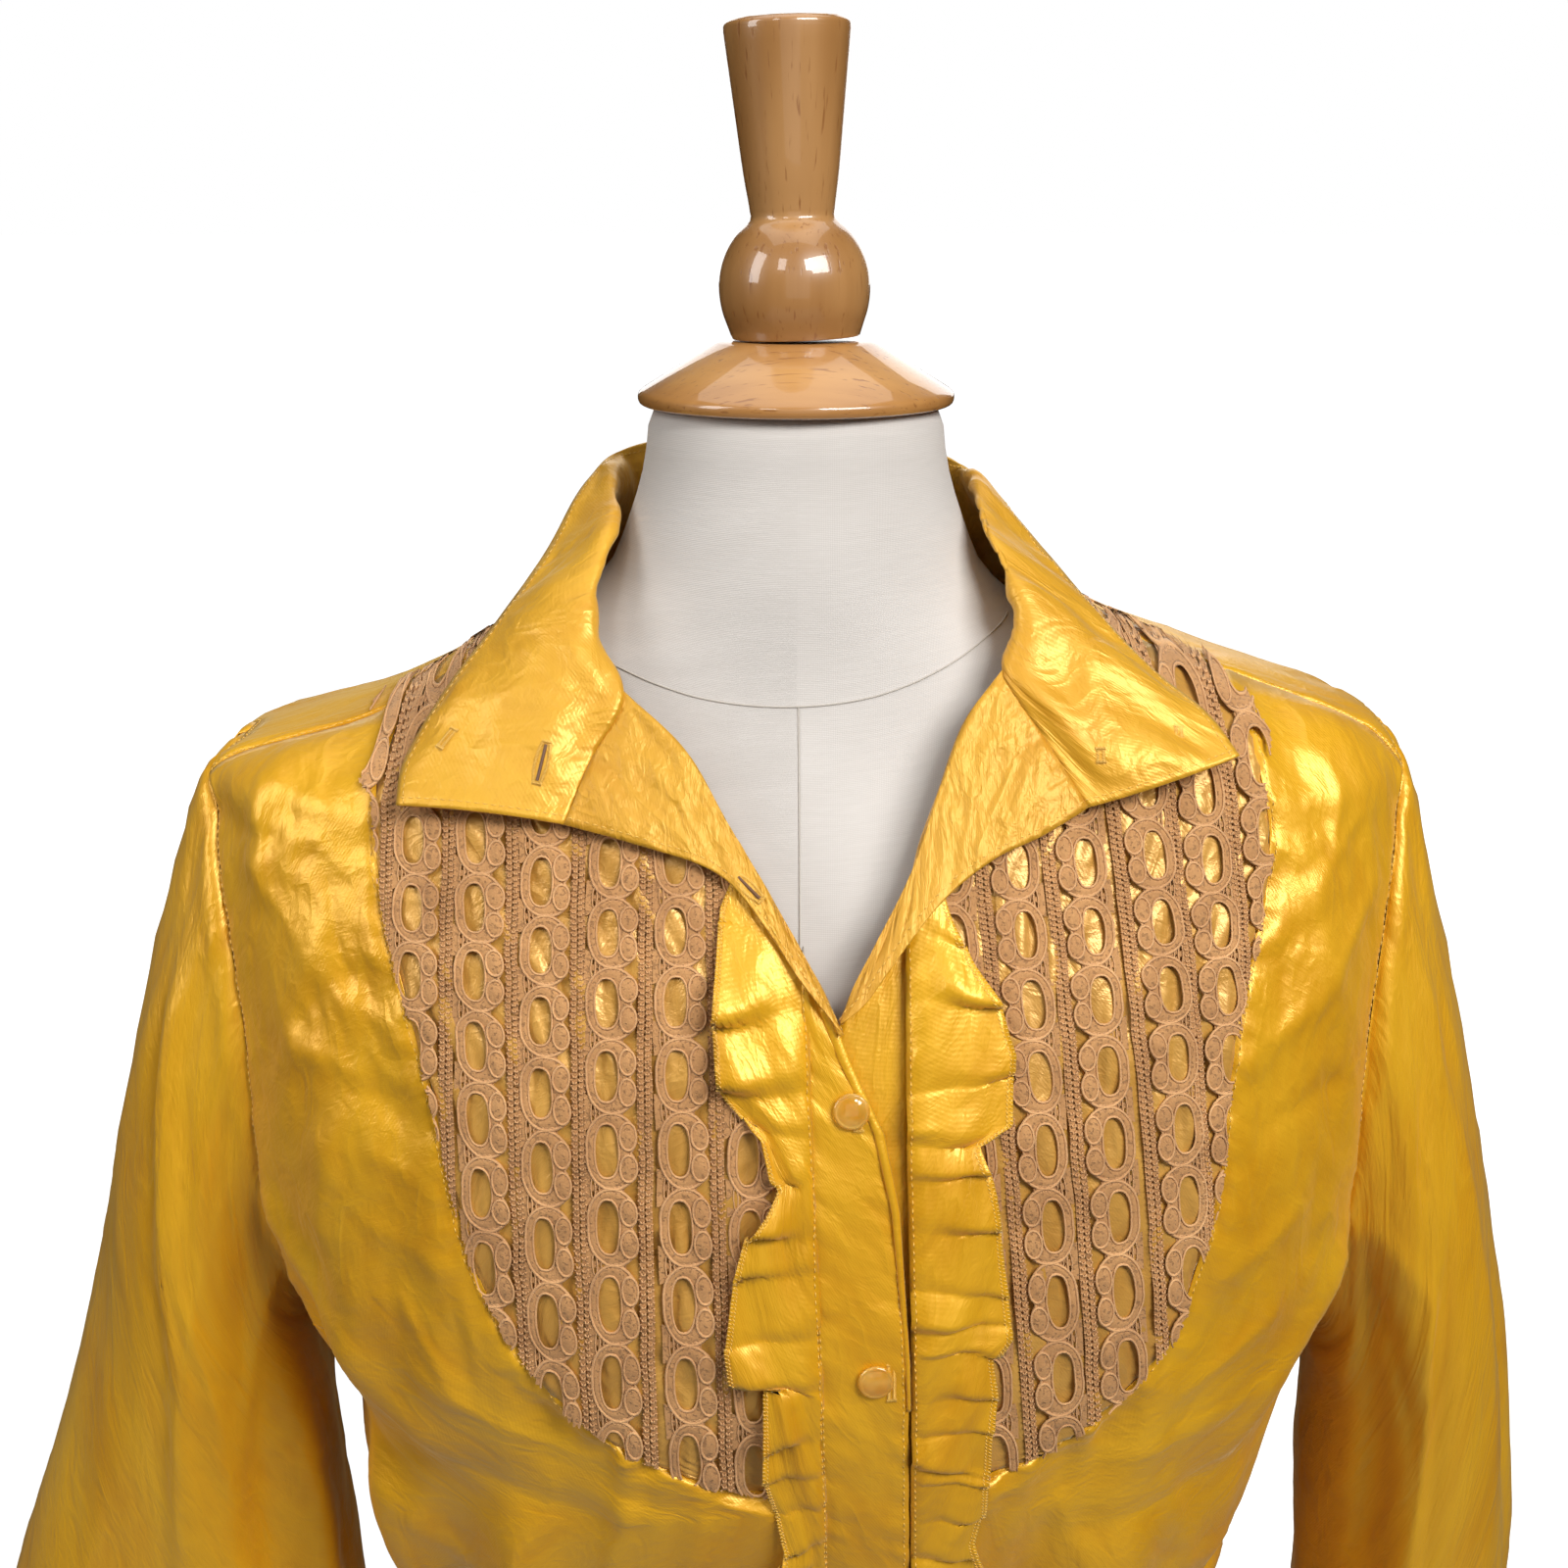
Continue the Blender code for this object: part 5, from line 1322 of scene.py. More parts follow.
@dataclass(frozen=True)
class VarnishedWood:
    """Honey-coloured open-grained wood under thick gloss varnish."""

    name: str
    grain: Grain
    light: Triple = (0.540, 0.272, 0.082)
    middle: Triple = (0.400, 0.182, 0.050)
    dark: Triple = (0.235, 0.088, 0.021)

    def material(self) -> Material:
        """Builds the nodes."""
        s = Shader(self.name, {"Roughness": 0.34, "Coat Weight": 0.85, "Coat Roughness": 0.035, "Coat IOR": 1.55})
        scale, turn = self.grain.value
        place = s.coordinate("Object", scale, turn)
        figure = s.node("ShaderNodeTexWave", {"Vector": place, "Scale": 17.0, "Distortion": 5.5, "Detail": 3.0,
                                              "Detail Scale": 1.6}, output="Fac", wave_type="RINGS",
                        rings_direction="X" if self.grain is Grain.FLAT else "Z")
        streak = s.noise(place, 130.0, 4.0, 0.6)
        pore = s.noise(place, 760.0, 2.0).between(0.60, 0.72)
        share = (figure * 0.55 + streak * 0.65).between(0.18, 1.0)
        colour = s.blend(share, self.middle, self.light)
        colour = s.blend(pore * 0.75, colour, self.dark)
        return s.finish(colour, 1.0 - pore, 0.05 * MM)


@dataclass(frozen=True)
class AmberPlastic:
    """Clear amber plastic of the buttons."""

    name: str = "amber_plastic"

    def material(self) -> Material:
        """Builds the nodes."""
        s = Shader(self.name, {"Roughness": 0.06, "Transmission Weight": 0.55, "IOR": 1.5, "Coat Weight": 0.6,
                               "Coat Roughness": 0.03})
        cloud = s.noise(s.coordinate("Object"), 160.0, 2.0)
        return s.finish(s.blend(cloud.between(0.3, 0.7), (0.80, 0.43, 0.045), (0.88, 0.58, 0.12)))


@dataclass(frozen=True)
class SewingThread:
    """Twisted sewing thread in one colour, its raised twist painted paler as a painted highlight."""

    name: str
    colour: Triple

    def material(self) -> Material:
        """Builds the nodes."""
        s = Shader(self.name, {"Roughness": 0.5, "Sheen Weight": 0.2})
        twist = s.noise(s.coordinate("Object"), 1100.0, 1.0)
        # The raised twist is painted paler: a painted highlight.
        painted_highlight = tuple(min(1.0, part * 1.25 + 0.01) for part in self.colour)
        return s.finish(s.blend(twist, self.colour, painted_highlight), twist, 0.08 * MM)


@dataclass(frozen=True)
class StudioFloor:
    """The plain pale floor, which also glows: painted light at half strength near the foot, rising to full white far
    away.
    """

    name: str = "studio_floor"

    def material(self) -> Material:
        """Builds the nodes."""
        s = Shader(self.name, {"Roughness": 0.9, "Emission Strength": 1.06})
        place = s.coordinate("Object")
        away = s.node("ShaderNodeVectorMath", {0: place}, output="Value", operation="LENGTH")
        # The floor's glow is painted light, dimmer near the foot.
        glow = s.blend(away.between(0.3, 3.4), (0.50, 0.50, 0.50), (1.0, 1.0, 1.0))
        paper = s.blend(s.noise(place, 1.2, 2.0), (0.88, 0.88, 0.88), (0.90, 0.90, 0.90))
        return s.finish(paper, **{"Emission Color": glow})


class Wardrobe:
    """Makes each finish once and dresses pieces in it."""

    def __init__(self) -> None:
        """Starts with no material made."""
        self.made: dict[str, Material] = {}

    def dress(self, obj: Piece, finish: Any, slot: str, *nodes: str) -> Piece:
        """Gives a piece its finish and ties it to the part.

        Args:
            obj: the piece.
            finish: what it is made of.
            slot: the record's material slot; not used.
            nodes: the CAD nodes that it stands for.

        Returns:
            The piece.
        """
        if finish.name not in self.made:
            self.made[finish.name] = finish.material()
        obj.data.materials.clear()
        obj.data.materials.append(self.made[finish.name])
        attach(obj, "root")
        if nodes:
            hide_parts(*nodes)
        log.info("%s: %d faces", obj.name, len(obj.data.polygons))
        return obj


SATIN, LACE, LINEN, AMBER = Satin(), LaceThread(), Linen(), AmberPlastic()
# The ground is a darker copy of the lace thread, and its painted shadow holes start at a lower threshold, so there are
# more of them.
LACE_GROUND = LaceThread("lace_ground", (0.36, 0.168, 0.056), (0.570, 0.290, 0.105), 0.56)
# A copy of the satin for the lapels: more crinkled and rougher, as crushed cloth is, with darker colours that are
# painted shade.
CRUSHED_SHADED_SATIN = Satin("crushed_satin", (0.49, 0.200, 0.004), (0.630, 0.320, 0.016), 2.6, 0.36)
# A copy of the satin for the collar: a little more crinkled and rougher, with darker colours that are painted shade.
SHADED_COLLAR_SATIN = Satin("collar_satin", (0.575, 0.240, 0.005), (0.720, 0.380, 0.022), 1.3, 0.28)
# A copy of the satin for the bibs under the lace, darker and duller in colour: painted shade for the satin seen through
# the openings; its crinkle is a little deeper.
SHADED_BIB_SATIN = Satin("bib_satin", (0.46, 0.205, 0.030), (0.660, 0.350, 0.070), 1.6)
GOLD_THREAD = SewingThread("gold_thread", (0.72, 0.44, 0.070))
SHADOW_THREAD = SewingThread("buttonhole_shadow", (0.110, 0.040, 0.008))
SEAM_THREAD = SewingThread("linen_seam", (0.40, 0.36, 0.31))
UPRIGHT_WOOD = VarnishedWood("upright_wood", Grain.UPRIGHT, (0.450, 0.230, 0.080), (0.330, 0.153, 0.045))
FLAT_WOOD = VarnishedWood("flat_wood", Grain.FLAT)
WARDROBE = Wardrobe()


class Cut(NamedTuple):
    """The flat size of the cloth that shows, what holds it, and the pieces that it rests on."""

    width: float
    length: float
    area: float
    held: str
    rests_on: Sequence[str]


class Rail(dict[str, Panel]):
    """The finished panels of cloth by piece name."""

    def hang(self, panel: Panel, node: str, finish: Satin, cut: Cut, wall: float = CLOTH) -> None:
        """Args:
            panel: its shape.
            node: the CAD node that it stands for.
            finish: its kind of satin.
            cut: its flat size and what holds it; not used.
            wall: how thick it is.
        """
        obj = WARDROBE.dress(panel.build(f"satin_{node}", wall), finish, "satin", node)
        self[obj.name] = panel


# ---- the blouse ----------------------------------------------------------------------------------
@dataclass
class BlouseBody:
    """The satin fronts, bibs, yoke and back."""

    front_faces: tuple[int, int] = (84, 210)
    bib_faces: tuple[int, int] = (112, 70)
    back_faces: tuple[int, int] = (104, 116)
    inner_switch: float = 16 / 28
    outer_switch: float = 12 / 28
    bib_end: float = 14 / 16
    yoke_corner_columns: int = 40
    yoke_back_columns: int = 70
    gather_drop: float = 0.255
    wrinkle: Noise = field(default_factory=lambda: Noise(11))

    def front_places(self, side: Side, across: Array, down: Array) -> Array:
        """Points of a front: across from the bib and placket to the armhole, down to the hem.

        Args:
            side: which front.
            across: 0 at the bib to 1 at the armhole.
            down: 0 at the shoulder to 1 at the hem.

        Returns:
            points of one shape with the shares, in metres.
        """
        across = across**1.4
        upper = down <= self.inner_switch
        row = along(bib_outline(side), np.minimum(down / self.inner_switch, 1.0))
        low = mix(BIB_OUTLINES[side][-1].drop, HEM_DROP, (down - self.inner_switch) / (1 - self.inner_switch))
        inner_drop = np.where(upper, row[..., 1], low)
        inner = BODY.angle_at(np.where(upper, row[..., 0], line_x(STITCH_LINES[side], low)), inner_drop)
        turn = mix(armhole_turn(side, YOKE_SEAM_ANGLE), 0.5, np.minimum(down / self.outer_switch, 1.0))
        angle, drop = armhole_place(side, turn)
        low = mix(ARMHOLES[side].bottom, HEM_DROP, (down - self.outer_switch) / (1 - self.outer_switch))
        outer = np.where(down <= self.outer_switch, angle, side.value * SIDE_ANGLE)
        outer_drop = np.where(down <= self.outer_switch, drop, low)
        return BODY.point(mix(inner, outer, across), mix(inner_drop, outer_drop, across))

    def bib_places(self, side: Side, across: Array, down: Array) -> Array:
        """Points of a bib: across from its inner edge to its outer seam, down from the shoulder.

        Args:
            side: which bib.
            across: 0 at the inner edge to 1 at the seam.
            down: 0 at the shoulder to 1 at the curve.

        Returns:
            points of one shape with the shares, in metres.
        """
        inner, outer = along(bib_inner(side), down), along(bib_outline(side), down * self.bib_end)
        drop = mix(inner[..., 1], outer[..., 1], across)
        angle = mix(BODY.angle_at(inner[..., 0], inner[..., 1]), BODY.angle_at(outer[..., 0], outer[..., 1]), across)
        return BODY.point(angle, drop)

    def yoke_places(self, across: Array, down: Array) -> Array:
        """Points of the yoke: across from the left shoulder seam round the back to the right one."""
        half = self.yoke_corner_columns + self.yoke_back_columns
        points = np.empty(across.shape + (3,))
        for side in Side:
            steps = half * (1 - np.abs(2 * across - 1))
            corner = float(back_armhole_angle(side, np.array(BACK_YOKE_DROP)))
            near = steps <= self.yoke_corner_columns + 1e-9
            share = np.where(near, steps / self.yoke_corner_columns,
                             (steps - self.yoke_corner_columns) / self.yoke_back_columns)
            angle = np.where(near, mix(YOKE_SEAM_ANGLE, corner, share), mix(corner, 180.0, share))
            _, seam = armhole_place(side, armhole_turn(side, np.minimum(angle, corner)))
            bottom = np.where(near & (angle < corner - 1e-6), seam, BACK_YOKE_DROP)
            here = BODY.point(side.value * angle, mix(neck_drop(angle), bottom, down))
            mine = across <= 0.5 if side is Side.LEFT else across > 0.5
            points[mine] = here[mine]
        return points

    def back_places(self, across: Array, down: Array) -> Array:
        """Points of the back: across from the left side to the right one, down from the yoke."""
        drop = mix(BACK_YOKE_DROP, HEM_DROP, down)
        angle = mix(back_armhole_angle(Side.LEFT, drop), 360.0 - back_armhole_angle(Side.RIGHT, drop), across)
        return BODY.point(angle, drop)

    def build(self, rail: Rail) -> None:
        """Makes and dresses the body."""
        for side in Side:
            front, bib = f"front_{side.word}", f"bib_{side.word}"
            panel = Panel.of(self.front_faces, partial(self.front_places, side), self.wrinkle)
            lower = ease((panel.down / MM - 120) / 120)
            panel.swollen(mix(1.6, 5.0, lower), 26, 190, 16, True).swollen(mix(3.4, 1.0, lower), 40, 75)
            under = ease((NECK_TOP_Z - panel.points[..., 2] - self.gather_drop) / 0.035)
            panel.gathered("l", 3.4 * under, 6.5, 36)
            panel.crumpled(mix(1.3, 0.35, lower), 32).crumpled(mix(0.30, 0.06, lower), 11)
            panel.seam("l", pucker=1.5, reach=7).seam("rt")
            rail.hang(panel, front, SATIN, Cut(0.24, 0.62, 0.105, "hung", ["form_torso"]))
            panel = Panel.of(self.bib_faces, partial(self.bib_places, side), self.wrinkle)
            panel.raise_by(1.1 * MM * self.wrinkle.at(panel.across / (3.2 * MM), panel.down / (12 * MM)))
            panel.crumpled(0.7, 9).seam("r", pucker=0.9)
            rail.hang(panel, bib, SHADED_BIB_SATIN, Cut(0.15, 0.25, 0.028, "gathered", [f"satin_{front}"]))
        panel = Panel.of((2 * (self.yoke_corner_columns + self.yoke_back_columns), 22), self.yoke_places, self.wrinkle)
        panel.crumpled(1.0, 24).seam("lrb")
        rail.hang(panel, "yoke", SATIN, Cut(0.46, 0.17, 0.056, "hung", ["form_torso"]))
        panel = Panel.of(self.back_faces, self.back_places, self.wrinkle)
        panel.swollen(3.2, 30, 200, 18, True).crumpled(0.7, 30).seam("lrt")
        rail.hang(panel, "back", SATIN, Cut(0.48, 0.50, 0.215, "hung", ["satin_yoke"]))


@dataclass
class Sleeves:
    """The full sleeves and their buttoned cuffs."""

    sleeve_faces: tuple[int, int] = (144, 88)
    cuff_faces: tuple[int, int] = (84, 12)
    wrinkle: Noise = field(default_factory=lambda: Noise(23))

    def cuff_places(self, side: Side, around: Array, down: Array) -> Array:
        """Points of a cuff: round it, and down from the sleeve.

        Args:
            side: which cuff.
            around: share of the way round.
            down: 0 at the sleeve to 1 at the edge.

        Returns:
            points of one shape with the shares, in metres.
        """
        last = SLEEVE_ROWS[side][-1]
        middle, half = side.value * (last.outer_x + last.inner_x) / 2, (last.outer_x - last.inner_x) / 2
        turn = TURN * around * side.value
        reach = 1 - 0.03 * np.sin(math.pi * down)
        x = middle + side.value * half * reach * np.cos(turn)
        y = -last.forward - last.front * reach * np.sin(turn)
        z = NECK_TOP_Z - last.outer_drop - CUFF_OVERLAP_GAP - CUFF_HEIGHT * down
        return np.stack(np.broadcast_arrays(x, y, z), axis=-1)

    def build(self, rail: Rail) -> None:
        """Makes and dresses both sleeves."""
        for side in Side:
            sleeve, last = f"sleeve_{side.word}", SLEEVE_ROWS[side][-1]
            middle_x = side.value * float(np.mean([(row.outer_x + row.inner_x) / 2 for row in SLEEVE_ROWS[side]]))
            panel = Panel.of(self.sleeve_faces, partial(sleeve_places, side), self.wrinkle, (middle_x, 0.0, 0.62), True)
            upper = ease((150 - panel.down / MM) / 90)
            panel.swollen(1.7, 34, 90)
            panel.crumpled(mix(0.55, 1.2, upper), 24).crumpled(mix(0.08, 0.28, upper), 11)
            panel.seam("t", pucker=0.8, reach=14).seam("b", pucker=1.0)
            rail.hang(panel, sleeve, SATIN, Cut(0.30, 0.47, 0.108, "hung", ["satin_yoke", f"satin_front_{side.word}"]))
            middle = (side.value * (last.outer_x + last.inner_x) / 2, 0.0, NECK_TOP_Z - last.outer_drop - 0.02)
            panel = Panel.of(self.cuff_faces, partial(self.cuff_places, side), self.wrinkle, middle, True)
            panel.crumpled(0.35, 18)
            rail.hang(panel, f"cuff_{side.word}", SATIN, Cut(0.25, 0.04, 0.0095, "hung", [f"satin_{sleeve}"]),
                      DOUBLE_CLOTH)


@dataclass
class CollarAndLapels:
    """The high pointed collar, worn open, and the fronts' edges turned back below it."""

    collar_faces: tuple[int, int] = (216, 36)
    lapel_faces: tuple[int, int] = (24, 64)
    wrinkle: Noise = field(default_factory=lambda: Noise(37))

    def collar_points(self, around: Array, up: Array) -> Array:
        """Points of the collar: round it from the right end to the left one, up from its seam."""
        share = np.where(around < 0.5, 2 * around, 2 - 2 * around)
        up = mix(-0.10 * ease((share - 0.3) / 0.15), 1.0, up)
        right = collar_places(Side.RIGHT, share, up)
        return np.where((around < 0.5)[..., None], right, collar_places(Side.LEFT, share, up))

    def build(self, rail: Rail) -> None:
        """Makes and dresses the collar and lapels."""
        panel = Panel.of(self.collar_faces, self.collar_points, self.wrinkle, (0.0, 0.02, 0.86))
        panel.swollen(1.8, 24, 20, 8).crumpled(0.8, 19, 4)
        rail.hang(panel, "collar", SHADED_COLLAR_SATIN, Cut(0.46, 0.075, 0.025, "folded", ["form_torso"]), DOUBLE_CLOTH)
        for side in Side:
            panel = Panel.of(self.lapel_faces, partial(lapel_places, side), self.wrinkle)
            panel.crumpled(0.7, 8, 2.5).crumpled(0.45, 4, 2)
            cut = Cut(0.035, 0.11, 0.0024, "folded", [f"satin_bib_{side.word}"])
            rail.hang(panel, f"lapel_{side.word}", CRUSHED_SHADED_SATIN, cut, DOUBLE_CLOTH)


@dataclass
class Closure:
    """The button placket, the stand under it and the ruffles beside it."""

    placket_out: float = 2.0 * MM
    under_out: float = -2.0 * MM
    placket_faces: tuple[int, int] = (16, 200)
    fold_faces: tuple[int, int] = (6, 150)
    stand_faces: tuple[int, int] = (10, 160)
    ruffle_faces: tuple[int, int] = (14, 600)
    wrinkle: Noise = field(default_factory=lambda: Noise(41))

    def placket_places(self, across: Array, down: Array) -> Array:
        """Points of the placket: across from its stitching to its free edge."""
        stitching = STITCH_LINES[Side.RIGHT]
        top = mix(stitching[0].drop + 0.0170, PLACKET_EDGE[0].drop + 0.0050, across)
        drop = mix(top, HEM_DROP, down**1.25)
        return BODY.front_point(mix(line_x(stitching, drop), line_x(PLACKET_EDGE, drop), across), drop,
                                np.full_like(drop, self.placket_out))

    def fold_places(self, across: Array, down: Array) -> Array:
        """Points of the lapel's fold as it runs out down the placket's free edge."""
        drop = mix(0.1690, 0.2950, down)
        x = line_x(PLACKET_EDGE, drop) + 0.0005 - mix(0.0036, 0.0007, down) * across
        return BODY.front_point(x, drop, self.placket_out + 0.0008 + 0.0007 * np.sin(math.pi * across))

    def under_places(self, across: Array, down: Array) -> Array:
        """Points of the button stand under the placket."""
        stitching = STITCH_LINES[Side.LEFT]
        drop = mix(mix(PLACKET_UNDER_EDGE[1].drop + 0.0020, stitching[0].drop, across), HEM_DROP, down)
        x = mix(line_x(PLACKET_UNDER_EDGE, drop), line_x(stitching, drop), across)
        return BODY.front_point(x, drop, np.full_like(drop, self.under_out))

    def build(self, rail: Rail) -> None:
        """Makes and dresses the closure."""
        panel = Panel.of(self.placket_faces, self.placket_places, self.wrinkle)
        panel.raise_by(0.8 * MM * self.wrinkle.at(panel.down / (11 * MM), panel.across / (30 * MM)))
        panel.crumpled(0.35, 12, 3).seam("lr", 0.4, 0.9, 5)
        obj = WARDROBE.dress(panel.build("satin_placket", DOUBLE_CLOTH), SATIN, "satin", "placket")
        fold = WARDROBE.dress(Panel.of(self.fold_faces, self.fold_places).build("satin_placket_fold"), SATIN, "satin")
        rail[obj.name] = panel
        panel = Panel.of(self.stand_faces, self.under_places)
        obj = WARDROBE.dress(panel.build("satin_button_stand"), SATIN, "satin", "placket_under")
        for side in Side:
            panel = Panel.of(self.ruffle_faces, partial(ruffle_places, side), self.wrinkle)
            across, down = panel.across / MM, panel.down / MM
            gathers = self.wrinkle.at(down / 3.4, across / 14)
            panel.raise_by(0.7 * MM * gathers * np.exp(-across / 7) * ease(across / 3))
            edge = panel.edge_distance("r")[0] / MM
            hem = self.wrinkle.at(down / 2.4, 7.5) * np.exp(-((edge / 2.6) ** 2))
            panel.raise_by(0.35 * MM * hem).crumpled(0.35, 11)
            cut = Cut(0.026, 0.65, 0.016, "gathered", [f"satin_front_{side.word}"])
            rail.hang(panel, f"ruffle_{side.word}", SATIN, cut)


# ---- the lace ------------------------------------------------------------------------------------
def grid_pattern(columns: int, lines: int, place: Callable[[Array, Array], Array]) -> Shape:
    """A patch of lace ground: a grid shaped by a function of its two shares, in millimetres."""
    points, faces = template(bpy.ops.mesh.primitive_grid_add, x_subdivisions=columns, y_subdivisions=lines, size=2)
    return place((points[:, 0] + 1) / 2, (points[:, 1] + 1) / 2), faces


def cord_pattern(outline: Callable[[Array], Array], steps: int, thickness: float, height: float) -> Shape:
    """A cord bent round an outline.

    Args:
        outline: gives the two coordinates, in millimetres, for each angle.
        steps: how many pieces it has round.
        thickness: half its width.
        height: how high its middle lies.

    Returns:
        Its points and faces.
    """
    points, faces = template(bpy.ops.mesh.primitive_torus_add, major_segments=steps, minor_segments=4,
                             major_radius=1.0, minor_radius=0.1)
    angle = np.arctan2(points[:, 1], points[:, 0])
    spread = (np.hypot(points[:, 0], points[:, 1]) - 1.0) / 0.1
    path, ahead = outline(angle), outline(angle + 0.02) - outline(angle - 0.02)
    outwards = unit(np.stack((ahead[:, 1], -ahead[:, 0]), axis=-1))
    flat = path + outwards * (spread * thickness)[:, None]
    return np.column_stack([flat, height + points[:, 2] / 0.1 * thickness]), faces


def oval(a: float, b: float, half_a: Any, half_b: Any, angle: Array) -> Array:
    """Places round an oval, from its middle and half its sizes."""
    return np.stack((a + half_a * np.cos(angle), b + half_b * np.sin(angle)), axis=-1)


def pierced(patch: Shape, holes: Iterable[tuple[float, float]], reach: float) -> Shape:
    """A patch without the faces that lie within reach of a hole."""
    points, faces = patch
    holes = np.array(list(holes))
    return points, [face for face in faces
                    if np.linalg.norm(holes - points[list(face), :2].mean(axis=0), axis=1).min() > reach]


@dataclass
class LaceBands:
    """Bands of medallions with lobes, joined by nets and twisted ropes, sewn on a bib."""

    repeats: range = range(-7, 11)
    lift: float = 1.15 * MM
    pitch: float = 17.8
    outline_angles: tuple = (0, 15, 35, 60, 90, 130, 180)
    outline_reach: tuple = (5.3, 6.6, 8.3, 8.7, 8.9, 8.8, 7.9)
    opening: Triple = (-1.8, 3.75, 6.35)
    lobe: tuple[float, float, float, float] = (4.75, 3.7, 2.55, 3.15)
    rope_places: tuple[float, ...] = (8.8, 10.7)
    bars: tuple = ((-6.0, 2.6), (-3.4, 1.1), (-1.5, 0.85), (0.2, 0.85), (1.8, 0.9))
    net_holes: tuple = ((-6.3, -1.3), (-6.4, 1.4), (-4.4, 0.2), (-2.4, -0.5), (-0.7, 0.3), (0.9, -0.3), (2.4, 0.2))
    strip_middle: float = 9.75
    bead_step: float = 1.48
    under_ruffle: float = 6.5 * MM
    shake: Noise = field(default_factory=lambda: Noise(53))

    def outer(self, angle: Array) -> Array:
        """The outline of a medallion."""
        turn = np.degrees(np.abs((angle + math.pi) % TURN - math.pi))
        reach = smooth_at(self.outline_angles, self.outline_reach, turn)
        return oval(0.0, 0.0, reach, reach, angle)

    def inner(self, angle: Array) -> Array:
        """The outline of a medallion's opening, a rounded oblong."""
        middle, half_a, half_b = self.opening
        cos, sin = np.cos(angle), np.sin(angle)
        return np.stack((middle + half_a * np.sign(cos) * np.abs(cos)**0.8,
                         half_b * np.sign(sin) * np.abs(sin)**0.85), axis=-1)

    def medallion_ground(self) -> Shape:
        """The woven tape of a medallion and its two lobes."""
        def tape(turn: Array, share: Array) -> Array:
            """Places of the tape: round it, and share from its inner edge to its outer one."""
            angle = TURN * turn
            flat = mix(self.inner(angle), self.outer(angle), share[:, None])
            return np.column_stack([flat, 0.15 + 0.55 * np.sin(math.pi * share)])

        parts = [grid_pattern(36, 3, tape)]
        a, b, half_a, half_b = self.lobe
        for sign in (-1, 1):
            def lobe(turn: Array, share: Array, sign: int = sign) -> Array:
                """Places of a lobe: round it, and share of its area from the middle."""
                reach = np.sqrt(share)
                flat = oval(a, sign * b, half_a * reach, half_b * reach, TURN * turn)
                return np.column_stack([flat, 0.55 + 0.65 * np.sqrt(1.02 - share)])
            parts.append(grid_pattern(16, 2, lobe))
        return merged(*parts)

    def net_ground(self) -> Shape:
        """The net between one medallion and the next, with its small holes, and the strip under the ropes."""
        def net(share_a: Array, share_b: Array) -> Array:
            """Places of the net, a fan that narrows towards the middle."""
            a, b = mix(-8.9, 3.4, share_a), mix(-1.0, 1.0, share_b)
            fan = mix(4.4, 1.5, ease((a + 8.9) / 5.5))
            return np.column_stack([a, self.pitch / 2 + b * fan, np.full_like(a, 0.12)])

        def strip(share_a: Array, share_b: Array) -> Array:
            """Places of the strip under the ropes."""
            a = mix(7.6, 12.0, share_a)
            return np.column_stack([a, mix(-0.5, 0.5, share_b) * self.pitch, np.full_like(a, -0.10)])

        net_holes = ((a, b + self.pitch / 2) for a, b in self.net_holes)
        strip_holes = ((self.strip_middle, b * self.bead_step) for b in range(-5, 7))
        return merged(pierced(grid_pattern(20, 8, net), net_holes, 0.62),
                      pierced(grid_pattern(9, 26, strip), strip_holes, 0.42))

    def cords(self) -> Shape:
        """The raised cords round a medallion, its opening and its lobes, and the net's bars."""
        a, b, half_a, half_b = self.lobe
        parts = [cord_pattern(self.outer, 34, 0.42, 0.46), cord_pattern(self.inner, 24, 0.34, 0.42)]
        parts += [cord_pattern(partial(oval, a, sign * b, half_a, half_b), 16, 0.38, 0.86) for sign in (-1, 1)]
        parts += [cord_pattern(partial(oval, middle, self.pitch / 2, 0.78, rise), 8, 0.24, 0.40)
                  for middle, rise in self.bars]
        return merged(*parts)

    def beads(self) -> Shape:
        """Twisted beads of both ropes and the picots beside them, for one repeat."""
        shape, faces = template(bpy.ops.mesh.primitive_uv_sphere_add, segments=3, ring_count=3, radius=1.15)
        parts = []
        count = round(self.pitch / self.bead_step)
        for number, middle in enumerate(self.rope_places):
            for k in range(count):
                b = (k + 0.5 * number) * self.pitch / count - self.pitch / 2
                for offset, slant in ((-0.36, 0.62), (0.36, -0.62)):
                    x, y, z = (shape * (0.66, 0.36, 0.32)).T
                    turned = np.column_stack([x * math.cos(slant) - y * math.sin(slant),
                                              x * math.sin(slant) + y * math.cos(slant), z])
                    parts.append((turned + (middle + offset, b, 0.36), faces))
        for k in range(count):
            b = (k + 0.25) * self.pitch / count - self.pitch / 2
            parts.append((shape * (0.52, 0.26, 0.26) + (11.8, b, 0.18), faces))
            parts.append((shape * (0.40, 0.22, 0.22) + (7.7, b + 0.5, 0.15), faces))
        return merged(*parts)

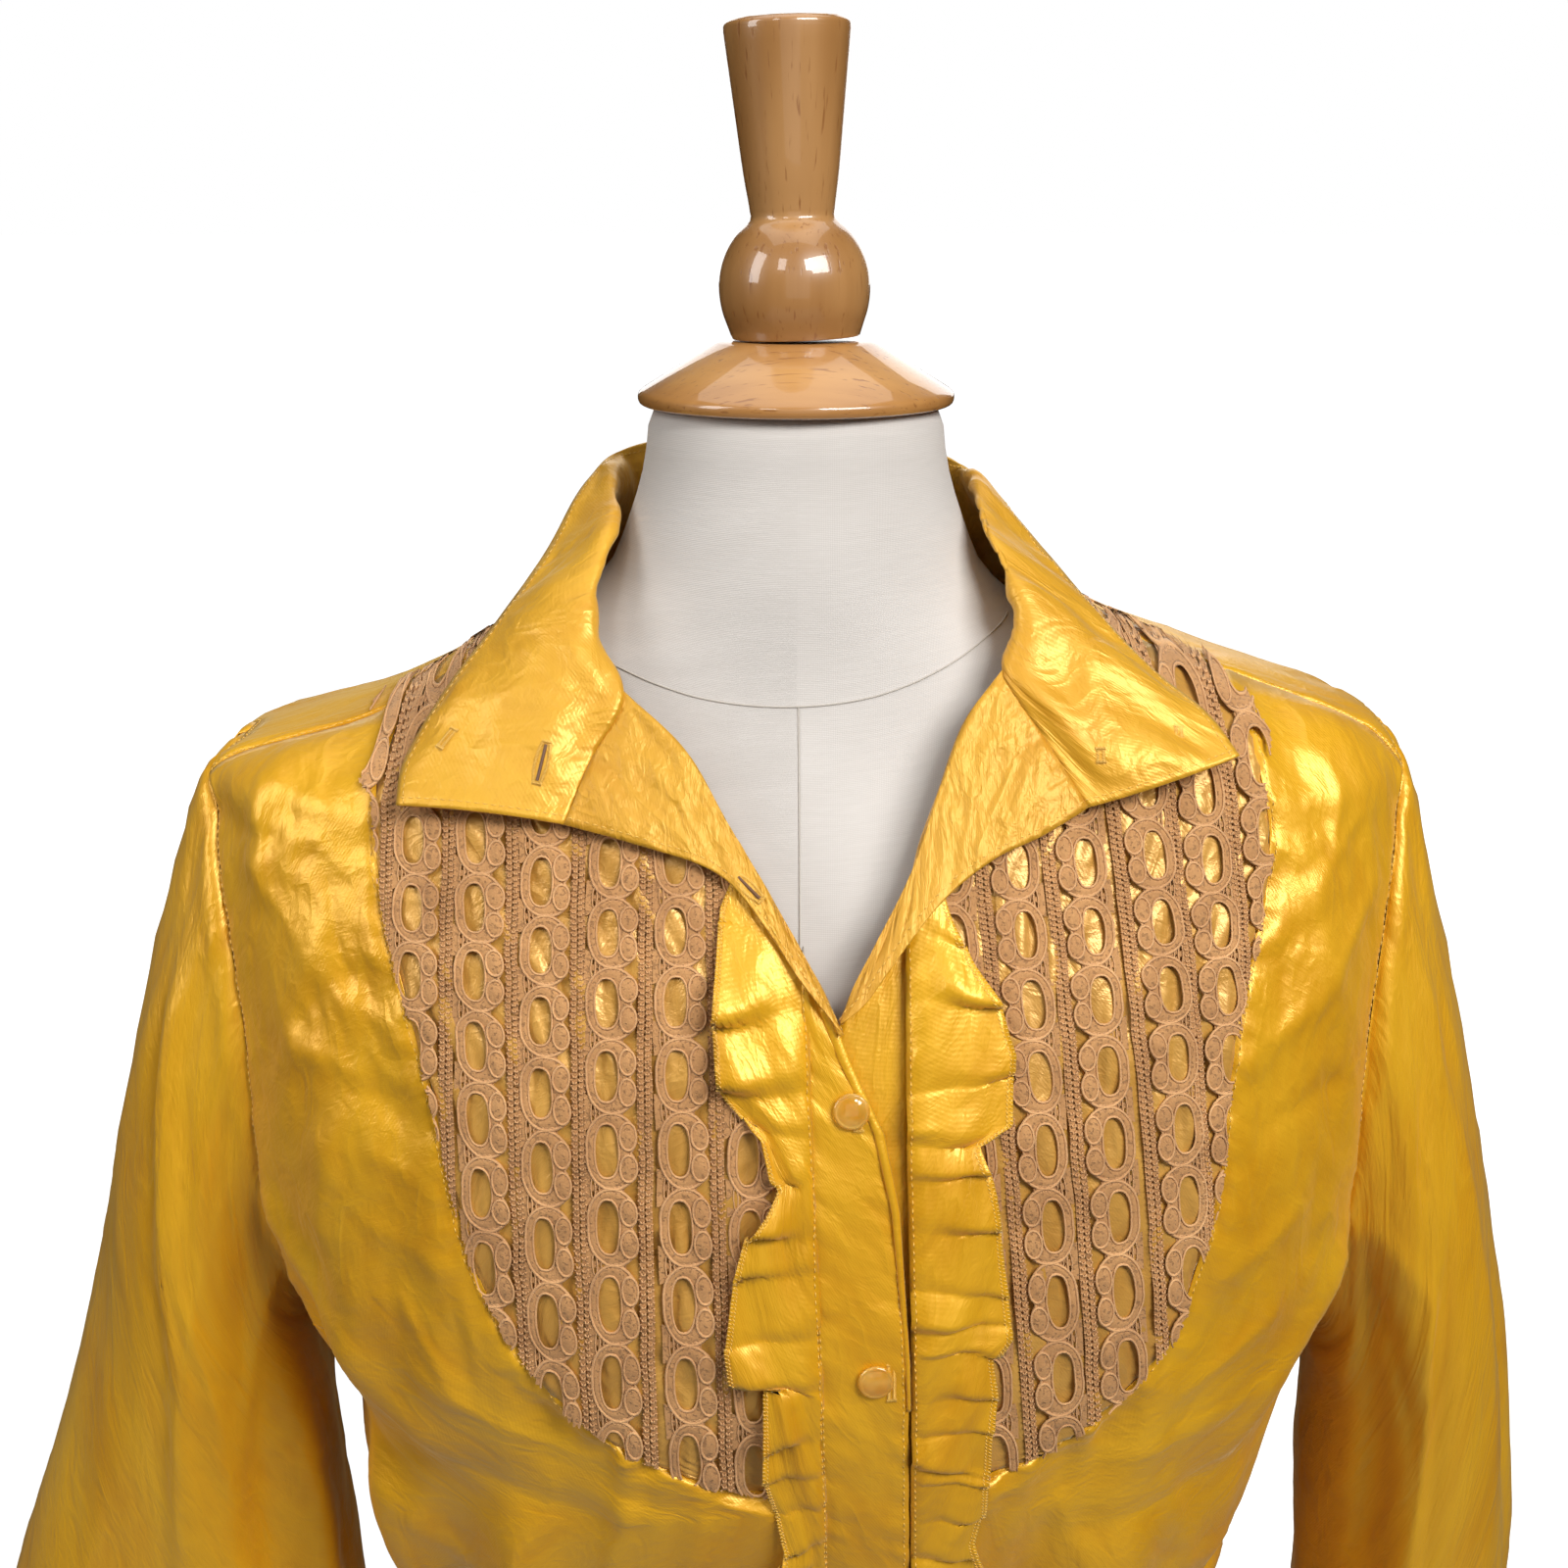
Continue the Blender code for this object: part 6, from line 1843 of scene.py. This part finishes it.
    def spread(self, side: Side, pattern: Shape) -> Shape:
        """Lays a pattern at every repeat of every band, drops what lies off the bib and puts it on the cloth.

        Args:
            side: whose bib it is.
            pattern: one repeat in millimetres: towards the centre front, down, and up from the cloth.

        Returns:
            Points in metres and faces.
        """
        points, faces = pattern
        face_corners = [np.array([face for face in faces if len(face) == corners]) for corners in (3, 4)]
        all_points, all_faces, size = [], [], 0
        outline = bib_outline(side)
        edge = np.concatenate([LACE_CORNERS[side], along(outline, np.linspace(1 / (len(outline) - 1), 0.93, 60)),
                               along(bib_inner(side), np.linspace(1, 0, 30)) + (side.value * self.under_ruffle, 0.0)])
        for number, band in enumerate(BANDS[side]):
            rough = 0.5 if number in (0, 4) else 0.28
            for row in self.repeats:
                a, b, height = points.T
                phase = 11.0 + 7.7 * number + 3.1 * row
                a = a + rough * self.shake.at(b / 6 + phase, a / 7 + 3 * number)
                b = b + rough * self.shake.at(a / 6 + 50, b / 7 + phase)
                down = row - band.rows_up + b / self.pitch
                drop = BAND_DROP + MEDALLION_PITCH * down + MEDALLION_PITCH_GROWTH * down * np.abs(down)
                x = band.x + band.lean * (drop - BAND_DROP) - side.value * a * MM
                height = height + 0.35 * self.shake.at(x / (6 * MM), drop / (6 * MM))
                flat = np.stack((x, drop), axis=-1)
                for corners in face_corners:
                    if len(corners):
                        kept = corners[inside(edge, flat[corners].mean(axis=1))]
                        all_faces += (kept + size).tolist()
                all_points.append(np.stack((x, drop, height * MM), axis=-1))
                size += len(points)
        flat = np.concatenate(all_points)
        return BODY.front_point(flat[:, 0], flat[:, 1], self.lift + flat[:, 2]), all_faces

    def build(self) -> None:
        """Makes and dresses the lace of both bibs."""
        ground = merged(self.medallion_ground(), self.net_ground())
        threads = merged(self.cords(), self.beads())
        for side in Side:
            cords = joined(f"lace_cords_{side.word}", *self.spread(side, threads))
            obj = joined(f"lace_ground_{side.word}", *self.spread(side, ground))
            for piece in (cords, obj):
                edit(piece, bpy.ops.mesh.delete_loose)
                if side is Side.RIGHT:
                    edit(piece, bpy.ops.mesh.flip_normals)
            WARDROBE.dress(cords, LACE, "lace_thread")
            WARDROBE.dress(obj, LACE_GROUND, "lace_thread", f"lace_{side.word}")


def inside(polygon: Array, places: Array) -> Array:
    """Which places lie inside a closed outline."""
    x, y = places[:, 0], places[:, 1]
    result = np.zeros(len(places), bool)
    for (x0, y0), (x1, y1) in zip(polygon, np.roll(polygon, -1, axis=0)):
        crosses = (y0 > y) != (y1 > y)
        result ^= crosses & (x < (x1 - x0) * (y - y0) / (y1 - y0 if y1 != y0 else 1e-12) + x0)
    return result


# ---- stitches and buttons ------------------------------------------------------------------------
@dataclass
class Trims:
    """Topstitching, hems, buttonholes, thread marks and the amber buttons."""

    panels: Rail
    button_radius: float = 5.7 * MM
    button_out: float = 3.2 * MM
    button_steps: int = 40
    buttonhole_column: int = 13
    profile: tuple = ((0.0, 0.42), (0.30, 0.405), (0.55, 0.355), (0.74, 0.28), (0.80, 0.262), (0.88, 0.275),
                      (0.96, 0.22), (1.0, 0.13), (0.97, 0.05), (0.86, 0.0), (0.0, 0.0))
    # Piece, edges, millimetres in from them, and the part of them that is sewn; then, where it is so, both faces.
    side_rows: tuple = (("lapel", "r", 2.4, (0.0, 1.0), True), ("cuff", "tb", 2.0), ("front", "b", 11),
                        ("front", "l", 2.2, (0.585, 1.0)), ("front", "l", 1.9, (0.02, 0.55)),
                        ("front", "r", 2.2, (0.02, 0.42)), ("ruffle", "l", 1.7))
    middle_rows: tuple = (("placket", "l", 1.8), ("yoke", "l", 2.0), ("placket", "r", 1.8), ("yoke", "rb", 2.0),
                          ("back", "b", 11))
    # Piece, shares across and down of a buttonhole's two ends, whether it gapes, and half its length.
    marks: tuple = (("collar", 0.075, 0.26, 0.040, 0.23, True, 6.2), ("collar", 0.0925, 0.81, 0.0725, 0.82, False, 3.2),
                    ("collar", 0.9425, 0.78, 0.9525, 0.74, False, 1.4),
                    ("collar", 0.9525, 0.23, 0.9625, 0.20, False, 1.6),
                    ("lapel_right", 0.75, 0.49, 0.583, 0.59, True, 5.0))

    def sew_line(self, needle: Needle, piece: str, edges: str, inset: float, span: tuple[float, float] = (0.0, 1.0),
                 both: bool = False, kind: StitchKind = StitchKind.TOPSTITCH, slant: float = 0.0) -> None:
        """Sews a row beside each edge of a panel.

        Args:
            needle: what sews it.
            piece: the panel's piece.
            edges: which edges.
            inset: millimetres in from them.
            span: the part of the edge that is sewn.
            both: the back of the cloth shows too.
            kind: the stitch.
            slant: radians off the row.
        """
        panel = self.panels[f"satin_{piece}"]
        for edge in edges:
            path, normals = panel.line(edge, inset * MM)
            first, last = (round(share * (len(path) - 1)) for share in span)
            for sign in (1, -1)[:1 + both]:
                needle.sew(path[first:last + 1], sign * normals[first:last + 1], kind, slant,
                           panel.wall / 2 + 0.10 * MM)

    def topstitching(self) -> None:
        """Sews all the gold topstitching."""
        needle = Needle()
        self.sew_line(needle, "collar", "blr", 2.6, both=True)
        for side in Side:
            for piece, *row in self.side_rows:
                self.sew_line(needle, f"{piece}_{side.word}", *row)
        for row in self.middle_rows:
            self.sew_line(needle, *row)
        WARDROBE.dress(needle.finish("gold_topstitching"), GOLD_THREAD, "satin")
        needle = Needle()
        for side in Side:
            for inset, slant in ((0.5, 1.25), (1.9, 0.5)):
                self.sew_line(needle, f"ruffle_{side.word}", "r", inset, kind=StitchKind.OVERLOCK, slant=slant)
        WARDROBE.dress(needle.finish("ruffle_hem_stitches"), GOLD_THREAD, "satin")

    def buttonhole(self, needle: Needle, shadow: list[Array], middle: Array, along_it: Array, normal: Array,
                   is_open: bool, slit: float = 6.0 * MM) -> None:
        """Works a buttonhole: two rows of close stitches with a bar at each end.

        Args:
            needle: what sews it.
            shadow: takes the painted shadow line laid in the open slit.
            middle: its middle.
            along_it: its direction.
            normal: the cloth's normal.
            is_open: the slit gapes.
            slit: half of its length.
        """
        along_it = unit(along_it - normal * (along_it @ normal))
        beside = np.cross(normal, along_it)
        gap = 1.15 * MM if is_open else 0.85 * MM
        steps = np.linspace(-1, 1, 24)[:, None]
        normals = np.repeat(normal[None], len(steps), axis=0)
        for sign in (-1, 1):
            bow = gap * (1 + (0.7 if is_open else 0.0) * (1 - steps**2)) * sign
            needle.sew(middle + along_it * steps * slit + beside * bow, normals, StitchKind.BUTTONHOLE,
                       math.pi / 2, 0.2 * MM)
            end = middle + along_it * sign * (slit + 0.5 * MM) + beside * np.linspace(-1.6, 1.6, 6)[:, None] * MM
            needle.sew(end, normals[:6], StitchKind.BUTTONHOLE, math.pi / 2, 0.25 * MM)
        # A dark cord in the open slit stands for its shade: painted shadow.
        if is_open:
            shadow.append(middle + along_it * np.linspace(-0.93, 0.93, 12)[:, None] * slit + normal * 0.12 * MM)

    def buttonholes(self) -> None:
        """Works the buttonholes of the placket, collar and lapel, and the marks of the collar's threads."""
        needle, shadow = Needle(), []
        plumb = np.array([0.0, 0.0, -1.0])
        placket = self.panels["satin_placket"]
        column = placket.points[:, self.buttonhole_column]
        normals = placket.normals()[:, self.buttonhole_column]
        for drop in BUTTON_DROPS:
            row = int(np.argmin(np.abs(column[:, 2] - (NECK_TOP_Z - drop))))
            self.buttonhole(needle, shadow, column[row] + normals[row] * 0.6 * MM, plumb, normals[row], False, 5.6 * MM)
        for piece, across, down, end_across, end_down, is_open, half in self.marks:
            panel = self.panels[f"satin_{piece}"]
            last_place = np.array(panel.points.shape[:2]) - 1
            start, end, middle = (tuple(np.rint(np.array(shares) * last_place).astype(int)) for shares in (
                (down, across), (end_down, end_across), ((down + end_down) / 2, (across + end_across) / 2)))
            for sign in (-1, 1):
                normal = sign * panel.normals()[middle]
                self.buttonhole(needle, shadow, panel.points[middle] + normal * 0.62 * MM,
                                panel.points[end] - panel.points[start], normal, is_open, half * MM)
        WARDROBE.dress(needle.finish("buttonhole_stitches"), GOLD_THREAD, "satin")
        # The slits' dark cords are painted shadow.
        WARDROBE.dress(cord_mesh("buttonhole_slits", shadow, 0.55 * MM), SHADOW_THREAD, "satin")

    def button(self, name: str, middle: Array, normal: Array, node: str) -> None:
        """Makes a domed button with a raised rim and a thread shank under it.

        Args:
            name: the piece's name.
            middle: the middle of its underside.
            normal: the way it faces.
            node: the CAD node that it stands for.
        """
        lines = len(self.profile) - 1
        obj = added(name, bpy.ops.mesh.primitive_grid_add, x_subdivisions=self.button_steps,
                    y_subdivisions=lines, size=2)
        points, _ = arrays_of(obj)
        turn = (points[:, 0] + 1) * math.pi
        row = np.rint((points[:, 1] + 1) / 2 * lines).astype(int)
        radius, height = np.array(self.profile)[row].T * self.button_radius
        spun = np.column_stack([radius * np.cos(turn), radius * np.sin(turn), height])
        across = unit(np.cross(normal, (0.0, 0.3, 1.0)))
        frame_rows = np.stack([across, np.cross(normal, across), normal])
        obj.data.vertices.foreach_set("co", (middle + spun @ frame_rows).ravel())
        edit(obj, weld, partial(bpy.ops.mesh.normals_make_consistent, inside=False))
        apply_modifier(obj, "SUBSURF", levels=1, render_levels=1)
        obj.data.shade_smooth()
        WARDROBE.dress(obj, AMBER, "amber_plastic", node)

    def buttons(self) -> None:
        """Makes the placket's and the cuffs' buttons."""
        for number, drop in enumerate(BUTTON_DROPS, 1):
            x = (line_x(STITCH_LINES[Side.RIGHT], drop) + line_x(PLACKET_EDGE, drop)) / 2 + BUTTON_ASIDE
            at = np.array([x]), np.array([drop])
            normal = BODY.outward(BODY.angle_at(*at), at[1])[0]
            self.button(f"placket_button_{number}", BODY.front_point(*at, self.button_out)[0], normal,
                        f"button_{number}")
        for side in Side:
            last = SLEEVE_ROWS[side][-1]
            middle = (side.value * (last.outer_x + 1.4 * MM), -last.forward, NECK_TOP_Z - last.outer_drop - 0.020)
            name = f"cuff_button_{side.word}"
            self.button(name, np.array(middle), np.array([side.value, 0.0, 0.0]), name)

    def build(self) -> None:
        """Makes all the trims."""
        self.topstitching()
        self.buttonholes()
        self.buttons()


# ---- the dress form ------------------------------------------------------------------------------
@dataclass
class DressForm:
    """The linen-covered torso without limbs, on its turned wooden foot, with cap and finial."""

    torso_faces: tuple[int, int] = (104, 104)
    torso_drop: float = 0.718
    finial_lean: float = -1.8
    finial_gap: float = 0.0010
    gap: float = 0.3 * MM
    turning_steps: int = 72
    seam_steps: int = 90
    cap: tuple = rows(Turning, ((25.5, 20.5), (27, 19.8), (51.5, 5), (53, 3.6), (53, 1.2), (52, 0)))
    finial: tuple = rows(Turning, (
        (18.5, 98), (20.3, 96.6), (20.5, 94.5), (17.8, 70), (15.5, 50), (14, 40), (13.8, 38), (15.2, 36.4),
        (18.5, 33.5), (22.5, 27.5), (24.8, 20), (25, 16), (24.2, 9), (22.4, 3.5), (21.2, 0),
    ))
    column: tuple = rows(Turning, (
        (34, 181.7), (34, 175.404), (25, 165.96), (19.5, 147.072), (18, 103), (19.5, 62.076), (26.5, 47.91),
        (30, 40.04), (26.5, 32.17), (36, 24.3),
    ))
    base: tuple = rows(Turning, ((40, 24), (60, 22.5), (125, 17.5), (140, 15), (149, 10.5), (150, 6), (148.5, 1.5),
                                 (146, 0)))

    def torso_places(self, across: Array, down: Array) -> Array:
        """Points of the torso, whose first and last rows close it."""
        share = np.clip((down - 0.03) / 0.91, 0.0, 1.0)
        points = FORM.plain_point(360.0 * across, self.torso_drop * share)
        reach = np.minimum(np.clip(down / 0.03, 0, 1), np.clip((1 - down) / 0.06, 0, 1))
        points[..., :2] *= reach[..., None]
        return points

    def torso(self) -> None:
        """Makes the linen torso."""
        panel = Panel.of(self.torso_faces, self.torso_places, middle=(0.0, 0.0, 0.55), wrapped=True)
        obj = panel.build("linen_torso", 0.0)
        WARDROBE.dress(obj, LINEN, "linen", "form_torso")
        places = [along(seam, np.linspace(0, 1, self.seam_steps)).T for seam in FORM_SEAMS]
        paths = [FORM.plain_point(*place) + FORM.outward(*place) * 0.15 * MM for place in places]
        WARDROBE.dress(cord_mesh("linen_seams", paths, 0.32 * MM), SEAM_THREAD, "linen")

    def turned(self, name: str, profile: Sequence[Sequence[float]], finish: VarnishedWood, node: str,
               lift: float = 0.0, lean: float = 0.0) -> None:
        """Spins a profile round the foot's axis, eases its edges and dresses it.

        Args:
            name: the piece's name.
            profile: radius and height, from the top down.
            finish: its wood.
            node: the CAD node that it stands for.
            lift: how far up it is moved.
            lean: degrees that it leans about its foot.
        """
        (first, top), *others = profile
        obj = added(name, bpy.ops.mesh.primitive_circle_add, vertices=self.turning_steps, radius=first,
                    fill_type="NGON", location=(0.0, 0.0, top))
        bpy.ops.object.transform_apply(location=True)
        bpy.ops.object.mode_set(mode="EDIT")
        bpy.ops.mesh.select_all(action="SELECT")
        for (radius, z), (wide, low) in zip(profile, others):
            bpy.ops.mesh.extrude_edges_move()
            bpy.ops.transform.resize(value=(wide / radius, wide / radius, 1.0), center_override=(0.0, 0.0, z))
            bpy.ops.transform.translate(value=(0.0, 0.0, low - z))
        bpy.ops.mesh.edge_face_add()
        bpy.ops.mesh.select_all(action="SELECT")
        bpy.ops.mesh.normals_make_consistent(inside=False)
        bpy.ops.object.mode_set(mode="OBJECT")
        apply_modifier(obj, "BEVEL", width=0.9 * MM, segments=3, limit_method="ANGLE", angle_limit=math.radians(32))
        bpy.ops.object.shade_smooth_by_angle(angle=math.radians(38))
        if lean:
            obj.rotation_euler, obj.location = (0.0, math.radians(lean), 0.0), (0.0, 0.0, lift)
            select_only(obj)
            bpy.ops.object.transform_apply(location=True, rotation=True)
        WARDROBE.dress(obj, finish, "turned_wood", node)

    @staticmethod
    def smoothed(profile: Sequence[tuple[float, float]], *corners: int, steps: int = 6) -> list[tuple[float, float]]:
        """A turned profile with more points between its corners."""
        fine: list[tuple[float, float]] = []
        for start, end in zip(corners, corners[1:]):
            part = along(profile[start:end + 1], np.linspace(0, 1, steps * (end - start) + 1))
            fine += [tuple(row) for row in part.tolist()[bool(fine):]]
        return fine

    def build(self) -> None:
        """Makes and dresses the whole form."""
        self.torso()
        top = NECK_TOP_Z + self.gap
        cap = [(radius, top + z) for radius, z in self.cap]
        self.turned("wooden_neck_cap", cap, FLAT_WOOD, "neck_cap")
        finial = self.smoothed(self.finial, 0, 2, 3, 7, 15)
        self.turned("wooden_finial", finial, UPRIGHT_WOOD, "finial", top + self.cap[0].height + self.finial_gap,
                    self.finial_lean)
        self.turned("wooden_column", self.smoothed(self.column, 0, 1, 6, 8, 9), UPRIGHT_WOOD, "pedestal_column")
        self.turned("wooden_base", self.smoothed(self.base, 0, 1, 3, 6, 7), FLAT_WOOD, "base_disc")


# ---- the studio ----------------------------------------------------------------------------------
@dataclass
class Studio:
    """Pale floor, soft lights and the camera at the photograph's angle."""

    camera_place: Triple = (-0.004, -0.62, 0.9646)
    camera_tilt: float = 17.8
    lens: float = 41.625

    # Name, place, height aimed at, width and height, and watts.
    lights: tuple = (
        ("key", (1.45, -1.6, 2.2), 0.75, (1.2, 1.0), 53.0), ("overhead", (0.0, 0.2, 3.0), 0.7, (2.4, 2.4), 23.0),
        ("left", (-1.9, -0.9, 1.8), 0.8, (0.7, 1.6), 23.0), ("front", (0.2, -2.4, 1.2), 0.8, (1.6, 1.6), 4.0),
        ("back", (0.2, 2.4, 1.6), 0.8, (2.0, 1.6), 18.0), ("bounce", (0.0, -0.6, -0.6), 0.6, (3.0, 3.0), 6.0),
        ("window_left", (-0.35, -0.9, 1.55), 0.95, (0.22, 0.32), 1.6),
        ("window_right", (0.40, -0.9, 1.55), 0.95, (0.22, 0.32), 5.0),
    )

    def light(self, name: str, place: Sequence[float], aim: float, size: tuple[float, float], power: float) -> None:
        """Adds a soft rectangular light.

        Args:
            name: the light's name.
            place: where it hangs.
            aim: the height on the foot's axis that it points at.
            size: its width and height in metres.
            power: watts.
        """
        lamp = added(name, bpy.ops.object.light_add, type="AREA", location=place)
        lamp.data.shape, lamp.data.energy, (lamp.data.size, lamp.data.size_y) = "RECTANGLE", power, size
        lamp.rotation_euler = (Vector((0.0, 0.0, aim)) - Vector(place)).to_track_quat("-Z", "Y").to_euler()

    def build(self) -> None:
        """Makes the floor, lights, world and camera."""
        floor = added("studio_floor", bpy.ops.mesh.primitive_circle_add, vertices=64, radius=60.0, fill_type="NGON")
        floor.data.materials.append(StudioFloor().material())
        floor.visible_diffuse = floor.visible_glossy = floor.visible_shadow = False
        world = bpy.data.worlds.new("studio")
        bpy.context.scene.world = world
        world.use_nodes = True
        background = world.node_tree.nodes["Background"]
        background.inputs["Color"].default_value = (1.0, 1.0, 1.0, 1.0)
        background.inputs["Strength"].default_value = 1.0
        world.cycles_visibility.diffuse = world.cycles_visibility.glossy = False
        for light in self.lights:
            self.light(*light)
        deselect()
        bpy.ops.object.camera_add(location=self.camera_place, rotation=(math.radians(90 - self.camera_tilt), 0, 0))
        camera = bpy.context.active_object
        camera.data.sensor_width, camera.data.lens = 36.0, self.lens
        bpy.context.scene.camera = camera
        bpy.context.scene.view_settings.view_transform = "Standard"


def main() -> None:
    """Builds the studio, the form and the blouse."""
    logging.basicConfig(level=logging.INFO, stream=sys.stdout, format="%(name)s %(message)s")
    Studio().build()
    DressForm().build()
    rail = Rail()
    for part in (BlouseBody(), Sleeves(), CollarAndLapels(), Closure()):
        part.build(rail)
    LaceBands().build()
    Trims(rail).build()


if __name__ == "__main__":
    main()
